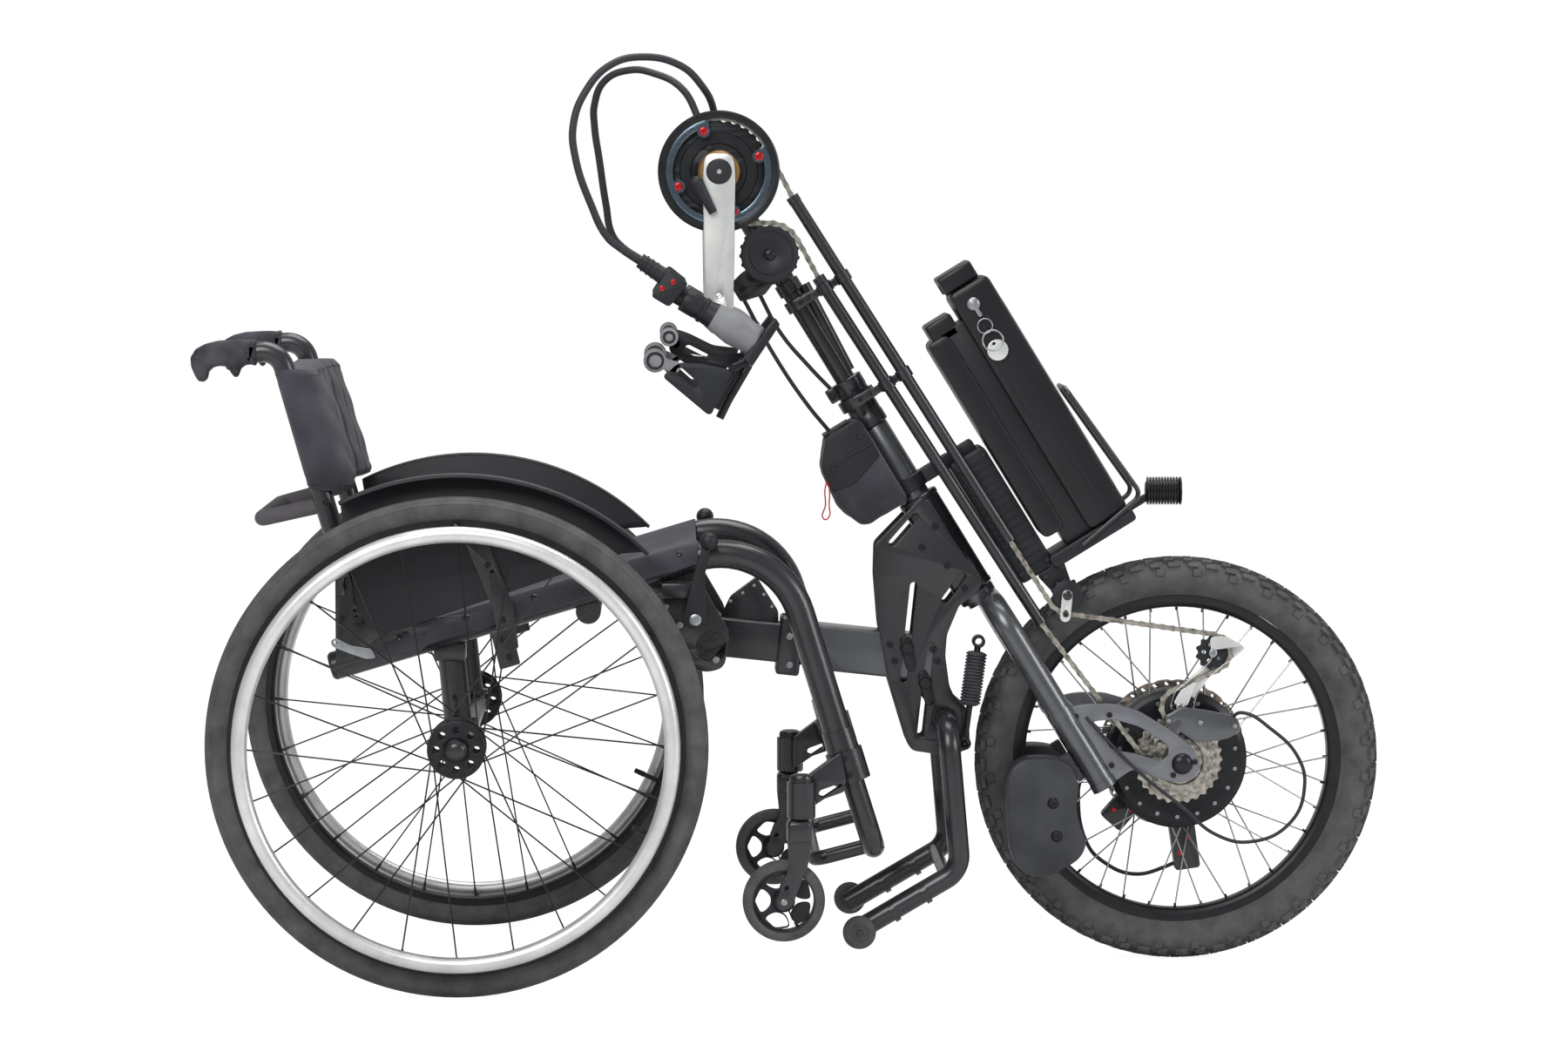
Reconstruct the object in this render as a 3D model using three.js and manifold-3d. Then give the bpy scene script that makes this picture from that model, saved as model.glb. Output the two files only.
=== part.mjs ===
// Handcycle: a rigid manual wheelchair with a hand-cranked and motor-assisted front wheel docked to it.
// Millimetres. +X is ahead, +Y is the rider's left, +Z is up.
// World places are taken from the rear axle (x) and from the ground (z) until the end,
// where the whole vehicle is set on its origin, the middle of its footprint.
import * as THREE from 'three';
import { mergeVertices } from 'three/addons/utils/BufferGeometryUtils.js';
import Module from 'manifold-3d';

const wasm = await Module();
wasm.setup();

// Driving dimensions
const wheelbase = 875;
const rearRadius = 295;
const rearTrack = 580;
const frontRadius = 249;
const frameHalf = 200;
const frameTube = 34;
const forkOffset = 104.5;
const steeringTilt = 31.5;
const crankUp = 910;
const crankLength = 178;
const chainSide = -45;
const chainPitch = 12.7;
const gap = 0.3;
const overrun = 1;
const mergeDistance = 0.001;

const degree = Math.PI / 180;
const fullTurn = 2 * Math.PI;
const tilt = steeringTilt * degree;

// Finishes
const blackPaint = { color: 0x17181a, roughness: 0.42, metalness: 0.3 };
const greyPaint = { color: 0x4d4f52, roughness: 0.35, metalness: 0.6 };
const blackPlastic = { color: 0x1b1b1c, roughness: 0.6, metalness: 0 };
const rubber = { color: 0x222326, roughness: 0.85, metalness: 0 };
const silver = { color: 0xc9cacb, roughness: 0.35, metalness: 0.9 };
const steel = { color: 0x9a9791, roughness: 0.4, metalness: 0.9 };
const cloth = { color: 0x2c2d31, roughness: 0.95, metalness: 0 };
const greyGrip = { color: 0x77787b, roughness: 0.8, metalness: 0 };

// Solids, joins and cuts
function signedVolume(places, corners) {
  const [a, b, c] = [new THREE.Vector3(), new THREE.Vector3(), new THREE.Vector3()];
  let volume = 0;
  for (let i = 0; i < corners.length; i += 3) {
    a.fromBufferAttribute(places, corners[i]);
    b.fromBufferAttribute(places, corners[i + 1]);
    c.fromBufferAttribute(places, corners[i + 2]);
    volume += a.dot(b.cross(c));
  }
  return volume;
}

function solid(geometry) {
  const bare = geometry.clone();
  bare.deleteAttribute('normal');
  bare.deleteAttribute('uv');
  const merged = mergeVertices(bare, mergeDistance);
  const index = merged.index.array;
  const places = merged.attributes.position;
  const corners = [];
  for (let i = 0; i < index.length; i += 3) {
    const [a, b, c] = [index[i], index[i + 1], index[i + 2]];
    if (a !== b && b !== c && c !== a) corners.push(a, b, c);
  }
  if (signedVolume(places, corners) < 0) corners.reverse();
  return new wasm.Manifold(new wasm.Mesh({
    numProp: 3,
    vertProperties: new Float32Array(places.array),
    triVerts: new Uint32Array(corners),
  }));
}

function join(...solids) {
  return solids.reduce((whole, next) => whole.add(next));
}

function cut(base, ...tools) {
  return tools.reduce((left, tool) => left.subtract(tool), base);
}

// A side of -1 mirrors a piece drawn for the left into the right-hand one.
function surface(shape, side) {
  const mesh = shape.getMesh();
  const corners = [...mesh.triVerts];
  if (side < 0) corners.reverse();
  const geometry = new THREE.BufferGeometry();
  geometry.setAttribute('position', new THREE.Float32BufferAttribute(mesh.vertProperties, 3));
  geometry.setIndex(corners);
  geometry.scale(1, side, 1);
  geometry.computeVertexNormals();
  return geometry;
}

const vehicle = new THREE.Group();
const steering = new THREE.Group();
const footX = wheelbase - forkOffset * Math.cos(tilt);
const footZ = frontRadius - forkOffset * Math.sin(tilt);
steering.position.set(footX, 0, footZ);
steering.rotation.y = -tilt;
vehicle.add(steering);

function piece(name, shape, finish, parent = vehicle, side = 1) {
  const mesh = new THREE.Mesh(surface(shape, side), new THREE.MeshStandardMaterial(finish));
  mesh.name = name;
  parent.add(mesh);
  return mesh;
}

const bothSides = [['right', -1], ['left', 1]];

// Basic forms
function block(x0, x1, y0, y1, z0, z1) {
  const geometry = new THREE.BoxGeometry(x1 - x0, y1 - y0, z1 - z0);
  geometry.translate((x0 + x1) / 2, (y0 + y1) / 2, (z0 + z1) / 2);
  return solid(geometry);
}

function rod(from, to, radius, sides = 8) {
  const span = to.clone().sub(from);
  const geometry = new THREE.CylinderGeometry(radius, radius, span.length(), sides);
  geometry.applyQuaternion(new THREE.Quaternion().setFromUnitVectors(
    new THREE.Vector3(0, 1, 0), span.clone().normalize(),
  ));
  geometry.translate((from.x + to.x) / 2, (from.y + to.y) / 2, (from.z + to.z) / 2);
  return solid(geometry);
}

function place(x, y, z) {
  return new THREE.Vector3(x, y, z);
}

// A drum lies along Y from y0 to y1.
function drum(x, z, y0, y1, radius, sides = 10) {
  return rod(place(x, y0, z), place(x, y1, z), radius, sides);
}

// A bore is wide enough that its flats clear the radius.
function bore(x, z, y0, y1, radius, sides = 10) {
  return drum(x, z, y0, y1, radius / Math.cos(Math.PI / sides), sides);
}

// A turned form spins its (radius, y) profile round the Y axis; its flats lie on the radii.
function turned(profile, segments) {
  const widen = 1 / Math.cos(Math.PI / segments);
  const points = profile.map(([radius, y]) => new THREE.Vector2(radius * widen, y));
  points.push(points[0].clone());
  return solid(new THREE.LatheGeometry(points, segments, Math.PI / segments));
}

function roundedShape(points, radius) {
  const corners = points.map(([x, z]) => new THREE.Vector2(x, z));
  const shape = new THREE.Shape();
  corners.forEach((corner, i) => {
    const before = corners.at(i - 1);
    const after = corners[(i + 1) % corners.length];
    const reach = Math.min(radius, corner.distanceTo(before) / 2, corner.distanceTo(after) / 2);
    const start = corner.clone().add(before.clone().sub(corner).setLength(reach));
    const end = corner.clone().add(after.clone().sub(corner).setLength(reach));
    if (i === 0) shape.moveTo(start.x, start.y);
    else shape.lineTo(start.x, start.y);
    if (radius > 0) shape.quadraticCurveTo(corner.x, corner.y, end.x, end.y);
  });
  shape.closePath();
  return shape;
}

function pressed(shape, y0, y1, curveSegments = 2) {
  const geometry = new THREE.ExtrudeGeometry(shape, { depth: y1 - y0, bevelEnabled: false, curveSegments });
  geometry.rotateX(Math.PI / 2);
  geometry.translate(0, y1, 0);
  return solid(geometry);
}

// A plate is an outline in side view, (x, z), with a thickness along Y.
function plate(points, y0, y1, radius = 0, curveSegments = 2) {
  return pressed(roundedShape(points, radius), y0, y1, curveSegments);
}

function slot(from, to, width, y0, y1) {
  const heading = Math.atan2(to[1] - from[1], to[0] - from[0]);
  const end = ([x, z], turn) => [-0.5, -0.17, 0.17, 0.5].map((share) => {
    const angle = heading + turn + Math.PI * share;
    return [x + Math.cos(angle) * width / 2, z + Math.sin(angle) * width / 2];
  });
  return plate([...end(to, 0), ...end(from, Math.PI)], y0, y1);
}

// Points in shares of a piece's length and height, from its lower rear corner.
function spread(shares, { rear, front, bottom, top }) {
  return shares.map(([along, up]) => [rear + (front - rear) * along, bottom + (top - bottom) * up]);
}

// A route has one ring at each of its stations, square to the way it runs there.
class Route extends THREE.Curve {
  constructor(stations) {
    super();
    this.stations = stations;
  }

  getPoint(share, target = new THREE.Vector3()) {
    const at = share * (this.stations.length - 1);
    const index = Math.min(Math.floor(at), this.stations.length - 2);
    return target.copy(this.stations[index]).lerp(this.stations[index + 1], at - index);
  }

  getPointAt(share, target) {
    return this.getPoint(share, target);
  }

  getTangentAt(share, target = new THREE.Vector3()) {
    const last = this.stations.length - 1;
    const index = Math.round(share * last);
    target.set(0, 0, 0);
    if (index > 0) {
      target.add(this.stations[index].clone().sub(this.stations[index - 1]).normalize());
    }
    if (index < last) {
      target.add(this.stations[index + 1].clone().sub(this.stations[index]).normalize());
    }
    return target.normalize();
  }
}

// The corners of a bent tube are rounded to the bend radius, with a station every bendStep or so.
const bendStep = 24 * degree;

function bentStations(corners, bend) {
  const stations = [corners[0]];
  for (let i = 1; i < corners.length - 1; i += 1) {
    const back = corners[i - 1].clone().sub(corners[i]);
    const on = corners[i + 1].clone().sub(corners[i]);
    const turning = Math.PI - back.angleTo(on);
    const reach = bend * Math.tan(turning / 2);
    const middle = back.clone().normalize().add(on.clone().normalize()).normalize();
    const centre = corners[i].clone().add(middle.multiplyScalar(bend / Math.cos(turning / 2)));
    const start = corners[i].clone().add(back.setLength(reach)).sub(centre);
    const axis = start.clone().cross(corners[i].clone().add(on.setLength(reach)).sub(centre)).normalize();
    const steps = Math.max(2, Math.ceil(turning / bendStep));
    for (let step = 0; step <= steps; step += 1) {
      stations.push(start.clone().applyAxisAngle(axis, turning * step / steps).add(centre));
    }
  }
  stations.push(corners.at(-1));
  return stations;
}

function sweep(stations, radius, sides) {
  const outline = Array.from({ length: sides }, (_, i) => new THREE.Vector2(
    radius * Math.cos(fullTurn * i / sides), radius * Math.sin(fullTurn * i / sides),
  ));
  return solid(new THREE.ExtrudeGeometry(new THREE.Shape(outline), {
    steps: stations.length - 1, extrudePath: new Route(stations), curveSegments: 1,
  }));
}

function pipe(corners, radius, bend, sides = 8) {
  return sweep(bentStations(corners, bend), radius, sides);
}

function cable(points, radius, steps, sides = 6) {
  return sweep(new THREE.CatmullRomCurve3(points).getSpacedPoints(steps), radius, sides);
}

// Chair frame: two side tubes, each a sloping seat rail that bends down into the front leg
const rail = { rearX: -150, rearZ: 383, cornerX: 376, cornerZ: 540, footX: 464, footZ: 256, bend: 100 };
const railSlope = (rail.cornerZ - rail.rearZ) / (rail.cornerX - rail.rearX);
const legRun = new THREE.Vector2(rail.footX - rail.cornerX, rail.footZ - rail.cornerZ).normalize();
const crossTube = { x: 153, drop: 26, radius: 15 };
const footTube = { radius: 13.5, depth: 70 };
const backPlate = { thickness: 5, rise: 114, length: 156, inside: 11.5, depth: 15, edge: 4, corner: 12 };
const backPlateShares = [[0, 1], [0.09, 1], [0.19, 0.55], [0.4, 0.34], [0.59, 0.24], [1, 0.13]];
const backPivot = { x: -117, z: 434, pin: 5, pinReach: 2, pinInset: 18 };

function railHeight(x) {
  return rail.rearZ + (x - rail.rearX) * railSlope;
}

function sideTubeCorners(y) {
  return [
    place(rail.rearX, y, rail.rearZ), place(rail.cornerX, y, rail.cornerZ), place(rail.footX, y, rail.footZ),
  ];
}

function sideTube(y, radius) {
  return pipe(sideTubeCorners(y), radius, rail.bend, 10);
}

function legBore(y) {
  const top = place(rail.footX - legRun.x * footTube.depth, y, rail.footZ - legRun.y * footTube.depth);
  const end = place(rail.footX + legRun.x * overrun, y, rail.footZ + legRun.y * overrun);
  return rod(top, end, (footTube.radius + gap) / Math.cos(Math.PI / 8), 8);
}

// The back plate stands on the rail, with its edge at the foot of the rail's rear end.
function backPlateForm(y0) {
  const rearX = rail.rearX + backPlate.edge;
  const upper = backPlateShares.map(([along, up]) => {
    const x = rearX + backPlate.length * along;
    return [x, railHeight(x) + backPlate.rise * up];
  });
  const lowFront = rearX + backPlate.length * 0.6;
  return plate([
    [rearX, railHeight(rearX) - backPlate.depth], ...upper,
    [lowFront, railHeight(lowFront) - backPlate.depth],
  ], y0, y0 + backPlate.thickness, backPlate.corner, 1);
}

function chairFrame() {
  const plateInside = frameHalf + backPlate.inside;
  const pinFrom = frameHalf - backPivot.pinInset;
  const pinTo = plateInside + backPivot.pinReach;
  const sides = bothSides.flatMap(([, side]) => {
    const y0 = side < 0 ? -plateInside - backPlate.thickness : plateInside;
    return [
      cut(sideTube(side * frameHalf, frameTube / 2), legBore(side * frameHalf)),
      backPlateForm(y0),
      drum(backPivot.x, backPivot.z, side * pinFrom, side * pinTo, backPivot.pin, 8),
    ];
  });
  const crossZ = railHeight(crossTube.x) - crossTube.drop;
  const cross = drum(crossTube.x, crossZ, -frameHalf, frameHalf, crossTube.radius);
  return join(cross, ...sides);
}

piece('chair_frame', chairFrame(), blackPaint);

// Axle tube: the cross tube that carries both rear axles, with its clamp stems up to the rails
const stemInset = 20;
const axle = {
  tube: 17, stub: 6, tubeEnd: 33, button: 11, buttonDepth: 5, stemSide: frameHalf - stemInset, stemX: -12,
  stemStep: 1,
};
const hub = { outside: 34, inside: 30, bore: 6.3 };

function axleTube() {
  const end = rearTrack / 2 - axle.tubeEnd;
  const tip = rearTrack / 2 + hub.outside + gap;
  const parts = [
    drum(0, rearRadius, -end, end, axle.tube),
    drum(0, rearRadius, -tip, tip, axle.stub, 8),
  ];
  for (const [, side] of bothSides) {
    parts.push(drum(0, rearRadius, side * tip, side * (tip + axle.buttonDepth), axle.button, 8));
    const seat = place(axle.stemX, side * axle.stemSide, railHeight(axle.stemX));
    parts.push(rod(place(0, side * axle.stemSide, rearRadius), seat, axle.tube - axle.stemStep));
    parts.push(block(
      axle.stemX - axle.tube, axle.stemX + axle.tube,
      side * axle.stemSide - axle.tube, side * axle.stemSide + axle.tube,
      seat.z - 2 * axle.tube, seat.z - axle.tube / 4,
    ));
  }
  return cut(join(...parts), ...bothSides.map(([, side]) => sideTube(side * frameHalf, frameTube / 2 + gap)));
}

piece('axle_tube', axleTube(), blackPaint);

// Rear wheels: tyre, laced wheel with its hub, and handrim
const rearTyre = { width: 28, bead: 268, segments: 28 };
const rearRim = { inner: 257, width: 22, nipple: 2 };
const rearHub = { flange: 34, flangeAt: 22, flangeThick: 5, barrel: 15, cap: 13, spokeCircle: 33.2 };
const lacing = { spokes: 24, radius: 1, lean: 52 };
const handrimSize = { radius: 252.5, tube: 9.5, offset: 31, tabs: 6, tabRadius: 4, tabUp: 5.5, tabOut: 10 };

function laced(count, lean, spokeRadius, hubCircle, rimCircle, flangeNear, flangeFar, rimSpread) {
  return Array.from({ length: count }, (_, i) => {
    const angle = fullTurn * i / count;
    const outer = i % 2 === 0;
    const along = i % 4 < 2 ? 1 : -1;
    const hubAngle = angle + along * lean * degree;
    const flange = (outer ? flangeFar : flangeNear) + along * spokeRadius * 1.3;
    const from = place(hubCircle * Math.sin(hubAngle), flange, hubCircle * Math.cos(hubAngle));
    const to = place(
      rimCircle * Math.sin(angle), (outer ? rimSpread : -rimSpread), rimCircle * Math.cos(angle),
    );
    return rod(from, to, spokeRadius, 3);
  });
}

function rearWheel() {
  const half = rearRim.width / 2;
  const rim = turned([
    [rearTyre.bead, -half], [rearTyre.bead, half], [rearRim.inner, half / 2], [rearRim.inner, -half / 2],
  ], rearTyre.segments);
  const { flange, flangeAt, flangeThick, barrel, cap } = rearHub;
  const middle = turned([
    [hub.bore, -hub.inside], [cap, -hub.inside], [flange, -flangeAt - flangeThick / 2],
    [flange, -flangeAt + flangeThick / 2], [barrel, -flangeAt + flangeThick],
    [barrel, flangeAt - flangeThick], [flange, flangeAt - flangeThick / 2],
    [flange, flangeAt + flangeThick / 2], [cap, hub.outside], [hub.bore, hub.outside],
  ], 12);
  const spokes = laced(
    lacing.spokes, lacing.lean, lacing.radius, rearHub.spokeCircle, rearRim.inner + rearRim.nipple,
    -flangeAt, flangeAt, half / 4,
  );
  return join(rim, middle, ...spokes);
}

function rearTyreForm() {
  const half = rearTyre.width / 2;
  const bead = rearTyre.bead + gap;
  const depth = rearRadius - bead;
  const shares = [[0, 0.8], [0.5, 1], [1, 0.4]];
  const flank = shares.map(([up, out]) => [bead + depth * up, half * out]);
  return turned([...flank, ...flank.toReversed().map(([radius, y]) => [radius, -y])], rearTyre.segments);
}

function handrimForm() {
  const { radius, tube, offset, tabs, tabRadius, tabUp, tabOut } = handrimSize;
  const sides = 6;
  const section = Array.from({ length: sides }, (_, i) => [
    radius + tube * Math.cos(fullTurn * i / sides), offset + tube * Math.sin(fullTurn * i / sides),
  ]);
  const up = (tabUp + tabRadius) / (rearTyre.bead - rearRim.inner);
  const flank = rearRim.width / 4 * (1 + up);
  const studs = Array.from({ length: tabs }, (_, i) => {
    const angle = fullTurn * i / tabs;
    const at = (circle, y) => place(circle * Math.sin(angle), y, circle * Math.cos(angle));
    return rod(at(rearRim.inner + tabUp, flank + gap), at(radius + tabOut, offset), tabRadius, 4);
  });
  return join(turned(section, rearTyre.segments), ...studs);
}

for (const [name, side] of bothSides) {
  const wheel = new THREE.Group();
  wheel.position.set(0, side * rearTrack / 2, rearRadius);
  vehicle.add(wheel);
  piece(`rear_tyre_${name}`, rearTyreForm(), rubber, wheel, side);
  piece(`rear_wheel_${name}`, rearWheel(), blackPaint, wheel, side);
  piece(`handrim_${name}`, handrimForm(), silver, wheel, side);
}

// Seat sling: cloth slung between the rails and sewn round the top of each
const sling = { rear: -90, front: 283, thickness: 3, inner: (frameTube / 2 + gap) / Math.cos(Math.PI / 12) };

function seatSling() {
  const inner = sling.inner;
  const outer = inner + sling.thickness;
  const sag = inner + crossTube.drop * Math.cos(Math.atan(railSlope)) - crossTube.radius - gap;
  const arc = (radius, side, start, end) => [0, 0.5, 1].map((share) => {
    const angle = (start + (end - start) * share) * degree;
    return [side * frameHalf + radius * Math.cos(angle), radius * Math.sin(angle)];
  });
  const low = frameHalf / 2;
  const outline = [
    ...arc(outer, 1, 60, 120), [low, outer - sag], [-low, outer - sag],
    ...arc(outer, -1, 60, 120), ...arc(inner, -1, 120, 60),
    [-low, inner - sag], [low, inner - sag], ...arc(inner, 1, 120, 60),
  ];
  const shape = new THREE.Shape(outline.map(([y, z]) => new THREE.Vector2(y, z)));
  const run = place(sling.front - sling.rear, 0, railHeight(sling.front) - railHeight(sling.rear));
  const geometry = new THREE.ExtrudeGeometry(shape, { depth: run.length(), bevelEnabled: false });
  geometry.rotateZ(Math.PI / 2);
  geometry.rotateY(Math.PI / 2);
  geometry.rotateY(-Math.atan(railSlope));
  geometry.translate(sling.rear, 0, railHeight(sling.rear));
  return solid(geometry);
}

piece('seat_sling', seatSling(), cloth);

// Side guards: upright panels beside the seat, their upper edge an arc over the tyre turned outwards
const guardClear = 22;
const guard = {
  inside: frameHalf + guardClear, thickness: 3, radius: 319, flange: 32, rearAngle: 116, frontAngle: 45,
  foot: 6, lap: 4,
};
const guardStrap = { x: 8, z: 532, width: 26, thickness: 4, midX: 52, midZ: 457, footX: 58, footZ: 406 };

function sideGuard() {
  const steps = 8;
  const angles = Array.from({ length: steps + 1 }, (_, i) => (
    guard.rearAngle + (guard.frontAngle - guard.rearAngle) * i / steps
  ));
  const onArc = (angle, radius) => [
    radius * Math.cos(angle * degree), rearRadius + radius * Math.sin(angle * degree),
  ];
  const top = angles.map((angle) => onArc(angle, guard.radius));
  const frontX = top.at(-1)[0];
  const rearX = top[0][0] + guard.flange / 2;
  const panel = [
    ...top, [frontX - guard.flange, railHeight(frontX) + frameTube / 2 + guard.foot],
    [rearX, railHeight(rearX) + frameTube / 2 + guard.foot],
  ];
  const lip = [...top, ...angles.toReversed().map((angle) => onArc(angle, guard.radius - guard.thickness))];
  const outside = guard.inside + guard.thickness;
  const { x, z, midX, midZ, footX: strapFootX, footZ: strapFootZ, width, thickness } = guardStrap;
  const strap = [
    [x, z], [x + width, z + width / 5], [midX + width / 2, midZ], [strapFootX + width / 2, strapFootZ],
    [strapFootX - width / 3, strapFootZ], [midX - width / 2, midZ],
  ];
  const lug = block(
    midX - width / 3, midX + width / 2, frameHalf + frameTube / 2 - guard.lap, outside,
    railHeight(midX) - frameTube / 4, railHeight(midX) + frameTube / 3,
  );
  return join(
    plate(panel, guard.inside, outside, 0),
    plate(lip, guard.inside, outside + guard.flange, 0),
    plate(strap, guard.inside, outside + thickness, 0),
    cut(lug, sideTube(frameHalf, frameTube / 2 + gap)),
  );
}

for (const [name, side] of bothSides) piece(`side_guard_${name}`, sideGuard(), blackPlastic, vehicle, side);

// Backrest: posts that fold forward on the frame's pins, bent back at the top for the push grips
const postInset = 3;
const barInset = 50;
const back = {
  half: frameHalf - postInset, tube: 12.5, topX: -203, topZ: 736, kneeX: -212, kneeZ: 758, gripX: -290,
  gripZ: 752, bend: 26, bar: 9.5, barBend: 20, barShare: 0.47, barRear: 80, barDrop: 20,
  barHalf: frameHalf - barInset, pivotDrop: 10,
};

function backPost(y, radius = back.tube, beyond = 0) {
  const lean = new THREE.Vector2(back.topX - backPivot.x, back.topZ - backPivot.z).normalize();
  return pipe([
    place(backPivot.x - lean.x * back.pivotDrop, y, backPivot.z - lean.y * back.pivotDrop),
    place(back.kneeX, y, back.kneeZ), place(back.gripX - beyond, y, back.gripZ),
  ], radius, back.bend, 8);
}

function backFrame() {
  const barX = backPivot.x + (back.topX - backPivot.x) * back.barShare;
  const barZ = backPivot.z + (back.topZ - backPivot.z) * back.barShare;
  const bar = pipe([
    place(barX, -back.half, barZ), place(barX - back.barRear, -back.barHalf, barZ - back.barDrop),
    place(barX - back.barRear, back.barHalf, barZ - back.barDrop), place(barX, back.half, barZ),
  ], back.bar, back.barBend, 6);
  const bores = bothSides.map(([, side]) => bore(
    backPivot.x, backPivot.z, side * back.half - 2 * back.tube, side * back.half + 2 * back.tube,
    backPivot.pin + gap, 8,
  ));
  return cut(join(backPost(-back.half), backPost(back.half), bar), ...bores);
}

piece('back_frame', backFrame(), blackPaint);

// Backrest cloth: a padded panel wrapped round the posts, crowned from top to bottom and sewn down
// along upright channels
const backCloth = {
  bottom: 592, top: 736, wrap: 3.2, pad: 26, sag: 14, crown: 7, levels: 4, wrapShare: 0.6, flankShare: 0.9,
};
const channel = { depth: 5, half: 4, pitch: 72, pairs: 2 };

function upholsteryOutline() {
  const radius = back.tube + backCloth.wrap;
  const { half } = back;
  const { wrapShare, flankShare } = backCloth;
  const front = back.tube + backCloth.pad;
  const middle = front - backCloth.sag;
  const seams = Array.from({ length: channel.pairs * 2 }, (_, i) => (
    (i - channel.pairs + 0.5) * channel.pitch
  ));
  const channels = seams.flatMap((y) => [
    [middle, y - channel.half], [middle - channel.depth, y], [middle, y + channel.half],
  ]);
  return [
    [-radius, half + radius * wrapShare], [-radius, -half - radius * wrapShare], [0, -half - radius],
    [front * wrapShare, -half - radius * flankShare], [front, -half + radius], ...channels,
    [front, half - radius], [front * wrapShare, half + radius * flankShare], [0, half + radius],
  ];
}

function backUpholstery() {
  const shape = new THREE.Shape(upholsteryOutline().map(([x, y]) => new THREE.Vector2(x, y)));
  const slant = (backPivot.x - back.topX) / (back.topZ - backPivot.z);
  const height = backCloth.top - backCloth.bottom;
  const geometry = new THREE.ExtrudeGeometry(shape, {
    depth: height, bevelEnabled: false, steps: backCloth.levels,
  });
  const places = geometry.attributes.position;
  for (let i = 0; i < places.count; i += 1) {
    const up = places.getZ(i) + backCloth.bottom;
    const fromMiddle = (2 * places.getZ(i) - height) / height;
    const drawnIn = places.getX(i) > back.tube ? backCloth.crown * fromMiddle ** 2 : 0;
    places.setX(i, places.getX(i) - drawnIn + backPivot.x - (up - backPivot.z) * slant);
    places.setZ(i, up);
  }
  return cut(solid(geometry), ...bothSides.map(([, side]) => backPost(side * back.half, back.tube + gap)));
}

piece('back_upholstery', backUpholstery(), cloth);

// Push grips: moulded rubber, hooked down at the rear, with a finger bump below
const pushGrip = { ahead: 52, behind: 26, above: 19, below: 31, width: 32, corner: 12, edge: 2 };

function pushGripForm() {
  const { ahead, behind, above, below, width, corner, edge } = pushGrip;
  const front = back.gripX + ahead;
  const hook = back.gripZ - below;
  const outlineShares = [
    [0, 0.98], [0.4, 1], [0.75, 0.95], [0.97, 0.72], [1, 0.45], [0.88, 0], [0.74, 0.02], [0.6, 0.22],
    [0.42, 0.12], [0.3, 0.1], [0.22, 0.3], [0, 0.4],
  ];
  const outline = outlineShares.map(([along, up]) => [
    front - (ahead + behind) * along, hook + (above + below) * up,
  ]);
  const half = width / 2;
  const moulding = plate(outline, back.half - half, back.half + half, corner, edge);
  return cut(moulding, backPost(back.half, back.tube + gap, gap));
}

for (const [name, side] of bothSides) piece(`push_grip_${name}`, pushGripForm(), rubber, vehicle, side);

// Footrest: a tube let into both front legs, with a lower loop of tube to stand the feet on
const loopInset = 50;
const footrest = {
  frontX: 494, frontZ: 161, bend: 34, loopHalf: frameHalf - loopInset, loopX: 424, loopZ: 143, loopTube: 9,
  entryGap: 2,
};

function footrestForm() {
  const entry = footTube.depth - footrest.entryGap;
  const topX = rail.footX - legRun.x * entry;
  const topZ = rail.footZ - legRun.y * entry;
  const { frontX, frontZ, loopHalf, loopX, loopZ } = footrest;
  const legs = pipe([
    place(topX, -frameHalf, topZ), place(frontX, -frameHalf, frontZ),
    place(frontX, frameHalf, frontZ), place(topX, frameHalf, topZ),
  ], footTube.radius, footrest.bend, 8);
  const loop = pipe([
    place(frontX, -loopHalf, frontZ), place(loopX, -loopHalf, loopZ),
    place(loopX, loopHalf, loopZ), place(frontX, loopHalf, frontZ),
  ], footrest.loopTube, footrest.bend / 2, 6);
  return join(legs, loop);
}

piece('footrest', footrestForm(), blackPaint);

// Casters: a housing clamped on each front leg, a fork that swivels in it, and the wheel
const casterOut = 45;
const caster = {
  stemX: 405, side: frameHalf + casterOut, housing: 17, top: 250, bottom: 206, stem: 6, cap: 14, capThick: 8,
  wheelX: 384.3, wheelZ: 107, radius: 49, width: 24, axle: 4, crownTop: 204, crownBottom: 166,
  crownRear: 20, crownFront: 14, legGap: 1.6, legThick: 4, clampUp: 26, clampDown: 12, clampWall: 6,
  rimShare: 0.76, bossShare: 0.26, holes: 5, armLap: 8, armLow: 4, slotNearX: 26, slotNearZ: 233,
  slotFarX: 46, slotFarZ: 240, slotWidth: 11, legLap: 8, toe: 9, toeDrop: 2, stemGap: 2, nearShare: 1.3,
  farShare: 0.92,
};

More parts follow.
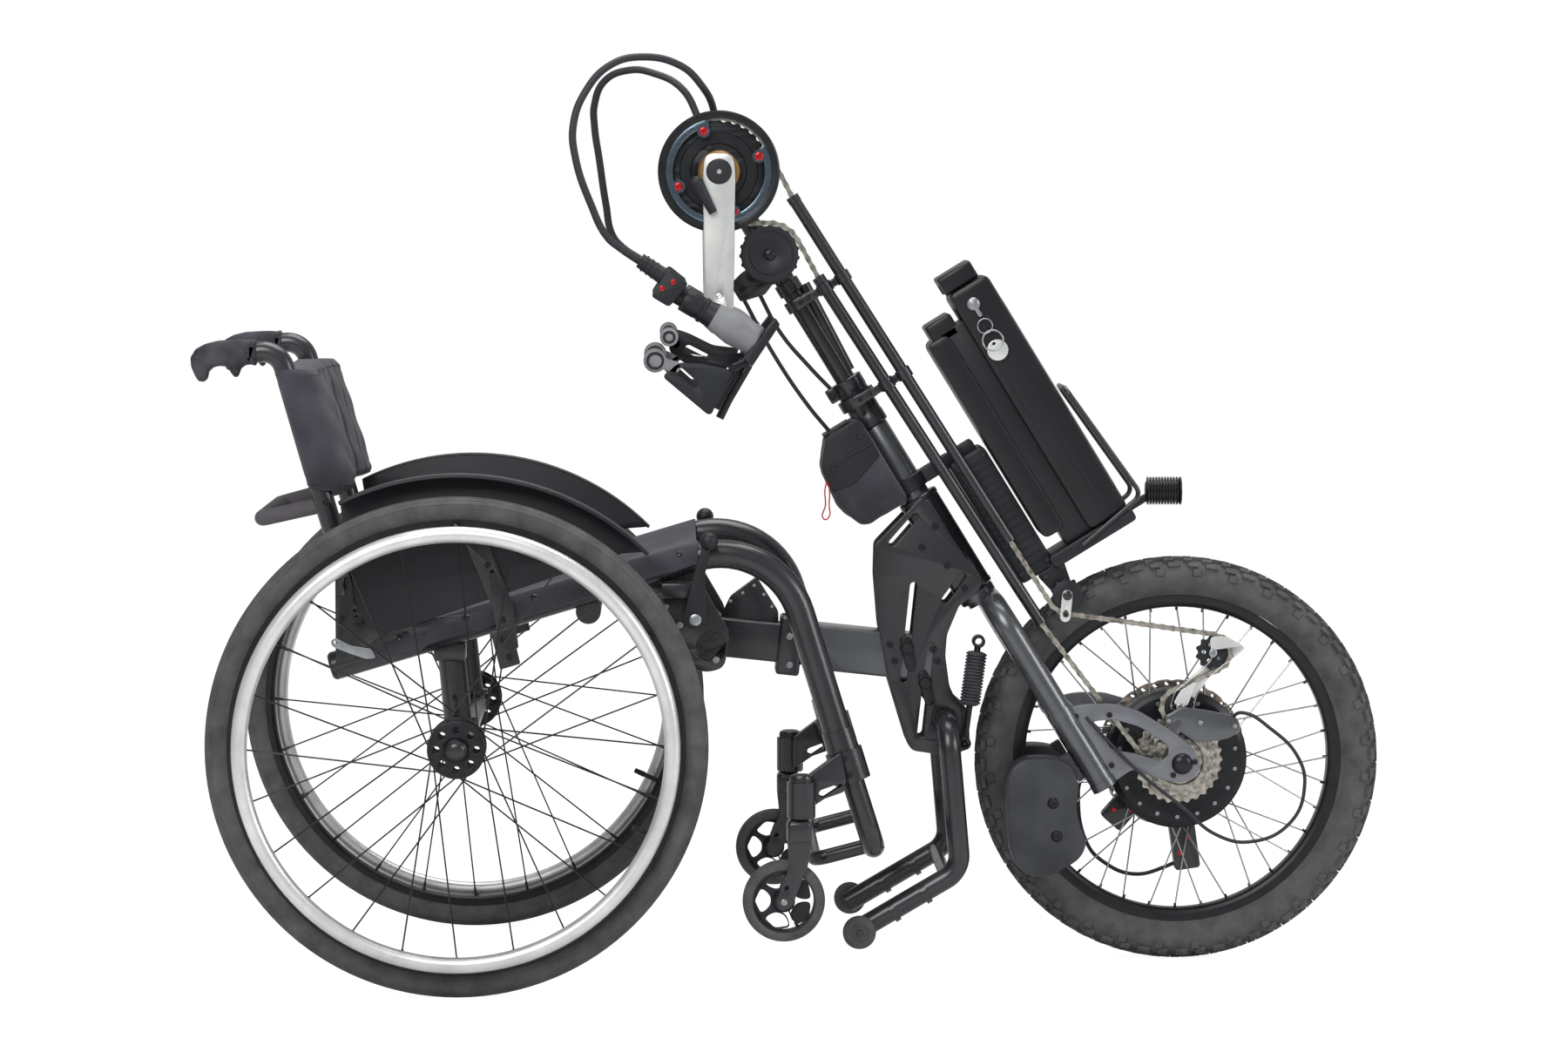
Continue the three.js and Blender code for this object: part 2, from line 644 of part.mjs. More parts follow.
function casterHousing() {
  const { stemX, side, housing, top, bottom } = caster;
  const onLeg = (down) => place(rail.footX + legRun.x * down, frameHalf, rail.footZ + legRun.y * down);
  const clampTop = onLeg(-caster.clampUp);
  const clampEnd = onLeg(caster.clampDown);
  const ring = rod(clampTop, clampEnd, frameTube / 2 + caster.clampWall, 10);
  const inside = frameHalf + footTube.radius + caster.legGap;
  const arm = cut(
    plate([
      [stemX, top], [clampTop.x, clampTop.z], [clampEnd.x, clampEnd.z], [stemX, bottom + caster.armLow],
    ], inside, side - caster.armLap, 4, 1),
    slot(
      [stemX + caster.slotNearX, caster.slotNearZ], [stemX + caster.slotFarX, caster.slotFarZ],
      caster.slotWidth, inside - overrun, side,
    ),
  );
  const legLine = rod(
    clampTop.clone().sub(place(legRun.x, 0, legRun.y).multiplyScalar(caster.clampUp)),
    clampEnd.clone().add(place(legRun.x, 0, legRun.y).multiplyScalar(overrun)),
    (frameTube / 2 + gap) / Math.cos(Math.PI / 10), 10,
  );
  const barrel = rod(place(stemX, side, bottom), place(stemX, side, top), housing, 10);
  const cap = rod(place(stemX, side, top), place(stemX, side, top + caster.capThick), caster.cap, 8);
  const stemBore = rod(
    place(stemX, side, bottom - overrun), place(stemX, side, top - caster.capThick),
    (caster.stem + gap) / Math.cos(Math.PI / 8), 8,
  );
  return cut(join(ring, arm, barrel, cap), legLine, stemBore);
}

function casterFork() {
  const { stemX, side, wheelX, wheelZ, crownTop, crownBottom } = caster;
  const inner = caster.width / 2 + caster.legGap;
  const outer = inner + caster.legThick;
  const leg = (y0, y1) => plate([
    [stemX - caster.crownRear, crownBottom + caster.legLap],
    [stemX + caster.crownFront, crownBottom + caster.legLap],
    [wheelX + caster.toe, wheelZ - caster.toeDrop], [wheelX, wheelZ - caster.toe], [wheelX - caster.toe, wheelZ],
  ], side + y0, side + y1, 4, 1);
  return join(
    block(
      stemX - caster.crownRear, stemX + caster.crownFront, side - outer, side + outer, crownBottom, crownTop,
    ),
    rod(
      place(stemX, side, crownTop - overrun),
      place(stemX, side, caster.top - caster.capThick - caster.stemGap),
      caster.stem,
    ),
    leg(-outer, -inner), leg(inner, outer),
    drum(wheelX, wheelZ, side - outer, side + outer, caster.axle, 10),
  );
}

function casterWheel() {
  const { radius, width, axle: pin, rimShare, bossShare, holes } = caster;
  const [half, rim, boss] = [width / 2, radius * rimShare, radius * bossShare];
  const wheel = turned([
    [pin + gap, -half], [boss, -half], [boss, -half / 3], [rim, -half / 3], [rim, -half],
    [radius, -half / 2], [radius, half / 2], [rim, half], [rim, half / 3], [boss, half / 3],
    [boss, half], [pin + gap, half],
  ], 14);
  const gaps = Array.from({ length: holes }, (_, i) => {
    const spot = (radiusShare, turnShare) => {
      const angle = fullTurn * (i + 0.5 + turnShare) / holes;
      return [radiusShare * radius * Math.cos(angle), radiusShare * radius * Math.sin(angle)];
    };
    const [near, far] = [bossShare * caster.nearShare, rimShare * caster.farShare];
    return plate([
      spot(near, -0.2), spot(near, 0.2), spot((near + far) / 2, 0.34), spot(far, 0.2),
      spot(far, -0.2), spot((near + far) / 2, -0.34),
    ], -half, half);
  });
  return cut(wheel, ...gaps);
}

for (const [name, side] of bothSides) {
  piece(`caster_housing_${name}`, casterHousing(), blackPaint, vehicle, side);
  piece(`caster_fork_${name}`, casterFork(), blackPaint, vehicle, side);
  const hubPlace = new THREE.Group();
  hubPlace.position.set(caster.wheelX, side * caster.side, caster.wheelZ);
  vehicle.add(hubPlace);
  piece(`caster_wheel_${name}`, casterWheel(), rubber, hubPlace, side);
}

// Dock: a cross tube hung on the seat rails by two latched plates, and a bar that reaches ahead
const dockPlateInset = 16;
const dockPlateThick = 8;
const leverClear = 27;
const leverThick = 6;
const dock = {
  crossX: 300, crossZ: 404, cross: 19, plateIn: frameHalf - dockPlateInset - dockPlateThick,
  plateOut: frameHalf - dockPlateInset, saddleRear: 240, saddleFront: 286,
  saddleBottom: 464, barZ: 402, barSlope: -0.105, barHalfHeight: 24, barHalfWidth: 21, barEnd: 522,
  clampRear: 383, clampFront: 412, clampHalfHeight: 36, clampHalfWidth: 28, wedge: 4, pin: 5,
};
const lever = {
  pivotX: 280, pivotZ: 440, inside: frameHalf + leverClear, outside: frameHalf + leverClear + leverThick,
  ball: 11, ballX: 296, ballZ: 533,
};

function onDock(x0, x1, halfHeight, halfWidth, drop = 0) {
  const turnDown = Math.atan(dock.barSlope);
  const geometry = new THREE.BoxGeometry((x1 - x0) / Math.cos(turnDown), 2 * halfWidth, 2 * halfHeight);
  geometry.rotateY(-turnDown);
  const middle = (x0 + x1) / 2;
  geometry.translate(middle, 0, dock.barZ - drop + (middle - dock.crossX) * dock.barSlope);
  return solid(geometry);
}

function dockFrame() {
  const { crossX, crossZ, plateIn, plateOut } = dock;
  const parts = [
    drum(crossX, crossZ, -plateOut, plateOut, dock.cross),
    onDock(crossX, dock.barEnd, dock.barHalfHeight, dock.barHalfWidth),
    onDock(dock.clampRear, dock.clampFront, dock.clampHalfHeight, dock.clampHalfWidth, 2),
    plate([
      [crossX + 10, 415], [325, 450], [357, 474], [dock.clampRear + overrun, 431],
      [dock.clampRear + overrun, 410],
    ], -dock.wedge, dock.wedge),
  ];
  const outline = [
    [216, 462], [193, 436], [230, 366], [262, 384], [crossX - 8, 372], [crossX + 15, 378], [crossX + 22, 420],
    [dock.saddleFront, 482], [dock.saddleRear, 470],
  ];
  for (const [, side] of bothSides) {
    const [y0, y1] = [side * plateIn, side * plateOut].sort((a, b) => a - b);
    parts.push(plate(outline, y0, y1, 10, 1));
    parts.push(block(
      dock.saddleRear, dock.saddleFront, Math.min(y0, side * (frameHalf + frameTube / 2)),
      Math.max(y1, side * (frameHalf + frameTube / 2)), dock.saddleBottom, railHeight(dock.saddleRear),
    ));
    parts.push(drum(lever.pivotX, lever.pivotZ, side * plateIn, side * (lever.outside + 2), dock.pin, 10));
  }
  return cut(join(...parts), ...bothSides.map(([, side]) => sideTube(side * frameHalf, frameTube / 2 + gap)));
}

piece('dock_frame', dockFrame(), blackPaint);

function dockLever() {
  const { pivotX, pivotZ, inside, outside, ball, ballX, ballZ } = lever;
  const arm = plate([
    [pivotX - 12, pivotZ + 12], [pivotX - 17, pivotZ - 4], [pivotX - 4, pivotZ - 12],
    [pivotX + 13, pivotZ - 3],
    [pivotX + 11, pivotZ + 52], [ballX + 5, ballZ], [ballX - 6, ballZ], [pivotX - 2, pivotZ + 54],
  ], inside, outside, 5, 1);
  const knob = new THREE.SphereGeometry(ball, 8, 6);
  knob.translate(ballX, (inside + outside) / 2, ballZ);
  const eye = bore(pivotX, pivotZ, inside - overrun, outside + overrun, dock.pin + gap, 10);
  return cut(join(arm, solid(knob)), eye);
}

for (const [name, side] of bothSides) piece(`dock_lever_${name}`, dockLever(), blackPlastic, vehicle, side);

const beam = { rear: 413, front: 582, halfHeight: 28, halfWidth: 26.7, wall: 3.5 };

function dockBeam() {
  const whole = onDock(beam.rear, beam.front, beam.halfHeight, beam.halfWidth);
  const hollow = onDock(
    beam.rear - overrun, beam.front + overrun, beam.halfHeight - beam.wall, beam.halfWidth - beam.wall,
  );
  return cut(whole, hollow);
}

piece('dock_beam', dockBeam(), greyPaint);

// Side plates: two slotted plates that bolt the head tube, the beam and the stand together
const sidePlate = { inside: 27, outside: 32, slotWidth: 9, pin: 4, pinEnd: 66 };
const damper = {
  pivotX: 610, pivotZ: 273, side: 55, half: 8, eye: 8, topX: 627, topZ: 398, boot: 13, valley: 10.5, ribs: 7,
  sides: 8, bootFromShare: 0.38, bootToShare: 0.9, lapShare: 0.02,
};
const stand = {
  topX: 586, topZ: 300, half: 125, kneeX: 601, kneeZ: 126, footX: 474, footZ: 51.5, tube: 13, bend: 32,
  strutX: 584, strutZ: 119, strut: 8, wheel: 20, wheelX: 478, wheelZ: 54, wheelWidth: 15, pin: 4, reach: 4,
};

function sidePlateForm(withPin) {
  const outline = [
    [502, 515], [559, 574], [633, 471], [629, 456], [605, 440], [590, 404], [588, 378], [593, 341],
    [600, 326], [616, 312], [619, 264], [604, 258], [575, 257], [548, 261], [541, 270], [518, 346],
    [506, 415], [501, 476],
  ];
  const { inside, outside, slotWidth } = sidePlate;
  const [y0, y1] = [inside - overrun, outside + overrun];
  const open = cut(
    plate(outline, inside, outside),
    slot([551, 549], [523, 517], slotWidth, y0, y1),
    slot([609, 476], [588, 447], slotWidth, y0, y1),
    slot([549, 464], [537, 350], slotWidth, y0, y1),
    slot([570, 391], [558, 281], slotWidth, y0, y1),
    bore(stand.topX, stand.topZ, y0, y1, stand.tube + gap, 10),
  );
  if (!withPin) return open;
  return join(open, drum(damper.pivotX, damper.pivotZ, inside, sidePlate.pinEnd, sidePlate.pin, 10));
}

for (const [name, side] of bothSides) {
  piece(`side_plate_${name}`, sidePlateForm(side < 0), blackPaint, vehicle, side);
}

// Stand: one bent tube through both side plates, a small wheel at each foot
function standForm() {
  const { topX, topZ, half, kneeX, kneeZ, footX: x, footZ: z, tube, wheelX, wheelZ } = stand;
  const tubeForm = pipe([
    place(x, -half, z), place(kneeX, -half, kneeZ), place(topX, -half, topZ),
    place(topX, half, topZ), place(kneeX, half, kneeZ), place(x, half, z),
  ], tube, stand.bend, 8);
  const reach = half + tube + stand.reach + stand.wheelWidth;
  return join(
    tubeForm, drum(stand.strutX, stand.strutZ, -half, half, stand.strut, 6),
    drum(wheelX, wheelZ, -reach, -half, stand.pin, 8), drum(wheelX, wheelZ, half, reach, stand.pin, 8),
  );
}

piece('stand', standForm(), blackPaint);

for (const [name, side] of bothSides) {
  const { wheel, wheelWidth, pin, half, tube, reach, wheelX, wheelZ } = stand;
  const quarter = wheelWidth / 4;
  const roller = turned([
    [pin + gap, -2 * quarter], [wheel * 0.8, -2 * quarter], [wheel, -quarter],
    [wheel, quarter], [wheel * 0.8, 2 * quarter], [pin + gap, 2 * quarter],
  ], 12);
  const hubPlace = new THREE.Group();
  hubPlace.position.set(wheelX, side * (half + tube + reach / 2 + wheelWidth / 2), wheelZ);
  vehicle.add(hubPlace);
  piece(`stand_wheel_${name}`, roller, rubber, hubPlace, side);
}

// Steering damper: a spring rod in a ribbed boot that tilts on its pin beside the right side plate
function damperBoot() {
  const run = Math.hypot(damper.topX - damper.pivotX, damper.topZ - damper.pivotZ);
  const [from, to] = [run * damper.bootFromShare, run * damper.bootToShare];
  const pitch = (to - from) / damper.ribs;
  const flanks = Array.from({ length: damper.ribs }, (_, i) => [
    [damper.valley, from + pitch * i], [damper.boot, from + pitch * (i + 0.5)],
  ]).flat();
  const boot = turned([
    [0, from], ...flanks, [damper.valley, to], [0, to],
  ], damper.sides);
  const heading = Math.atan2(damper.topX - damper.pivotX, damper.topZ - damper.pivotZ);
  return boot
    .rotate([90, 0, 0])
    .rotate([0, heading / degree, 0])
    .translate([damper.pivotX, damper.side, damper.pivotZ]);
}

function damperForm() {
  const { pivotX, pivotZ, side, half, eye, topX, topZ, bootFromShare, bootToShare } = damper;
  const at = (share) => place(pivotX + (topX - pivotX) * share, side, pivotZ + (topZ - pivotZ) * share);
  const body = join(
    drum(pivotX, pivotZ, side - half, side + half, eye),
    rod(at(0), at(bootFromShare + damper.lapShare), eye / 2, 8),
    damperBoot(), rod(at(bootToShare - damper.lapShare), at(1), eye / 2),
    drum(topX, topZ, side - half, side + half, eye),
  );
  return cut(body, bore(pivotX, pivotZ, side - 2 * half, side + 2 * half, sidePlate.pin + gap, 10));
}

piece('steering_damper', damperForm(), rubber, vehicle, -1);

// From here on places are in the steering frame: x ahead of the steering axis and z up along it,
// both from the point of the axis that is nearest to the front axle
const head = { radius: 25, bottom: 308, top: 443, lugRear: -24, lugFront: 11, lugLow: 322, lugHigh: 436 };
const steerer = { radius: 17, top: 545, bore: 12.5, boreDepth: 95 };

function headTube() {
  const upper = place(0, 0, head.top);
  const lower = place(0, 0, head.bottom);
  const body = join(
    rod(lower, upper, head.radius, 12),
    block(
      head.lugRear, head.lugFront, -sidePlate.inside + gap, sidePlate.inside - gap, head.lugLow, head.lugHigh,
    ),
  );
  const clear = (steerer.radius + gap) / Math.cos(Math.PI / 12);
  return cut(body, rod(place(0, 0, head.bottom - overrun), place(0, 0, head.top + overrun), clear, 12));
}

piece('head_tube', headTube(), blackPaint, steering);

// Fork: steerer, arched blades and the long dropouts that carry the axle ahead of them
const fork = { ahead: 10, half: 72, crown: 284, tip: 24, radius: 15.5, bend: 40 };
const dropout = { inside: 68, outside: 76, boss: 20, nut: 13, nutLength: 8 };
const frontAxle = 6;

function forkForm() {
  const { ahead, half, crown, tip, radius, bend } = fork;
  const arch = pipe([
    place(ahead, -half, tip), place(ahead, -half, crown), place(ahead, half, crown), place(ahead, half, tip),
  ], radius, bend, 10);
  const tube = cut(
    rod(place(0, 0, crown), place(0, 0, steerer.top), steerer.radius, 12),
    rod(
      place(0, 0, steerer.top - steerer.boreDepth), place(0, 0, steerer.top + overrun),
      (steerer.bore + gap) / Math.cos(Math.PI / 10), 10,
    ),
  );
  const outline = [
    [ahead, 134], [30, 129], [43, 124], [72, 106], [93, 83], [113, 45], [126, 10], [124, -12], [112, -22],
    [97, -22], [78, -9], [63, 8], [50, 26], [ahead, tip],
  ];
  const window = [[38, 102], [62, 90], [83, 67], [102, 28], [95, 17], [84, 16], [63, 40], [40, 60]];
  const parts = [arch, tube, drum(forkOffset, 0, -dropout.outside, dropout.outside, frontAxle, 8)];
  for (const [, side] of bothSides) {
    const [y0, y1] = [side * dropout.inside, side * dropout.outside].sort((a, b) => a - b);
    parts.push(cut(
      plate(outline, y0, y1), plate(window, y0 - overrun, y1 + overrun),
    ));
    parts.push(drum(forkOffset, 0, y0, y1, dropout.boss, 12));
    parts.push(drum(
      forkOffset, 0, side * dropout.outside, side * (dropout.outside + dropout.nutLength), dropout.nut, 10,
    ));
  }
  return join(...parts);
}

piece('fork', forkForm(), greyPaint, steering);

// Front wheel: knobbly tyre, laced rim on the hub motor, and the brake disc
const frontTyre = { bead: 202, width: 54, segments: 28 };
const frontRim = { inner: 187, width: 30 };
const motor = {
  radius: 86, right: -21, left: 40, bossRight: -63, boss: 17, bossLeft: 64, spokeCircle: 84, shoulder: 5,
  dish: 3, spokeInset: 9, segments: 14,
};
const frontLacing = { spokes: 36, radius: 1, lean: 14 };
const disc = { radius: 92, ring: 74, thickness: 2, side: 46, arm: 9 };

function frontTyreForm() {
  const bead = frontTyre.bead + gap;
  const depth = frontRadius - bead;
  const half = frontTyre.width / 2;
  const shares = [[0, 0.6], [0.4, 1], [0.8, 0.9], [1, 0.45]];
  const flank = shares.map(([up, out]) => [bead + depth * up, half * out]);
  return turned([...flank, ...flank.toReversed().map(([radius, y]) => [radius, -y])], frontTyre.segments);
}

function frontWheelForm() {
  const half = frontRim.width / 2;
  const { radius, right, left, bossRight, boss, bossLeft, spokeCircle } = motor;
  const rim = turned([
    [frontTyre.bead, -half], [frontTyre.bead, half],
    [frontRim.inner, half * 0.7], [frontRim.inner, -half * 0.7],
  ], frontTyre.segments);
  const clear = frontAxle + gap;
  const drumForm = turned([
    [clear, bossRight], [boss, bossRight], [boss, right - motor.dish], [radius - motor.shoulder, right],
    [radius, right + motor.shoulder], [radius, left - motor.shoulder], [radius - motor.shoulder, left],
    [boss, left + motor.dish], [boss, bossLeft], [clear, bossLeft],
  ], motor.segments);
  const spokes = laced(
    frontLacing.spokes, frontLacing.lean, frontLacing.radius, spokeCircle, frontRim.inner + rearRim.nipple,
    right + motor.spokeInset, left - motor.spokeInset, half / 5,
  );
  return join(rim, drumForm, brakeDisc(), ...spokes);
}

function brakeDisc() {
  const ring = turned([
    [disc.ring, disc.side], [disc.radius, disc.side], [disc.radius, disc.side + disc.thickness],
    [disc.ring, disc.side + disc.thickness],
  ], 16);
  const arms = Array.from({ length: 6 }, (_, i) => {
    const angle = fullTurn * i / 6;
    const [x, z] = [Math.cos(angle), Math.sin(angle)];
    const [fromR, toR] = [motor.boss, disc.ring + 3];
    const [wideX, wideZ] = [disc.arm * x / 2, disc.arm * z / 2];
    return plate([
      [x * fromR + wideZ, z * fromR - wideX], [x * toR + wideZ, z * toR - wideX],
      [x * toR - wideZ, z * toR + wideX], [x * fromR - wideZ, z * fromR + wideX],
    ], disc.side, disc.side + disc.thickness);
  });
  return join(ring, ...arms);
}

const frontHub = new THREE.Group();
frontHub.position.set(forkOffset, 0, 0);
frontHub.rotation.y = tilt;
steering.add(frontHub);
piece('front_tyre', frontTyreForm(), rubber, frontHub);
piece('front_wheel', frontWheelForm(), blackPaint, frontHub);

// Sprockets: teeth stand between the two rows of chain plates, just short of the pins between them
const tooth = { thickness: 3.4, tipDrop: 1.6, rootDrop: 4.8 };

function pitchRadius(teeth) {
  return chainPitch / (2 * Math.sin(Math.PI / teeth));
}

function toothed(teeth, y0, y1, tipRadius, flatShare) {
  const root = tipRadius - (tooth.rootDrop - tooth.tipDrop);
  const points = [];
  for (let i = 0; i < teeth; i += 1) {
    const middle = fullTurn * i / teeth;
    const reach = fullTurn * flatShare / teeth;
    const radii = flatShare > 0
      ? [[middle - fullTurn / teeth / 2, root], [middle - reach, tipRadius], [middle + reach, tipRadius]]
      : [[middle - fullTurn / teeth / 2, root], [middle, tipRadius]];
    for (const [angle, radius] of radii) points.push([radius * Math.cos(angle), radius * Math.sin(angle)]);
  }
  return plate(points, y0, y1);
}

const ringTeeth = 32;
const workingCog = 16;
const cogs = [14, 16, 18, 21, 24, 28];
const cogStep = 5;
const cogThickness = 1.8;
const tensionerTeeth = 19;
const pulleyTeeth = 11;

function cassetteForm() {
  const stack = cogs.map((teeth, i) => {
    const y = chainSide + (i - cogs.indexOf(workingCog)) * cogStep;
    return toothed(teeth, y - cogThickness / 2, y + cogThickness / 2, pitchRadius(teeth) - tooth.tipDrop, 0);
  });
  const [first, last] = [cogs.indexOf(workingCog), cogs.length - 1 - cogs.indexOf(workingCog)];
  const spacer = drum(0, 0, chainSide - first * cogStep, chainSide + last * cogStep, motor.boss + 4, 8);
  const bossClear = motor.boss / Math.cos(Math.PI / motor.segments) + gap;
  const clear = bore(0, 0, chainSide - 4 * cogStep, chainSide + cogs.length * cogStep, bossClear, 12);
  return cut(join(spacer, ...stack), clear);
}

piece('cassette', cassetteForm(), steel, frontHub);

// Drive: the pulleys that the chain runs round, in the order it passes them
const idler = { ahead: 93, up: 247, pin: 3 };
const tension = { ahead: 208, up: 93 };
const guide = { ahead: 139, up: 57 };
const tensioner = { up: 792, pin: 4, cover: 35, coverThick: 3 };
const upperTube = { topAhead: 60, top: 838, lowAhead: 68, low: 340 };
const lowerTube = { topAhead: 36, top: 738, lowAhead: 48, low: 234 };
const chainTube = { outer: 7.3, inner: 6 };

const clockwise = -1;
const anticlockwise = 1;
const circuit = [
  { x: 0, z: crankUp, radius: pitchRadius(ringTeeth), way: clockwise },
  { x: upperTube.topAhead, z: upperTube.top, radius: 0, way: clockwise },
  { x: upperTube.lowAhead, z: upperTube.low, radius: 0, way: clockwise },
  { x: idler.ahead, z: idler.up, radius: pitchRadius(pulleyTeeth), way: anticlockwise },
  { x: tension.ahead, z: tension.up, radius: pitchRadius(pulleyTeeth), way: clockwise },
  { x: guide.ahead, z: guide.up, radius: pitchRadius(pulleyTeeth), way: anticlockwise },
  { x: forkOffset, z: 0, radius: pitchRadius(workingCog), way: clockwise },
  { x: lowerTube.lowAhead, z: lowerTube.low, radius: 0, way: clockwise },
  { x: lowerTube.topAhead, z: lowerTube.top, radius: 0, way: clockwise },
  { x: 0, z: tensioner.up, radius: pitchRadius(tensionerTeeth), way: anticlockwise },
];

// The heading of the straight run between two wheels follows from their radii and ways round.
function headingBetween(a, b) {
  const apart = Math.hypot(b.x - a.x, b.z - a.z);
  const line = Math.atan2(b.z - a.z, b.x - a.x);
  return line - Math.asin((b.way * b.radius - a.way * a.radius) / apart);
}

// Stations of the chain line, each with its place and the normal on its left.
function chainLine() {
  const stations = [];
  circuit.forEach((wheel, i) => {
    const arriving = headingBetween(circuit.at(i - 1), wheel);
    const leaving = headingBetween(wheel, circuit[(i + 1) % circuit.length]);
    let turning = (leaving - arriving) % fullTurn;
    if (wheel.radius > 0 && turning * wheel.way < 0) turning += wheel.way * fullTurn;
    if (wheel.radius === 0 && Math.abs(turning) > Math.PI) turning -= Math.sign(turning) * fullTurn;
    const step = 2 * Math.acos(1 - chainSize.sag / Math.max(wheel.radius, chainPitch));
    const count = wheel.radius > 0 ? Math.ceil(Math.abs(turning) / step) : 0;
    const widen = count > 0 ? 1 / Math.cos(turning / count / 2) : 1;
    for (let k = 0; k <= count; k += 1) {
      const heading = count > 0 ? arriving + turning * k / count : arriving + turning / 2;
      const left = new THREE.Vector2(-Math.sin(heading), Math.cos(heading));
      const radius = wheel.radius * (k > 0 && k < count ? widen : 1);
      const centre = new THREE.Vector2(wheel.x, wheel.z);
      stations.push({ spot: centre.addScaledVector(left, -wheel.way * radius), left });
    }
  });
  return stations;
}

// Chain: two rows of side plates with the pins and rollers as a web between them
const chainSize = { half: 3.7, plate: 1.2, web: 0.6, sag: 1 };

function chainBand(halfHeight, y0, y1) {
  const stations = chainLine();
  const edge = (offset) => stations.map(({ spot, left }) => spot.clone().addScaledVector(left, offset));
  const shape = new THREE.Shape(edge(halfHeight));
  shape.holes.push(new THREE.Path(edge(-halfHeight).toReversed()));
  return pressed(shape, y0, y1, 1);
}

function chainForm() {
  const { half, plate: thick, web } = chainSize;
  return join(
    chainBand(half, chainSide - half, chainSide - half + thick),
    chainBand(half, chainSide + half - thick, chainSide + half),
    chainBand(web, chainSide - half + thick / 2, chainSide + half - thick / 2),
  );
}

piece('chain', chainForm(), steel, steering);

function pulley(teeth, pin, coverRadius = 0, coverThick = 0) {
  const half = tooth.thickness / 2;
  const wheel = toothed(teeth, -half, half, pitchRadius(teeth) - tooth.tipDrop, 0);
  const clear = bore(0, 0, -4 * chainSize.half, 4 * chainSize.half, pin + gap, 10);
  if (coverRadius === 0) return cut(wheel, clear);
  const outside = -chainSize.half - overrun - coverThick;
  return cut(join(
    wheel, drum(0, 0, outside, 0, pin * 3, 8), drum(0, 0, outside, outside + coverThick, coverRadius, 20),
  ), clear);
}

function pulleyAt(name, ahead, up, shape, finish) {
  const middle = new THREE.Group();
  middle.position.set(ahead, chainSide, up);
  steering.add(middle);
  piece(name, shape, finish, middle);
}

pulleyAt('idler_pulley', idler.ahead, idler.up, pulley(pulleyTeeth, idler.pin), blackPlastic);
pulleyAt('tension_pulley', tension.ahead, tension.up, pulley(pulleyTeeth, idler.pin), blackPlastic);
pulleyAt('guide_pulley', guide.ahead, guide.up, pulley(pulleyTeeth, idler.pin), blackPlastic);
pulleyAt(
  'chain_tensioner', 0, tensioner.up,
  pulley(tensionerTeeth, tensioner.pin, tensioner.cover, tensioner.coverThick), blackPlastic,
);

// Mast: the inner tube that carries the crank, clamped in the steerer
const mast = {
  radius: 12.5, bottom: 460, top: 905, collar: 20, collarTop: 612, ear: 30, earHalf: 9, earHeight: 18,
  shell: 22, shellHalf: 34, pinHead: 7, pinHeadThick: 2.5, relief: 7,
};
const crankAxle = 10;
const reliefs = {
  right: [place(0, -12, 925), place(17, -14, 950)],
  left: [place(2, 12, 925), place(8, 24, 952)],
};
const linkage = { half: 3, rear: -60, front: -10, bottom: 752, top: 790 };
const linkageShares = [[0, 0.21], [0, 0.87], [0.4, 1], [1, 1], [1, 0.21], [0.6, 0]];
const strut = { radius: 8, topX: 17, topZ: 738, footX: 9, footZ: 619 };
const mastCable = 2.5;

function strutForm(grown) {
  const { radius, footX: lowAhead, footZ: low, topX: topAhead, topZ: top } = strut;
  return rod(place(lowAhead, 0, low), place(topAhead, 0, top + grown), radius + grown);
}

function mastUpper() {
  const { radius, collar, collarTop, ear, earHalf, earHeight, shell, shellHalf } = mast;
  const collarBottom = steerer.top + gap;
  const pinEnd = chainSide - chainSize.half - overrun - tensioner.coverThick - gap;
  const body = join(
    rod(place(0, 0, mast.bottom), place(0, 0, mast.top), radius, 10),
    rod(place(0, 0, collarBottom), place(0, 0, collarTop), collar, 12),
    block(-ear, -radius, -earHalf, earHalf, collarTop - earHeight, collarTop),
    drum(0, crankUp, -shellHalf, shellHalf, shell, 16),
    drum(0, tensioner.up, pinEnd - mast.pinHeadThick, 0, tensioner.pin, 10),
    drum(0, tensioner.up, pinEnd - mast.pinHeadThick, pinEnd, mast.pinHead, 8),
    plate(spread(linkageShares, linkage), -linkage.half, linkage.half),
    strutForm(0),
    cable([
      place(-35, 0, 760), place(-38, 0, 703), place(-30, 0, 650), place(-19, 0, 600),
    ], mastCable, 4),
    cable([place(-55, 0, 760), place(-59, 0, 685), place(-56, 0, 610), place(-50, 0, 567)], mastCable, 4),
    ...bothSides.map(([name]) => rod(...reliefs[name], mast.relief)),
  );
  return cut(body, bore(0, crankUp, -shellHalf - overrun, shellHalf + overrun, crankAxle + gap, 14));
}

piece('mast_upper', mastUpper(), blackPaint, steering);

// Chain tubes: one round each straight run of the chain, held by two clamps on the mast
const chainClamp = { upper: 722, lower: 583, half: 7, wall: 4, armHalf: 6 };

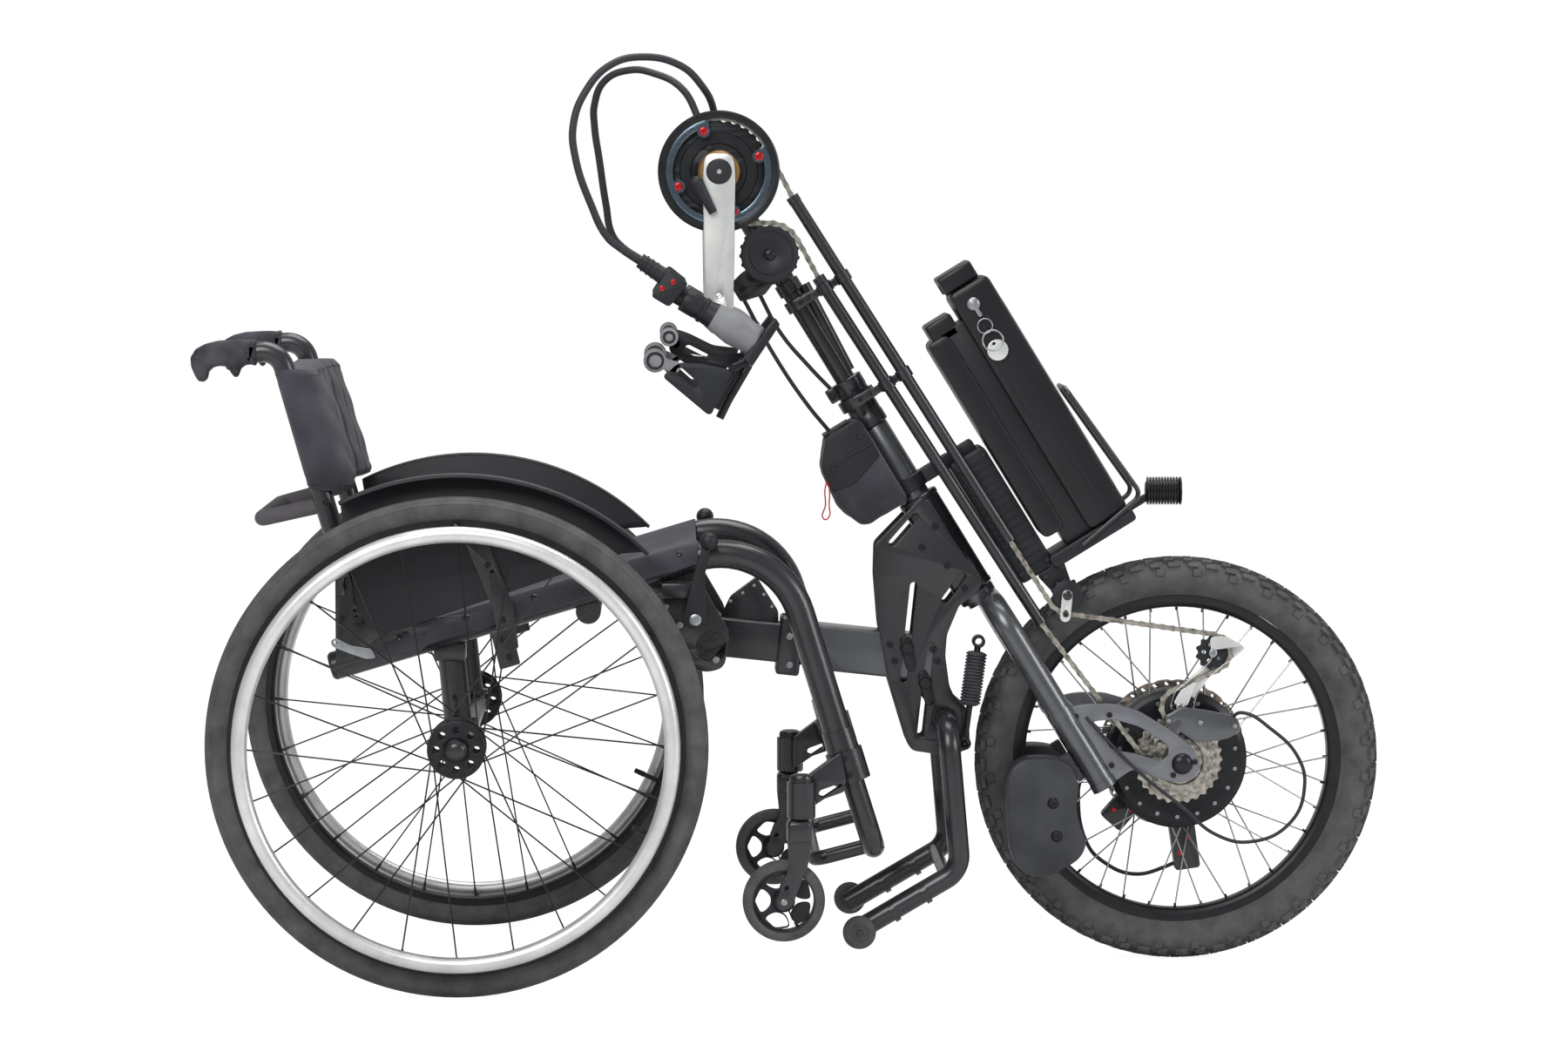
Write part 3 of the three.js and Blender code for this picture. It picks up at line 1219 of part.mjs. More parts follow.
function chainTubes() {
  const runs = [upperTube, lowerTube].map(({ topAhead, top, lowAhead, low }) => [
    place(topAhead, chainSide, top), place(lowAhead, chainSide, low),
  ]);
  const clamps = [[chainClamp.upper, mast.radius], [chainClamp.lower, mast.collar]].map(([up, held]) => {
    const { half, wall, armHalf } = chainClamp;
    const reach = upperTube.lowAhead + chainTube.outer;
    return cut(
      join(
        rod(place(0, 0, up - half), place(0, 0, up + half), held + gap + wall, 12),
        block(-armHalf, armHalf, chainSide + armHalf - overrun, -held, up - half, up + half),
        block(-armHalf, reach, chainSide - armHalf, chainSide + armHalf, up - half, up + half),
      ),
      rod(
        place(0, 0, up - half - overrun), place(0, 0, up + half + overrun),
        (held + gap) / Math.cos(Math.PI / 12), 12,
      ),
      strutForm(gap),
    );
  });
  const tubes = runs.map(([top, low]) => rod(top, low, chainTube.outer, 8));
  const hollows = runs.map(([top, low]) => {
    const beyond = top.clone().sub(low).setLength(overrun);
    return rod(top.clone().add(beyond), low.clone().sub(beyond), chainTube.inner, 8);
  });
  return cut(join(...tubes, ...clamps), ...hollows);
}

piece('chain_tubes', chainTubes(), blackPaint, steering);

// Battery cradle: the tray and controller box on the steerer, the rack bar round the battery,
// and the bracket that carries the idler
const cradle = {
  half: 50, bottom: 282, top: 298.7, rear: 97, front: 215, boxRear: 52, boxFront: 101, boxBottom: 285,
  boxTop: 457, boxRight: -34, boxLeft: 45, saddleBottom: 452, saddleTop: 470, saddleHalf: 15, saddleRear: 4,
  rack: 3, rackHalf: 52, rackFootX: 141, rackFootZ: 290, rackX: 234, rackZ: 305, rackTopX: 222, rackTopZ: 465,
  rackBend: 12, corner: 8, lampArm: 250, lampHalf: 6, lampDrop: 9,
};
const idlerPlate = { rear: 74, front: 112, bottom: 237, top: 286, inside: -33, thickness: 3 };
const idlerShares = [[0, 1], [1, 1], [0.74, 0.06], [0.5, 0], [0.24, 0.1]];
const idlerLink = { ahead: 77, up: 226, width: 14, thickness: 2 };

function batteryCradle() {
  const {
    half, bottom, top, rear, front, boxRear, boxFront, saddleHalf, saddleRear, rack, rackHalf: side,
    rackFootX, rackFootZ, rackX, rackZ, rackTopX, rackTopZ, corner,
  } = cradle;
  const outer = chainSide - chainSize.half - overrun;
  const body = join(
    plate([[rear, bottom], [rear, top], [front, top], [front, bottom]], -half, half, corner),
    plate([
      [boxRear, cradle.boxBottom], [boxRear, cradle.boxTop], [boxFront, cradle.boxTop],
      [boxFront, cradle.boxBottom],
    ], cradle.boxRight, cradle.boxLeft, corner),
    block(saddleRear, boxRear + corner, -saddleHalf, saddleHalf, cradle.saddleBottom, cradle.saddleTop),
    block(
      boxRear + corner / 2, boxFront - corner, -saddleHalf, saddleHalf, cradle.boxTop - corner, cradle.saddleTop,
    ),
    pipe([
      place(rackFootX, -side, rackFootZ), place(rackX, -side, rackZ), place(rackTopX, -side, rackTopZ),
      place(rackTopX, side, rackTopZ), place(rackX, side, rackZ), place(rackFootX, side, rackFootZ),
    ], rack, cradle.rackBend, 6),
    plate(spread(idlerShares, idlerPlate), idlerPlate.inside - idlerPlate.thickness, idlerPlate.inside),
    drum(idler.ahead, idler.up, outer - idlerLink.thickness, idlerPlate.inside, idler.pin, 8),
    slot(
      [idler.ahead, idler.up], [idlerLink.ahead, idlerLink.up], idlerLink.width, outer - idlerLink.thickness,
      outer,
    ),
    block(front - corner, cradle.lampArm, -cradle.lampHalf, cradle.lampHalf, top - cradle.lampDrop, top),
  );
  const steererBore = rod(
    place(0, 0, cradle.saddleBottom - overrun), place(0, 0, cradle.saddleTop + overrun),
    (steerer.radius + gap) / Math.cos(Math.PI / 12), 12,
  );
  return cut(body, steererBore, lampBody(gap));
}

// Headlight: a finned barrel that looks straight ahead
const lamp = { ahead: 262, up: 290, radius: 18, length: 44 };

function lampBody(grown) {
  const run = place(Math.cos(tilt), 0, -Math.sin(tilt));
  const middle = place(lamp.ahead, 0, lamp.up);
  const from = middle.clone().addScaledVector(run, -lamp.length / 2 - grown);
  return rod(from, from.clone().addScaledVector(run, lamp.length + 2 * grown), lamp.radius + grown, 16);
}

piece('battery_cradle', batteryCradle(), blackPlastic, steering);
piece('headlight', lampBody(0), blackPaint, steering);

// Bag: strapped on the rider's side of the steerer, its front hollowed to fit round it
const bag = { rear: -90, front: -10, bottom: 446, top: 567, half: 38, corner: 12 };
const bagShares = [[1, 0], [1, 1], [0.4, 1], [0.08, 0.75], [0, 0.3], [0.2, 0]];

function bagForm() {
  const whole = plate(spread(bagShares, bag), -bag.half, bag.half, bag.corner);
  const upperHollow = rod(
    place(0, 0, steerer.top - overrun), place(0, 0, bag.top + overrun), (mast.collar + gap) * 1.03, 14,
  );
  const lowerHollow = rod(
    place(0, 0, bag.bottom - overrun), place(0, 0, steerer.top), (steerer.radius + gap) * 1.03, 14,
  );
  return cut(whole, upperHollow, lowerHollow);
}

piece('bag', bagForm(), cloth, steering);

// Ballast: a cast weight behind each fork blade, its lug hollowed to the blade
const ballast = {
  rear: -135, front: -12, bottom: -32, top: 110, inside: 50, outside: 97, corner: 16, lugRear: -34,
  lugFront: -1,
  lugBottom: 50, lugTop: 85, lugInside: 66, lugOutside: 82, boss: 7, bossLength: 3,
};
const ballastShares = [
  [0.33, 0.85], [0.46, 0.98], [0.62, 1], [0.85, 0.89], [1, 0.77], [0.98, 0.56], [0.83, 0.41],
  [0.76, 0.25], [0.74, 0.09], [0.59, 0], [0.24, 0.01], [0.07, 0.1], [0, 0.29], [0.19, 0.64],
];
const ballastBossShares = [[0.65, 0.54], [0.51, 0.28]];

function ballastForm() {
  const { inside, outside, corner, lugRear, lugFront, lugInside, lugOutside, boss, bossLength } = ballast;
  const blade = rod(
    place(fork.ahead, fork.half, ballast.lugBottom - overrun),
    place(fork.ahead, fork.half, ballast.lugTop + overrun),
    fork.radius * 1.03 + gap, 12,
  );
  const bosses = spread(ballastBossShares, ballast).map(
    ([x, z]) => drum(x, z, outside - overrun, outside + bossLength, boss, 8),
  );
  const lug = block(lugRear, lugFront, lugInside, lugOutside, ballast.lugBottom, ballast.lugTop);
  return join(
    plate(spread(ballastShares, ballast), inside, outside, corner, 1), cut(lug, blade), ...bosses,
  );
}

for (const [name, side] of bothSides) {
  piece(`ballast_${name}`, ballastForm(), blackPaint, steering, side);
}

// Derailleur: body on its boss inside the dropout, the cage with its pulley pins, the cable's loop
const cage = {
  rear: 126, front: 247, bottom: 45, top: 112, near: -50.2, far: -40.2, thickness: 1.8, corner: 8,
};
const cageShares = [
  [0.73, 1], [0.87, 0.88], [1, 0.46], [0.85, 0.42], [0.7, 0.43], [0.5, 0.36], [0.31, 0.21], [0.21, 0],
  [0, 0.25], [0.15, 0.49], [0.32, 0.52], [0.5, 0.57], [0.64, 0.63],
];
const cageWindowShares = [[0.07, 0.3], [0.2, 0.43], [0.39, 0.43], [0.17, 0.13]];
const shifter = {
  rear: 114, front: 193, bottom: -6, top: 59, right: -66, left: -52.6, corner: 6, bossAhead: 108, bossUp: 34,
  boss: 8, cable: 2.2,
};
const shifterShares = [
  [0.04, 1], [0.32, 1], [0.59, 0.74], [0.85, 0.45], [1, 0.25], [0.91, 0], [0.65, 0.02], [0.22, 0.29],
  [0.09, 0.63], [0.01, 0.87],
];

function derailleurForm() {
  const { near, far, thickness, corner } = cage;
  const window = plate(spread(cageWindowShares, cage), near - 2 * thickness, near + overrun);
  const nearPlate = cut(plate(spread(cageShares, cage), near - thickness, near), window);
  const farPlate = plate(spread(cageShares, cage), far, far + thickness);
  const pins = [tension, guide].map(({ ahead, up }) => (
    drum(ahead, up, near - thickness, far + thickness, idler.pin, 10)
  ));
  const { right, left, bossAhead, bossUp, boss } = shifter;
  return join(
    nearPlate, farPlate, ...pins,
    plate(spread(shifterShares, shifter), right, left + overrun, shifter.corner, 1),
    drum(bossAhead, bossUp, -dropout.inside + gap, left, boss, 10),
    slot([bossAhead, bossUp], [bossAhead + 2 * boss, bossUp + boss], 2 * boss, right, left),
    cable([
      place(184, -60, 14), place(199, -72, 15), place(219, -80, -20), place(229, -83, -67), place(218, -84, -100),
      place(179, -84, -130), place(125, -84, -124), place(94, -84, -94), place(77, -84, -44), place(59, -85, 5),
      place(46, -86, 52), place(34, -88, 112),
    ], shifter.cable, 20, 5),
  );
}

piece('derailleur', derailleurForm(), silver, steering);

// Brake: two calipers on one carrier inside the left dropout, with the hose between them
const brake = {
  inside: 41.5, outside: 62, slotIn: 44.5, slotOut: 49.5, clearance: 4, carrierIn: 56, carrierWidth: 14,
  carrierBoss: 7, hose: 2.5,
};
const brakeSpots = { carrier: [78, 2], rear: [14, -28], low: [58, -107] };

function caliperBlock([x, z], halfLength, halfWidth) {
  const out = new THREE.Vector2(x - forkOffset, z).normalize();
  const corner = (along, across) => [
    x + out.x * along - out.y * across, z + out.y * along + out.x * across,
  ];
  return plate([
    corner(-halfLength, -halfWidth), corner(halfLength, -halfWidth),
    corner(halfLength, halfWidth), corner(-halfLength, halfWidth),
  ], brake.inside, brake.outside, halfWidth / 3, 1);
}

function brakeCaliper() {
  const { carrierIn, outside, carrierWidth, carrierBoss, slotIn, slotOut, clearance } = brake;
  const { carrier, rear, low } = brakeSpots;
  const body = join(
    drum(carrier[0], carrier[1], carrierIn, dropout.inside - gap, carrierBoss, 10),
    slot(carrier, rear, carrierWidth, carrierIn, outside),
    slot(carrier, low, carrierWidth, carrierIn, outside),
    caliperBlock(rear, 22, 16), caliperBlock(low, 30, 16),
    cable([
      place(70, 58, -122), place(23, 60, -120), place(-15, 60, -107), place(-38, 58, -76), place(-44, 44, -38),
      place(-20, 44, 20), place(-2, 52, 40), place(-1, 57, 62), place(1, 56, 92), place(3, 55, 120),
    ], brake.hose, 18, 5),
  );
  return cut(body, drum(forkOffset, 0, slotIn, slotOut, disc.radius + clearance, 18));
}

piece('brake_caliper', brakeCaliper(), blackPaint, steering);

// Battery: it slides down along the steering axis into the tray
const battery = {
  rear: 158, front: 213, top: 635, half: 48, corner: 10, module: 105, moduleFront: 135, moduleBottom: 319,
  moduleTop: 597, moduleHalf: 44, coreHalf: 40, coreTop: 600, stepTop: 617, stepRear: 114, stepFront: 150,
  lockAhead: 180, lockUp: 611, lock: 8, lockReach: 5,
};

function batteryForm() {
  const b = battery;
  const bottom = cradle.top + gap;
  return join(
    plate([
      [b.rear, bottom], [b.rear, b.top], [b.front, b.top], [b.front, bottom],
    ], -b.half, b.half, b.corner),
    plate([
      [b.module, b.moduleBottom], [b.module, b.moduleTop], [b.moduleFront, b.moduleTop],
      [b.moduleFront, b.moduleBottom],
    ], -b.moduleHalf, b.moduleHalf, b.corner),
    block(b.moduleFront - b.corner, b.rear + b.corner, -b.coreHalf, b.coreHalf, bottom, b.coreTop),
    block(b.stepRear, b.stepFront, -b.coreHalf, b.coreHalf, b.moduleTop - b.corner, b.stepTop),
    drum(b.lockAhead, b.lockUp, -b.half - b.lockReach, -b.half + overrun, b.lock, 10),
  );
}

piece('battery', batteryForm(), blackPlastic, steering);

const carryHandle = {
  rear: 157, front: 204, height: 24, half: 38, opening: 26, openingHeight: 14, corner: 8,
};

function batteryHandle() {
  const { rear, front, height, half, opening, openingHeight, corner } = carryHandle;
  const foot = battery.top + gap;
  const arch = plate([
    [rear, foot], [rear, foot + height], [front, foot + height], [front, foot],
  ], -half, half, corner);
  const under = block(rear - overrun, front + overrun, -opening, opening, foot - overrun, foot + openingHeight);
  return cut(arch, under);
}

piece('battery_handle', batteryHandle(), blackPlastic, steering);

// Crank: arms, axle and pedal spindles as one; the chainring and its guard turn with it
const crank = new THREE.Group();
crank.position.set(0, 0, crankUp);
crank.rotation.y = tilt;
steering.add(crank);
const arm = { inside: 66, outside: 78, bossHalf: 20, bossUp: 22, toeHalf: 17, toe: 19, corner: 14 };
const spindle = { radius: 7, end: 134 };
const armShares = [[-0.85, 1], [0.85, 1], [1, 0]];

function cranksetForm() {
  const { inside, outside, bossHalf, bossUp, toeHalf, toe, corner } = arm;
  const head = armShares.map(([across, up]) => [bossHalf * across, bossUp * up]);
  const outline = [
    ...head, [toeHalf, -crankLength - toe / 2], [toeHalf / 2, -crankLength - toe],
    [-toeHalf / 2, -crankLength - toe], [-toeHalf, -crankLength - toe / 2], [-bossHalf, 0],
  ];
  const arms = bothSides.flatMap(([, side]) => [
    plate(outline, Math.min(side * inside, side * outside), Math.max(side * inside, side * outside), corner),
    drum(0, -crankLength, side * inside, side * spindle.end, spindle.radius, 10),
  ]);
  return join(drum(0, 0, -inside, inside, crankAxle, 14), ...arms);
}

piece('crankset', cranksetForm(), silver, crank);

const spider = { boss: 17, bossFrom: -52, bossTo: -36, inner: 26, outer: 44, arms: 4, armAngle: 26 };
const ringGuard = { inner: 46, outer: 74, from: -58, to: -50, boltCircle: 52, boss: 5, segments: 24 };

function chainringForm() {
  const half = tooth.thickness / 2;
  const { boss, bossFrom, bossTo, inner, outer, arms, armAngle } = spider;
  const disk = join(
    toothed(ringTeeth, chainSide - half, chainSide + half, pitchRadius(ringTeeth) - tooth.tipDrop, 0),
    drum(0, 0, bossFrom, bossTo, boss, 14),
  );
  const windows = Array.from({ length: arms }, (_, i) => {
    const start = fullTurn * i / arms + armAngle * degree / 2;
    const sweepAngle = fullTurn / arms - armAngle * degree;
    const at = (radius, share) => [
      radius * Math.cos(start + sweepAngle * share), radius * Math.sin(start + sweepAngle * share),
    ];
    return plate([
      at(inner, 0), at(inner, 0.5), at(inner, 1), at(outer, 1), at(outer, 0.67), at(outer, 0.33), at(outer, 0),
    ], chainSide - 2 * half, chainSide + 2 * half);
  });
  return cut(disk, ...windows, bore(0, 0, bossFrom - overrun, bossTo + overrun, crankAxle + gap, 14));
}

piece('chainring', chainringForm(), blackPaint, crank);

function chainGuard() {
  const { inner, outer, from, to, boltCircle, boss, segments } = ringGuard;
  const ring = turned([[inner, from], [outer, from], [outer, to], [inner, to]], segments);
  const bosses = Array.from({ length: spider.arms }, (_, i) => {
    const angle = fullTurn * i / spider.arms;
    return drum(
      boltCircle * Math.cos(angle), boltCircle * Math.sin(angle),
      to - overrun, chainSide - tooth.thickness / 2 - gap, boss, 6,
    );
  });
  return join(ring, ...bosses);
}

piece('chain_guard', chainGuard(), blackPaint, crank);

// Grips: a shaped handle on each pedal spindle, with its control box, wrist plates and rollers
const grip = {
  side: 128, slope: 30.6, boreFrom: 100, hollow: 135, boxHalf: 22, plateHalf: 20, bushing: 12, cable: 9,
  cableSide: 11, rod: 5, crossBar: 4.5, link: 9, linkHalf: 6, near: 105, far: 151, plateThick: 4,
};
const gripProfile = [[-66, 11], [-50, 11], [-50, 15], [-30, 14.5], [-8, 17], [20, 21], [40, 19], [52, 20]];
const gripBody = { x: -96, z: -118, width: 168, height: 188 };
const gripShares = {
  box: [[0.21, 0.96], [0.35, 0.86], [0.21, 0.71], [0.08, 0.78]],
  end: [[0.97, 0.64], [1, 0.6], [0.8, 0.33], [0.74, 0.38]],
  upper: [
    [0.21, 0.5], [0.26, 0.54], [0.36, 0.51], [0.54, 0.43], [0.74, 0.41], [0.67, 0.31], [0.45, 0.36],
    [0.27, 0.39], [0.21, 0.42],
  ],
  lower: [[0.27, 0.36], [0.45, 0.35], [0.67, 0.31], [0.51, 0.03], [0.48, 0.03], [0.16, 0.27]],
  upperSlot: [[0.35, 0.44], [0.48, 0.38]],
  lowerSlot: [[0.29, 0.3], [0.39, 0.22]],
  cableRun: [[0.18, 0.89], [0, 1]],
  rod: [[0.78, 0.34], [0.63, 0.11], [0.57, 0]],
  rollers: [[0.11, 0.37], [0.21, 0.52]],
  seats: [[0.25, 0.33], [0.26, 0.47]],
  bar: [[0.66, 0.32], [0.77, 0.36]],
};
const rollerRadii = [14, 11];

function gripSpots(name) {
  return gripShares[name].map(([along, up]) => [
    gripBody.x + gripBody.width * along, gripBody.z + gripBody.height * up,
  ]);
}

function gripForm() {
  const { side, boxHalf, plateHalf, near, far, plateThick, crossBar, cableSide } = grip;
  const half = plateThick / 2;
  const handle = solid(new THREE.LatheGeometry(
    [new THREE.Vector2(0, gripProfile[0][0]), ...gripProfile.map(([s, r]) => new THREE.Vector2(r, s)),
      new THREE.Vector2(0, gripProfile.at(-1)[0])], 10,
  ).rotateZ(-Math.PI / 2).rotateY(grip.slope * degree).translate(0, side, 0));
  const [cableFrom, cableTo] = gripSpots('cableRun');
  const [rodTop, rodKnee, rodEnd] = gripSpots('rod');
  const [barFrom, barTo] = gripSpots('bar');
  const rollers = gripSpots('rollers').flatMap((spot, i) => [
    drum(spot[0], spot[1], near - half, far + half, rollerRadii[i], 10),
    slot(
      spot, gripSpots('seats')[i], rollerRadii[i], (i === 0 ? far : near) - half, (i === 0 ? far : near) + half,
    ),
  ]);
  const body = join(
    handle,
    plate(gripSpots('box'), side - boxHalf, side + boxHalf),
    plate(gripSpots('end'), side - plateHalf, side + plateHalf),
    drum(0, 0, grip.boreFrom, side, grip.bushing, 12),
    ...[-cableSide, cableSide].map((off) => rod(
      place(cableFrom[0], side + off, cableFrom[1]), place(cableTo[0], side + off, cableTo[1]), grip.cable,
    )),
    pipe([
      place(rodTop[0], side, rodTop[1]), place(rodKnee[0], side, rodKnee[1]), place(rodEnd[0], side, rodEnd[1]),
    ], grip.rod, grip.rod, 6),
    drum(barFrom[0], barFrom[1], near - half, far + half, crossBar, 6),
    slot(barFrom, barTo, grip.link, side - grip.linkHalf, side + grip.linkHalf),
    cut(
      plate(gripSpots('upper'), near - half, near + half),
      slot(...gripSpots('upperSlot'), grip.link, near - plateThick, near + plateThick),
    ),
    cut(
      plate(gripSpots('lower'), far - half, far + half),
      slot(...gripSpots('lowerSlot'), grip.link, far - plateThick, far + plateThick),
    ),
    ...rollers,
  );
  return cut(body, bore(0, 0, grip.boreFrom - overrun, grip.hollow, spindle.radius + gap, 10));
}

for (const [name, side] of bothSides) {
  const pedal = new THREE.Group();
  pedal.position.set(0, 0, -crankLength);
  crank.add(pedal);
  piece(`grip_${name}`, gripForm(), greyGrip, pedal, side);
}

// Control cables: from the reliefs on the mast in a wide loop to the rear end of each grip
const controlCable = { radius: 4.5, steps: 20, straight: 28 };
const cableRoutes = {
  right: [
    [287, -42, 1078], [262, -60, 1099], [219, -75, 1108], [180, -90, 1098], [150, -100, 1066], [135, -108, 1024],
    [138, -112, 985], [156, -116, 931], [176, -117, 891], [192, -117, 877.5], [214.1, -117, 862.5],
  ],
  left: [
    [266, 45, 1073], [231, 60, 1092], [202, 72, 1096], [171, 85, 1083], [158, 95, 1053], [158, 102, 1028],
    [164, 108, 985], [172, 114, 930], [180, 117, 892], [192, 117, 877.5], [214.1, 117, 862.5],
  ],
};

function controlCableForm(name) {
  const [from, to] = reliefs[name].map((spot) => spot.clone().applyMatrix4(steering.matrix));
  const out = to.clone().sub(from).normalize();
  const start = to.clone().addScaledVector(out, gap);
  const route = cableRoutes[name].map(([x, y, z]) => place(x, y, z));
  return cable(
    [start, start.clone().addScaledVector(out, controlCable.straight), ...route],
    controlCable.radius, controlCable.steps, 6,
  );
}

steering.updateMatrix();
for (const [name] of bothSides) piece(`control_cable_${name}`, controlCableForm(name), rubber);

// The vehicle stands with the middle of its footprint on the origin
const bounds = new THREE.Box3().setFromObject(vehicle, true);
vehicle.position.set(-(bounds.min.x + bounds.max.x) / 2, -(bounds.min.y + bounds.max.y) / 2, -bounds.min.z);

export default vehicle;
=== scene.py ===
# A handcycle docked on a rigid manual wheelchair. Each piece is drawn in millimetres, in the places
# of its own assembly, and is set into the frame, in metres, when it is finished.
import bmesh
import bpy
import math
from mathutils import Matrix, Vector


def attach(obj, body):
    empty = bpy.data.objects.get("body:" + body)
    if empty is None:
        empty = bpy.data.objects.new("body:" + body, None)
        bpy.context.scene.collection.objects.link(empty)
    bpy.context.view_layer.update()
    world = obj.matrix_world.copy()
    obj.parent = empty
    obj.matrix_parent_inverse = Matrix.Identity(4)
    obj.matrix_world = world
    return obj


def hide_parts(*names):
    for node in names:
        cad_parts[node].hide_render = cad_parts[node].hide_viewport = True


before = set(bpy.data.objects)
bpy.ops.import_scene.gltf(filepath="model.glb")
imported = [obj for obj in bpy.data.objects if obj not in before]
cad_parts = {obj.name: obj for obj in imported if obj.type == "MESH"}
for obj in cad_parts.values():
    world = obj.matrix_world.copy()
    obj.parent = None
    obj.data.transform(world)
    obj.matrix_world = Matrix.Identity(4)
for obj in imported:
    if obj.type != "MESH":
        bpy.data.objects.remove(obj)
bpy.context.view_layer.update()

# Camera: a long lens at the height of the handgrips, square to the rider's right-hand side.
lens = bpy.data.cameras.new("side_lens")
lens.lens = 112.9
lens.sensor_width = 36
camera = bpy.data.objects.new("side_camera", lens)
camera.location = (-0.1704, -6.03026, 0.93276)
camera.rotation_euler = (math.pi / 2 - 0.065, 0, -0.026)
bpy.context.scene.collection.objects.link(camera)
bpy.context.scene.camera = camera
bpy.context.scene.view_settings.view_transform = "Standard"


def node(tree, kind, values=(), links=(), **settings):
    """Adds a shader node with its settings, its socket values and its links."""
    added = tree.nodes.new("ShaderNode" + kind)
    for name, setting in settings.items():
        setattr(added, name, setting)
    for socket, value in dict(values).items():
        added.inputs[socket].default_value = value
    for socket, source in dict(links).items():
        tree.links.new(source, added.inputs[socket])
    return added


def colour(code):
    """The linear colour of an sRGB hex code."""
    shares = [int(code[i:i + 2], 16) / 255 for i in (1, 3, 5)]
    return (*(s / 12.92 if s < 0.04045 else ((s + 0.055) / 1.055) ** 2.4 for s in shares), 1)


# Studio: a sweep that is plain white to the camera, and dimmer in what the object reflects of it. The
# lamps are three softboxes: one over the camera, one overhead and a weak one from the front.
def seen_directly(tree):
    """1 for what the camera sees, straight or through something clear, and 0 for the rest."""
    rays = node(tree, "LightPath").outputs
    return node(tree, "Math", links={0: rays["Is Camera Ray"], 1: rays["Is Transmission Ray"]},
                operation="MAXIMUM").outputs[0]


world = bpy.data.worlds.new("white_sweep")
bpy.context.scene.world = world
world.use_nodes = True
sky = world.node_tree
sky.nodes.clear()
soft = node(sky, "Background", {"Color": (1, 1, 1, 1), "Strength": 0.5})
white = node(sky, "Background", {"Color": (1, 1, 1, 1), "Strength": 1})
both = node(sky, "MixShader", links={0: seen_directly(sky), 1: soft.outputs[0], 2: white.outputs[0]})
node(sky, "OutputWorld", links={0: both.outputs[0]})

floor_mesh = bpy.data.meshes.new("studio_floor")
bm = bmesh.new()
bmesh.ops.create_grid(bm, x_segments=1, y_segments=1, size=30)
bm.to_mesh(floor_mesh)
bm.free()
floor = bpy.data.objects.new("studio_floor", floor_mesh)
floor.location.z = -0.0005
bpy.context.scene.collection.objects.link(floor)
sweep = bpy.data.materials.new("matt_white_sweep")
sweep.use_nodes = True
tree = sweep.node_tree
tree.nodes.clear()
share = node(tree, "Math", {1: 0.8}, {0: seen_directly(tree)}, operation="MULTIPLY")
matt = node(tree, "BsdfDiffuse", {"Color": (0.8, 0.8, 0.8, 1)})
glow = node(tree, "Emission", {"Color": (1, 1, 1, 1), "Strength": 1.17})
both = node(tree, "MixShader", links={0: share.outputs[0], 1: matt.outputs[0], 2: glow.outputs[0]})
node(tree, "OutputMaterial", links={0: both.outputs[0]})
floor_mesh.materials.append(sweep)

for name, place, aim, width, power in (
    ("camera_softbox", (-1.6, -3.8, 3.4), (0, 0, 0.5), 2.6, 175),
    ("overhead_softbox", (0.2, 0.6, 3.6), (0, 0, 0.5), 2.4, 95),
    ("front_softbox", (3.6, -1.8, 1.8), (0, 0, 0.6), 1.6, 60),
):
    lamp = bpy.data.lights.new(name, "AREA")
    lamp.size = width
    lamp.energy = power
    holder = bpy.data.objects.new(name, lamp)
    holder.location = place
    holder.rotation_euler = (Vector(aim) - Vector(place)).to_track_quat("-Z", "Y").to_euler()
    bpy.context.scene.collection.objects.link(holder)


# Rear tyres: high-pressure slick tyres of black rubber, moulded with a worn, fine centre tread and
# stretched over the rims.
metre = 1000
chair = Matrix.Translation((-404.475 / metre, 0, 0)) @ Matrix.Scale(1 / metre, 4)
rear_track, rear_radius = 580, 295
sides = (("right", -1), ("left", 1))


def finish_of(name, base, roughness, metallic=0.0, **sockets):
    """A material with its node tree, its shader and its Object coordinates."""
    material = bpy.data.materials.new(name)
    material.use_nodes = True
    tree = material.node_tree
    shader = tree.nodes["Principled BSDF"]
    shader.inputs["Base Color"].default_value = colour(base)
    shader.inputs["Roughness"].default_value = roughness
    shader.inputs["Metallic"].default_value = metallic
    for socket, value in sockets.items():
        shader.inputs[socket.replace("_", " ")].default_value = value
    where = node(tree, "TexCoord").outputs["Object"]
    return material, tree, shader, where


def dressed(tree, shader, height, depth, shade=None, tones=(), spread=(0, 1), gleam=None, rough=()):
    """Lets a finish's pattern nodes set its relief, its two tones and how rough it is."""
    height, shade, gleam = (p and (p.outputs.get("Fac") or p.outputs[0]) for p in (height, shade, gleam))
    bump = node(tree, "Bump", {"Distance": depth / metre}, {"Height": height})
    tree.links.new(bump.outputs[0], shader.inputs["Normal"])
    if tones:
        ramp = node(tree, "ValToRGB", links={"Fac": shade})
        for stop, place, tone in zip(ramp.color_ramp.elements, spread, tones):
            stop.position, stop.color = place, colour(tone)
        tree.links.new(ramp.outputs["Color"], shader.inputs["Base Color"])
    if rough:
        gloss = node(tree, "MapRange", dict(zip(("To Min", "To Max"), rough)), {"Value": gleam})
        tree.links.new(gloss.outputs[0], shader.inputs["Roughness"])


def add(bm, part, place=Matrix()):
    """Closes a part, turns its faces outwards and adds it to a piece."""
    bmesh.ops.remove_doubles(part, verts=part.verts, dist=1e-4)
    bmesh.ops.recalc_face_normals(part, faces=part.faces)
    part.transform(place)
    if place.determinant() < 0:
        bmesh.ops.reverse_faces(part, faces=part.faces)
    mesh = bpy.data.meshes.new("part")
    part.to_mesh(mesh)
    part.free()
    bm.from_mesh(mesh)
    bpy.data.meshes.remove(mesh)


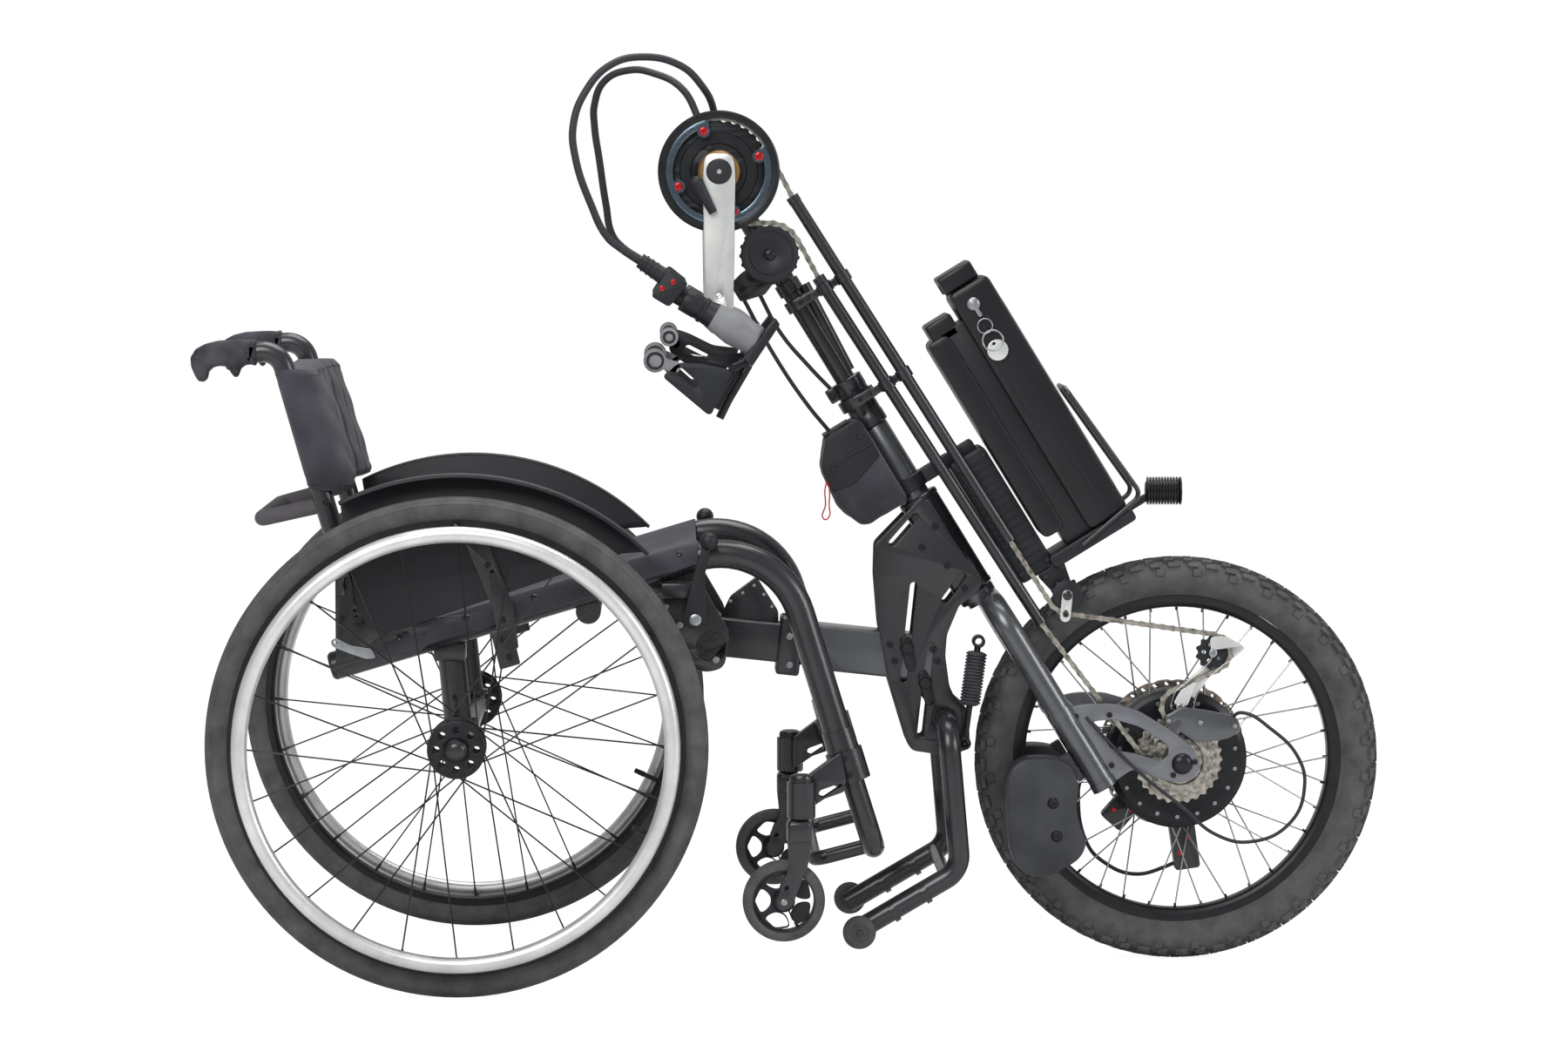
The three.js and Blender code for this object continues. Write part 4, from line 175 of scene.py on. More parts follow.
def turned(bm, profile, place=Matrix(), steps=72, closed=True):
    """Spins a (radius, y) profile round the Y axis."""
    part = bmesh.new()
    ring = [part.verts.new((radius, y, 0)) for radius, y in profile]
    pairs = list(zip(ring, ring[1:])) + ([(ring[-1], ring[0])] if closed else [])
    edges = [part.edges.new(pair) for pair in pairs]
    bmesh.ops.spin(part, geom=ring + edges, axis=(0, 1, 0), angle=math.tau, steps=steps, use_merge=True)
    add(bm, part, place)


def rod(bm, start, end, radius, tip=None, segments=16):
    """A straight rod, or a cone to a tip of its own radius."""
    start, end = Vector(start), Vector(end)
    turn = Vector((0, 0, 1)).rotation_difference(end - start).to_matrix().to_4x4()
    bmesh.ops.create_cone(bm, cap_ends=True, segments=segments, radius1=radius,
                          radius2=radius if tip is None else tip, depth=(end - start).length,
                          matrix=Matrix.Translation((start + end) / 2) @ turn)


def drum(bm, x, z, y0, y1, radius, tip=None, segments=20):
    """A rod along Y."""
    rod(bm, (x, y0, z), (x, y1, z), radius, tip, segments)


def box(bm, x0, x1, y0, y1, z0, z1, ease=0.8, steps=2):
    """A block with its edges eased; its y0 and y1 come in either order."""
    part = bmesh.new()
    y0, y1 = sorted((y0, y1))
    size = Matrix.Diagonal((x1 - x0, y1 - y0, z1 - z0, 1))
    middle = Matrix.Translation(((x0 + x1) / 2, (y0 + y1) / 2, (z0 + z1) / 2))
    bmesh.ops.create_cube(part, size=1, matrix=middle @ size)
    if ease:
        bmesh.ops.bevel(part, geom=part.edges[:], offset=ease, offset_type="OFFSET", segments=steps,
                        profile=0.5, affect="EDGES", material=-1)
    add(bm, part)


def piece(bm, name, finish, body, slot, place, *nodes, smooth=35):
    """Sets a finished mesh in its place, on its body, for the nodes that it stands for."""
    bm.transform(place)
    if place.determinant() < 0:
        bmesh.ops.reverse_faces(bm, faces=bm.faces)
    mesh = bpy.data.meshes.new(name)
    bm.to_mesh(mesh)
    bm.free()
    mesh.materials.append(finish)
    mesh.shade_smooth()
    mesh.set_sharp_from_angle(angle=math.radians(smooth))
    made = bpy.data.objects.new(name, mesh)
    bpy.context.scene.collection.objects.link(made)
    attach(made, body)
    if nodes:
        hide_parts(*nodes)
    return made


# Moulded tyre rubber: a dusty dark grey with a low, broken sheen and fine tread lines.
tyre_rubber, tree, shader, where = finish_of("moulded_tyre_rubber", "#232427", 0.72, Specular_IOR_Level=0.35)
dust = node(tree, "TexNoise", {"Scale": metre / 29.4, "Detail": 8, "Roughness": 0.65}, {"Vector": where})
grain = node(tree, "TexNoise", {"Scale": metre / 1.1, "Detail": 3}, {"Vector": where})
dressed(tree, shader, grain, 0.25, dust, ("#363637", "#505051"), (0.35, 0.72), gleam=dust,
        rough=(0.6, 0.86))


def mirrored(side):
    """The flip that puts a left-hand piece on its own side."""
    return Matrix.Diagonal((1, side, 1, 1))


def rear_hub(side):
    """The middle of a rear wheel, with y outwards."""
    return chair @ Matrix.Translation((0, side * rear_track / 2, rear_radius)) @ mirrored(side)


def both_walls(profile):
    """A tyre's section, from the profile of its inner wall."""
    return profile + [(radius, -y) for radius, y in reversed(profile)]


tyre_profile = [(268.3, -10.6), (270.4, -12.4), (275, -13.6), (280, -14), (285.4, -13.1), (286.2, -12.2),
                (287, -12.4), (290.6, -9.6), (291, -8.6), (291.9, -8.3), (293.8, -5.2), (293.5, -3.9),
                (294.6, -3.6), (295, -0.9), (294.5, -0.6)]
for name, side in sides:
    wheel = rear_hub(side)
    bm = bmesh.new()
    turned(bm, both_walls(tyre_profile), steps=128)
    piece(bm, f"slick_tyre_{name}", tyre_rubber, f"rear_{name}", "tyre", wheel, f"rear_tyre_{name}")


# Rear wheels: extruded black alloy rims, laced with 24 black spokes to hubs whose flanges have eight
# lightening holes; the quick-release axle button sits in the middle of the hub.
# Anodised black alloy: near black with a soft, even highlight and faint drawing lines.
black_alloy, tree, shader, where = finish_of("black_anodised_alloy", "#17181a", 0.34, 0.55)
cloud = node(tree, "TexNoise", {"Scale": metre / 18.2, "Detail": 6}, {"Vector": where})
grain = node(tree, "TexNoise", {"Scale": metre / 0.7, "Detail": 2}, {"Vector": where})
dressed(tree, shader, grain, 0.04, cloud, ("#111214", "#222427"), gleam=cloud, rough=(0.26, 0.46))


upright = Matrix.Rotation(math.pi / 2, 4, "X")


def ring(x, z, radius, count=20):
    """A round hole's outline."""
    return [(x + radius * math.cos(math.tau * i / count), z + radius * math.sin(math.tau * i / count))
            for i in range(count)]


def rounded(points, corner, steps=4):
    """An outline with its corners rounded."""
    if not corner:
        return points
    outline = []
    corners = [Vector(p) for p in points]
    for before, here, after in zip(corners[-1:] + corners[:-1], corners, corners[1:] + corners[:1]):
        reach = min(corner, (before - here).length / 2, (after - here).length / 2)
        start = here + (before - here).normalized() * reach
        end = here + (after - here).normalized() * reach
        for i in range(steps + 1):
            t = i / steps
            outline.append(tuple(start * (1 - t) ** 2 + here * 2 * t * (1 - t) + end * t ** 2))
    return outline


def plate(bm, outline, y0, y1, holes=(), corner=0, edge=0.5, place=Matrix()):
    """A side-view outline, (x, z), with holes, pressed between y0 and y1 with its edges eased."""
    y0, y1 = sorted((y0, y1))
    curve = bpy.data.curves.new("outline", "CURVE")
    curve.dimensions = "2D"
    curve.fill_mode = "BOTH"
    for loop in (rounded(outline, corner), *holes):
        spline = curve.splines.new("POLY")
        spline.points.add(len(loop) - 1)
        for point, (x, z) in zip(spline.points, loop):
            point.co = (x, z, 0, 1)
        spline.use_cyclic_u = True
    edge = min(edge, (y1 - y0) * 0.4)
    curve.extrude = (y1 - y0) / 2 - edge
    curve.bevel_depth = edge
    curve.bevel_resolution = 1
    curve.offset = -edge
    add_curve(bm, curve, place @ Matrix.Translation((0, (y0 + y1) / 2, 0)) @ upright)


def add_curve(bm, curve, place=Matrix()):
    """Turns a curve into faces and adds them to a piece."""
    holder = bpy.data.objects.new("outline", curve)
    mesh = bpy.data.meshes.new_from_object(holder)
    part = bmesh.new()
    part.from_mesh(mesh)
    bpy.data.objects.remove(holder)
    bpy.data.curves.remove(curve)
    bpy.data.meshes.remove(mesh)
    add(bm, part, place)


rim_profile = [(268, -9.8), (268, -11), (262, -11), (258.6, -8.4), (257, -5.5), (257, 5.5), (258.6, 8.4),
               (262, 11), (268, 11), (268, 9.8), (264.5, 9.2), (263, 0), (264.5, -9.2)]
rim_bottom, flange_side, flange_radius, head_circle = 259, 22, 34, 33.2
spoke_count, spoke_lean, spoke_radius, spoke_cant = 24, math.radians(52), 1, 1.3
window_count, window_circle, window_radius = 8, 23.5, 4.3
valve_turn = 2.0


def around(radius, turn, y=0):
    """A place on a wheel, at its radius and at a turn from the top."""
    return Vector((radius * math.sin(turn), y, radius * math.cos(turn)))


def turns_of(count):
    """Even turns round a wheel."""
    return [math.tau * i / count for i in range(count)]


for name, side in sides:
    wheel = rear_hub(side)
    bm = bmesh.new()
    turned(bm, rim_profile, steps=128)
    turned(bm, [(6.3, -30), (13, -30), (13, -24.5), (15, -22), (15, 22), (13, 25), (13, 32.6), (11, 34),
                (6.3, 34)])
    for y in (-flange_side, flange_side):
        windows = [ring(*around(window_circle, turn).xz, window_radius) for turn in turns_of(window_count)]
        plate(bm, ring(0, 0, flange_radius, 64), y - 2.5, y + 2.5, [*windows, ring(0, 0, 13, 40)], edge=0.9)
        turned(bm, [(31.5, y - 3), (34.2, y - 2.4), (34.2, y + 2.4), (31.5, y + 3)])
    for i, turn in enumerate(turns_of(spoke_count)):
        way = 1 if i % 4 < 2 else -1
        flank = -1 if i % 2 else 1
        head = around(head_circle, turn + way * spoke_lean, flank * flange_side + way * spoke_cant)
        foot = around(rim_bottom, turn, flank * 2.75)
        rod(bm, head, foot, spoke_radius, segments=8)
        rod(bm, foot.lerp(head, 0.05), foot, 1.7, 2, segments=8)
    rod(bm, around(258, valve_turn), around(236, valve_turn), 3, segments=12)
    rod(bm, around(240, valve_turn), around(226, valve_turn), 3.8, 3.2, segments=12)
    piece(bm, f"laced_wheel_{name}", black_alloy, f"rear_{name}", "black_paint", wheel, f"rear_wheel_{name}")


# Handrims: bent and welded aluminium tube, anodised a light satin silver, on six tabs from the rim.
# Satin anodised aluminium: pale grey, very slightly warm, with soft wide highlights.
satin_silver, tree, shader, where = finish_of("satin_anodised_aluminium", "#c6c8c6", 0.36, 0.7)
cloud = node(tree, "TexNoise", {"Scale": metre / 45.5, "Detail": 7, "Roughness": 0.6}, {"Vector": where})
fine = node(tree, "TexNoise", {"Scale": metre / 0.83, "Detail": 2}, {"Vector": where})
dressed(tree, shader, fine, 0.05, cloud, ("#b6b8b7", "#d2d4d1"), (0.3, 0.7), gleam=fine, rough=(0.3, 0.44))

handrim_radius, handrim_tube, handrim_offset, tab_count = 252.5, 9.5, 31, 6
for name, side in sides:
    wheel = rear_hub(side)
    bm = bmesh.new()
    turned(bm, ring(handrim_radius, handrim_offset, handrim_tube), steps=144)
    piece(bm, f"handrim_tube_{name}", satin_silver, f"rear_{name}", "silver", wheel, f"handrim_{name}")
    bm = bmesh.new()
    for turn in turns_of(tab_count):
        part = bmesh.new()
        rod(part, (0, 8.9, 262.5), (0, 27, 259.5), 4, 3.6, segments=12)
        rod(part, (0, 26.4, 259.5), (0, handrim_offset, 258), 5.4, 4.4, segments=12)
        add(bm, part, Matrix.Rotation(turn, 4, "Y"))
    piece(bm, f"handrim_tabs_{name}", black_alloy, f"rear_{name}", "black_paint", wheel, f"handrim_{name}")


# Chair frame: two aluminium side tubes, each bent down into the front leg, with a cross tube welded
# between them and a pressed plate at the rear of each that carries the folding backrest.
# Powder coat over aluminium: satin black, with the faint orange peel of baked powder.
powder_coat, tree, shader, where = finish_of("satin_black_powder_coat", "#15161a", 0.28,
                                             Specular_IOR_Level=0.5)
cloud = node(tree, "TexNoise", {"Scale": metre / 111, "Detail": 8, "Roughness": 0.6}, {"Vector": where})
peel = node(tree, "TexNoise", {"Scale": metre / 1.54, "Detail": 3, "Roughness": 0.5}, {"Vector": where})
dressed(tree, shader, peel, 0.03, cloud, ("#111215", "#25272b"), (0.3, 0.75), gleam=peel, rough=(0.2, 0.34))

# Black-oxide steel: socket screws and pins, near black with a faint oily shine.
black_steel, tree, shader, where = finish_of("black_oxide_steel", "#1a1a1d", 0.3, 0.5, Specular_IOR_Level=0.4)
film = node(tree, "TexNoise", {"Scale": metre / 4.2, "Detail": 4}, {"Vector": where})
dressed(tree, shader, film, 0.05, film, ("#121214", "#2a2b2f"))

# Zinc-plated steel: small screws, nuts and links, cool mid grey with a patchy bloom.
zinc_steel, tree, shader, where = finish_of("zinc_plated_steel", "#8b8e92", 0.36, 0.85)
bloom = node(tree, "TexNoise", {"Scale": metre / 3.8, "Detail": 4}, {"Vector": where})
dressed(tree, shader, bloom, 0.05, bloom, ("#74777b", "#a5a7a8"))

tube_side, tube_radius, tube_bend = 200, 17, 100
rail_rear, knee, foot = Vector((-150, 383)), Vector((376, 540)), Vector((464, 256))
rail_slope = (knee.y - rail_rear.y) / (knee.x - rail_rear.x)
plate_in, plate_out, plate_front, plate_length, plate_rise = 211.5, 216.5, -52.4, 156, 114
fold = Vector((-117, 434))


def rail_height(x):
    """The height of the side tubes' middle line over the seat."""
    return rail_rear.y + (x - rail_rear.x) * rail_slope


def bent(points, bend):
    """The stations of a tube that is bent to a radius at each of its corners."""
    points = [Vector(p) for p in points]
    stations = [points[0]]
    for before, here, after in zip(points, points[1:], points[2:]):
        back, on = (before - here).normalized(), (after - here).normalized()
        turning = math.pi - back.angle(on)
        centre = here + (back + on).normalized() * bend / math.cos(turning / 2)
        start = here + back * bend * math.tan(turning / 2) - centre
        axis = start.cross(here + on * bend * math.tan(turning / 2) - centre)
        count = max(4, math.ceil(math.degrees(turning) / 6))
        stations += [centre + Matrix.Rotation(turning * i / count, 3, axis) @ start for i in range(count + 1)]
    return stations + [points[-1]]


def tube(bm, points, radius, bend=0, rounds=6, smooth=False):
    """A round tube along its corners, or along a smooth curve through them."""
    curve = bpy.data.curves.new("tube", "CURVE")
    curve.dimensions = "3D"
    curve.bevel_depth = radius
    curve.bevel_resolution = rounds
    curve.use_fill_caps = True
    if smooth:
        spline = curve.splines.new("BEZIER")
        spline.bezier_points.add(len(points) - 1)
        for point, place in zip(spline.bezier_points, points):
            point.co = place
            point.handle_left_type = point.handle_right_type = "AUTO"
    else:
        stations = bent(points, bend) if bend else points
        spline = curve.splines.new("POLY")
        spline.points.add(len(stations) - 1)
        for point, place in zip(spline.points, stations):
            point.co = (*place, 1)
    add_curve(bm, curve)


def slot(start, end, width, count=8):
    """A slot's outline, round at both ends."""
    heading = math.atan2(end[1] - start[1], end[0] - start[0])
    return [(x + width / 2 * math.cos(heading + turn + math.pi * (i / count - 0.5)),
             z + width / 2 * math.sin(heading + turn + math.pi * (i / count - 0.5)))
            for (x, z), turn in ((end, 0), (start, math.pi)) for i in range(count + 1)]


def screw(bm, x, z, y, side, radius, head=2.4):
    """A socket-head screw on a face at y, looking out to one side."""
    outline = [(0, 0), (radius * 0.9, 0), (radius, head * 0.3), (radius, head * 0.75), (radius * 0.82, head),
               (radius * 0.48, head), (radius * 0.42, head * 0.35), (0, head * 0.3)]
    turned(bm, [(r, side * h) for r, h in outline], Matrix.Translation((x, y, z)), steps=18, closed=False)


bm = bmesh.new()
for side in (-1, 1):
    tube(bm, [(p.x, side * tube_side, p.y) for p in (rail_rear, knee, foot)], tube_radius, tube_bend)
    rod(bm, (-150.6, side * tube_side, 382.8), (-153, side * tube_side, 382.1), 16.2, 14.5, 24)
    rear = -146
    upper_shares = ((0, 1), (0.09, 1), (0.16, 0.62), (0.26, 0.46), (0.4, 0.34), (0.59, 0.24), (1, 0.13))
    upper = [(rear + plate_length * a, rail_height(rear + plate_length * a) + plate_rise * u)
             for a, u in upper_shares]
    outline = [(rear, rail_height(rear) - 15), *upper, (plate_front, rail_height(plate_front) - 15)]
    holes = [ring(x, z, 2, 12) for x, z in ((-123, 451), (-116, 453), (-109, 455), (-121, 444), (-114, 446),
                                          (-107, 448), (-118, 438), (-111, 440), (-22, 423), (-14, 428))]
    holes += [slot((-82, 426), (-62, 421), 8), slot((-137, 470), (-133, 489), 4)]
    plate(bm, outline, side * plate_in, side * plate_out, holes, corner=9, edge=0.7)
cross_tube_x = 153
drum(bm, cross_tube_x, rail_height(cross_tube_x) - 26, -tube_side, tube_side, 15, segments=32)
piece(bm, "side_frame_tubes", powder_coat, "chair", "black_paint", chair, "chair_frame")

bm = bmesh.new()
for side in (-1, 1):
    drum(bm, *fold, side * 182, side * plate_out, 5)
    for x, z, radius in ((*fold, 5.5), (-138, 441, 3.4), (-99, 442, 3.4), (-41, 421, 3), (-140, 410, 3)):
        screw(bm, x, z, side * plate_out, side, radius)
piece(bm, "frame_screws_and_pins", black_steel, "chair", "steel", chair, "chair_frame")
bm = bmesh.new()
for side in (-1, 1):
    plate(bm, [(-152, 414), (-146, 419), (-128, 409), (-103, 405), (-98, 394), (-110, 393), (-133, 401),
               (-150, 408)], side * 217, side * 219, [ring(-146, 413, 2)], corner=4, edge=0.4)
piece(bm, "frame_links", zinc_steel, "chair", "steel", chair, "chair_frame")

# Axle tube: the cross tube that carries both rear wheels, clamped to the rails by two oval stems; the
# quick-release axles run through it, each with its domed push button outside the hub.
axle_half, stem_side, stem_x, button_root = 257, 180, -12, 324.3
seat = rail_height(stem_x)
bm = bmesh.new()
drum(bm, 0, rear_radius, -axle_half, axle_half, tube_radius, segments=40)
for side in (-1, 1):
    rod(bm, (-1, side * stem_side, 300), (stem_x, side * stem_side, seat - 14), 17, 16, 32)
    box(bm, -31, 7, side * stem_side - 19, side * stem_side + 19, seat - 36, seat - 14, 3)
    rod(bm, (1, side * stem_side, 312), (1, side * stem_side, 318), 19.5, 19.5, 32)
    drum(bm, 0, rear_radius, side * axle_half, side * button_root, 6)
    button = [(0, 329.3), (5, 329), (9, 327.6), (11, 325), (11, button_root), (0, button_root)]
    turned(bm, [(radius, side * y) for radius, y in button], Matrix.Translation((0, 0, rear_radius)),
           steps=36, closed=False)
    drum(bm, 0, rear_radius, side * 251, side * 259, 19, segments=36)
piece(bm, "axle_tube_and_stems", powder_coat, "chair", "black_paint", chair, "axle_tube")
bm = bmesh.new()
for side in (-1, 1):
    for z in (321, 345):
        screw(bm, -6, z, side * 197, side, 3.2)
piece(bm, "axle_stem_screws", black_steel, "chair", "steel", chair, "axle_tube")

# Seat sling: a sheet of nylon webbing cloth, slung between the rails and sewn round the top of each.
# Ballistic nylon: charcoal, plainly woven from 0.9 mm yarn drawn at 1.8 mm so that it shows.
woven_nylon, tree, shader, where = finish_of("charcoal_ballistic_nylon", "#2b2b32", 0.88, Sheen_Weight=0.15,
                                             Specular_IOR_Level=0.25)
yarn_apart = 1.8
apart = node(tree, "SeparateXYZ", links={0: where})
weft = node(tree, "Math", {1: math.tau * metre / yarn_apart}, {0: apart.outputs["Z"]}, operation="MULTIPLY")
weft = node(tree, "Math", links={0: weft.outputs[0]}, operation="SINE")
across = node(tree, "Math", links={0: apart.outputs["X"], 1: apart.outputs["Y"]}, operation="ADD")
warp = node(tree, "Math", {1: math.tau * metre / yarn_apart}, {0: across.outputs[0]}, operation="MULTIPLY")
warp = node(tree, "Math", links={0: warp.outputs[0]}, operation="SINE")
weave = node(tree, "Math", links={0: weft.outputs[0], 1: warp.outputs[0]}, operation="MULTIPLY")
weave = node(tree, "MapRange", {"From Min": -1}, {"Value": weave.outputs[0]})
fade = node(tree, "TexNoise", {"Scale": metre / 62.5, "Detail": 6}, {"Vector": where})
mixed = node(tree, "Math", {1: 0.35}, {0: weave.outputs[0]}, operation="MULTIPLY")
mixed = node(tree, "Math", {2: 0.3}, {0: fade.outputs["Fac"], 1: mixed.outputs[0]},
             operation="MULTIPLY_ADD")
mixed = node(tree, "Math", links={0: mixed.outputs[0], 1: fade.outputs["Fac"]}, operation="MULTIPLY")
dressed(tree, shader, weave, 0.35, mixed, ("#212127", "#4c4c56"), (0.1, 0.4))


def drawn(section, steps, shape):
    """Draws a ring or a line of points through steps, and shape(point, share) sets each of its rings."""
    part = bmesh.new()
    closed = section[0] == section[-1]
    points = section[:-1] if closed else section
    line = [part.verts.new(p) for p in points]
    edges = [part.edges.new(pair) for pair in zip(line, line[1:] + (line[:1] if closed else []))]
    rings = [list(zip(line, points))]
    if closed:
        part.faces.new(line)
    for step in range(steps):
        grown = bmesh.ops.extrude_edge_only(part, edges=edges)
        edges = [e for e in grown["geom"] if isinstance(e, bmesh.types.BMEdge)]
        before = {tuple(round(c, 6) for c in v.co): p for v, p in rings[-1]}
        verts = [v for v in grown["geom"] if isinstance(v, bmesh.types.BMVert)]
        rings.append([(v, before[tuple(round(c, 6) for c in v.co)]) for v in verts])
    if closed:
        bmesh.ops.contextual_create(part, geom=edges)
    for step, level in enumerate(rings):
        for vert, point in level:
            vert.co = shape(Vector(point), step / steps)
    return part


wrap_radius, hem_rear, length, cloth_thick = 20.2, -90, 373, 2
wrap = [(0, tube_side + wrap_radius * math.cos(a), wrap_radius * math.sin(a))
        for a in map(math.radians, (-20, 5, 30, 55, 80, 100, 118))]
hollow = [(0, 190 * t, 17.5 - 16 * (1 - t ** 2)) for t in (0.86, 0.7, 0.5, 0.3, 0.12)]
section = [*wrap, *hollow, (0, 0, 1.4), *((0, -y, z) for _, y, z in reversed(wrap + hollow))]


def slung(point, share):
    """A point of the sling's section, set along the rails with a slight wave across them."""
    x = hem_rear + length * share
    wave = 0.8 * math.sin(share * 9) * (1 - abs(point.y) / 225)
    return Vector((x, point.y, rail_height(x) + point.z + wave))


bm = bmesh.new()
part = drawn(section, 24, slung)
bmesh.ops.recalc_face_normals(part, faces=part.faces)
if sum(f.normal.z for f in part.faces) < 0:
    bmesh.ops.reverse_faces(part, faces=part.faces)
bmesh.ops.solidify(part, geom=part.faces[:], thickness=cloth_thick)
add(bm, part)
sling = piece(bm, "seat_cloth", woven_nylon, "chair", "cloth", chair, "seat_sling", smooth=60)
width = sum((Vector(b) - Vector(a)).length for a, b in zip(section, section[1:])) / metre
bm = bmesh.new()
for side in (-1, 1):
    for x in (-70, 10, 90, 170, 262):
        spot = Matrix.Translation((x, side * 215.5, rail_height(x) + 11))
        flat = Matrix.Rotation(side * -0.95, 4, "X") @ Matrix.Diagonal((1, 1, 0.35, 1))
        bmesh.ops.create_uvsphere(bm, u_segments=14, v_segments=8, radius=5, matrix=spot @ flat)
piece(bm, "seat_cloth_rivets", black_steel, "chair", "steel", chair, "seat_sling")


# Side guards: moulded black panels beside the seat; the upper edge is turned outwards over the tyre,
# and a flat steel strap holds each panel to the rail.
# Moulded ABS: black with a fine spark-eroded texture that scatters the light.
moulded_abs, tree, shader, where = finish_of("textured_black_abs", "#141519", 0.5, Specular_IOR_Level=0.3)
grit = node(tree, "TexVoronoi", {"Scale": metre / 0.9}, {"Vector": where})
cloud = node(tree, "TexNoise", {"Scale": metre / 71.4, "Detail": 6}, {"Vector": where})
dressed(tree, shader, grit, 0.12, cloud, ("#0f1014", "#1c1e23"), (0.3, 0.7), gleam=cloud,
        rough=(0.34, 0.56))

guard_radius, lip_thick, guard_in, guard_out, lip_out, strap_out = 319, 3, 222, 225, 257, 229
arc = [math.radians(116 - 71 * i / 28) for i in range(29)]
top = [(guard_radius * math.cos(a), rear_radius + guard_radius * math.sin(a)) for a in arc]
lower = [((guard_radius - lip_thick) * math.cos(a), rear_radius + (guard_radius - lip_thick) * math.sin(a))
         for a in reversed(arc)]
front_x, rear_x = top[-1][0], top[0][0] + 16
panel = [*top, (front_x - 32, rail_height(front_x) + 23), (-70, 428),
         (-92, 424), (-108, 433), (rear_x + 4, 451), (rear_x, 475)]
strap = [(8, 532), (34, 537), (65, 457), (71, 406), (49.3, 406), (39, 457)]
for name, side in sides:
    flip = chair @ mirrored(side)
    bm = bmesh.new()
    plate(bm, panel, guard_in, guard_out, edge=0.8)
    plate(bm, top + lower, guard_in, lip_out, edge=1.2)
    tube(bm, [(x, lip_out - 0.8, z) for x, z in lower[::-1]], lip_thick / 2, rounds=2)
    piece(bm, f"guard_panel_{name}", moulded_abs, "chair", "black_plastic", flip, f"side_guard_{name}")
    bm = bmesh.new()
    plate(bm, strap, guard_out, strap_out, [ring(40, 498, 2.4, 12), ring(54, 432, 2.4, 12)], corner=3)
    box(bm, 45.5, 64, 217.4, guard_out, rail_height(52) - 8, rail_height(52) + 11, 1)
    plate(bm, [(38, 425), (63, 431), (73, 388), (49, 381)], strap_out, strap_out + 2, corner=2)
    piece(bm, f"guard_strap_{name}", powder_coat, "chair", "black_paint", flip, f"side_guard_{name}")
    bm = bmesh.new()
    for x, z, radius in ((35, 505, 3.6), (53, 440, 3.6), (52, 417, 4), (60, 396, 4)):
        screw(bm, x, z, strap_out if z > 420 else strap_out + 2, 1, radius)
    piece(bm, f"guard_screws_{name}", black_steel, "chair", "steel", flip, f"side_guard_{name}")

# Backrest: two aluminium posts that fold forward on the frame's pins, bent back for the push grips,
# with a bent rigidising bar behind them, which is covered with a soft grey sleeve.
# Soft foam sleeve: mid grey, matt, with fine closed cells.
foam_sleeve, tree, shader, where = finish_of("soft_grey_foam", "#55525a", 0.8, Specular_IOR_Level=0.3)
cells = node(tree, "TexVoronoi", {"Scale": metre / 0.9}, {"Vector": where})
cloud = node(tree, "TexNoise", {"Scale": metre / 28.6, "Detail": 5}, {"Vector": where})
dressed(tree, shader, cells, 0.15, cloud, ("#403d41", "#565357"))
post_side, post_rise, bar_share, bar_back, bar_drop, bar_half = 197, Vector((-86, 302)), 0.47, 80, 20, 150
lean = post_rise.normalized()


def on_post(along, side):
    """A place on a backrest post, so far up from the fold pin."""
    spot = fold + lean * along
    return spot.x, side * post_side, spot.y


bm = bmesh.new()
for side in (-1, 1):
    tube(bm, [on_post(-10, side), (-212, side * post_side, 758), (-290, side * post_side, 752)], 12.5, 26)
    rod(bm, on_post(-9, side), on_post(120, side), 13.4, 13.4, 28)
piece(bm, "backrest_posts", powder_coat, "backrest", "black_paint", chair, "back_frame")
bar = fold + post_rise * bar_share
bm = bmesh.new()
tube(bm, [(bar.x, -post_side, bar.y), (bar.x - bar_back, -bar_half, bar.y - bar_drop),
          (bar.x - bar_back, bar_half, bar.y - bar_drop), (bar.x, post_side, bar.y)], 9.5, 20)
piece(bm, "rigidising_bar", foam_sleeve, "backrest", "black_paint", chair, "back_frame")
bm = bmesh.new()
for side in (-1, 1):
    for t in (60, 108, 150):
        screw(bm, *(fold + lean * t), side * 209, side, 3.2, 2)
piece(bm, "backrest_screws", black_steel, "backrest", "steel", chair, "back_frame")

# Backrest cloth: a padded panel of woven nylon over foam, wrapped round both posts and sewn down
# along upright channels; its upper and lower hems are drawn in.
slant = -post_rise.x / post_rise.y
cloth_foot, cloth_height, front_half, post_wrap = 592, 144, 186, 15.7
corner = [(0, -212.7), (9, -212.4), (19, -210.6), (28, -206.5), (34.5, -200), (38, -191)]
seams = (-146, -96, -36, 36, 96, 146)


def front_face(y):
    """How far the padding stands out at a place across it, drawn in at the seams."""
    crease = sum(math.exp(-((y - seam) / 3.2) ** 2) for seam in seams)
    return 25 + 13.5 * (abs(y) / front_half) ** 2 - 6 * crease + 1.6 * math.sin(y / 17)


front = [(front_face(y), y) for y in [-front_half + 2 * front_half * i / 124 for i in range(125)]]
rear = [(-post_wrap * math.cos(a), post_side + post_wrap * math.sin(a))
        for a in map(math.radians, (75, 50, 25, 0))]
rear += [(-post_wrap + 4 * (1 - (y / 190) ** 2), y) for y in range(180, -181, -20)]
rear += [(x, -y) for x, y in reversed(rear[:4])]
outline = corner + front + [(x, -y) for x, y in reversed(corner)] + rear
section = [(x, y, 0) for x, y in outline + outline[:1]]


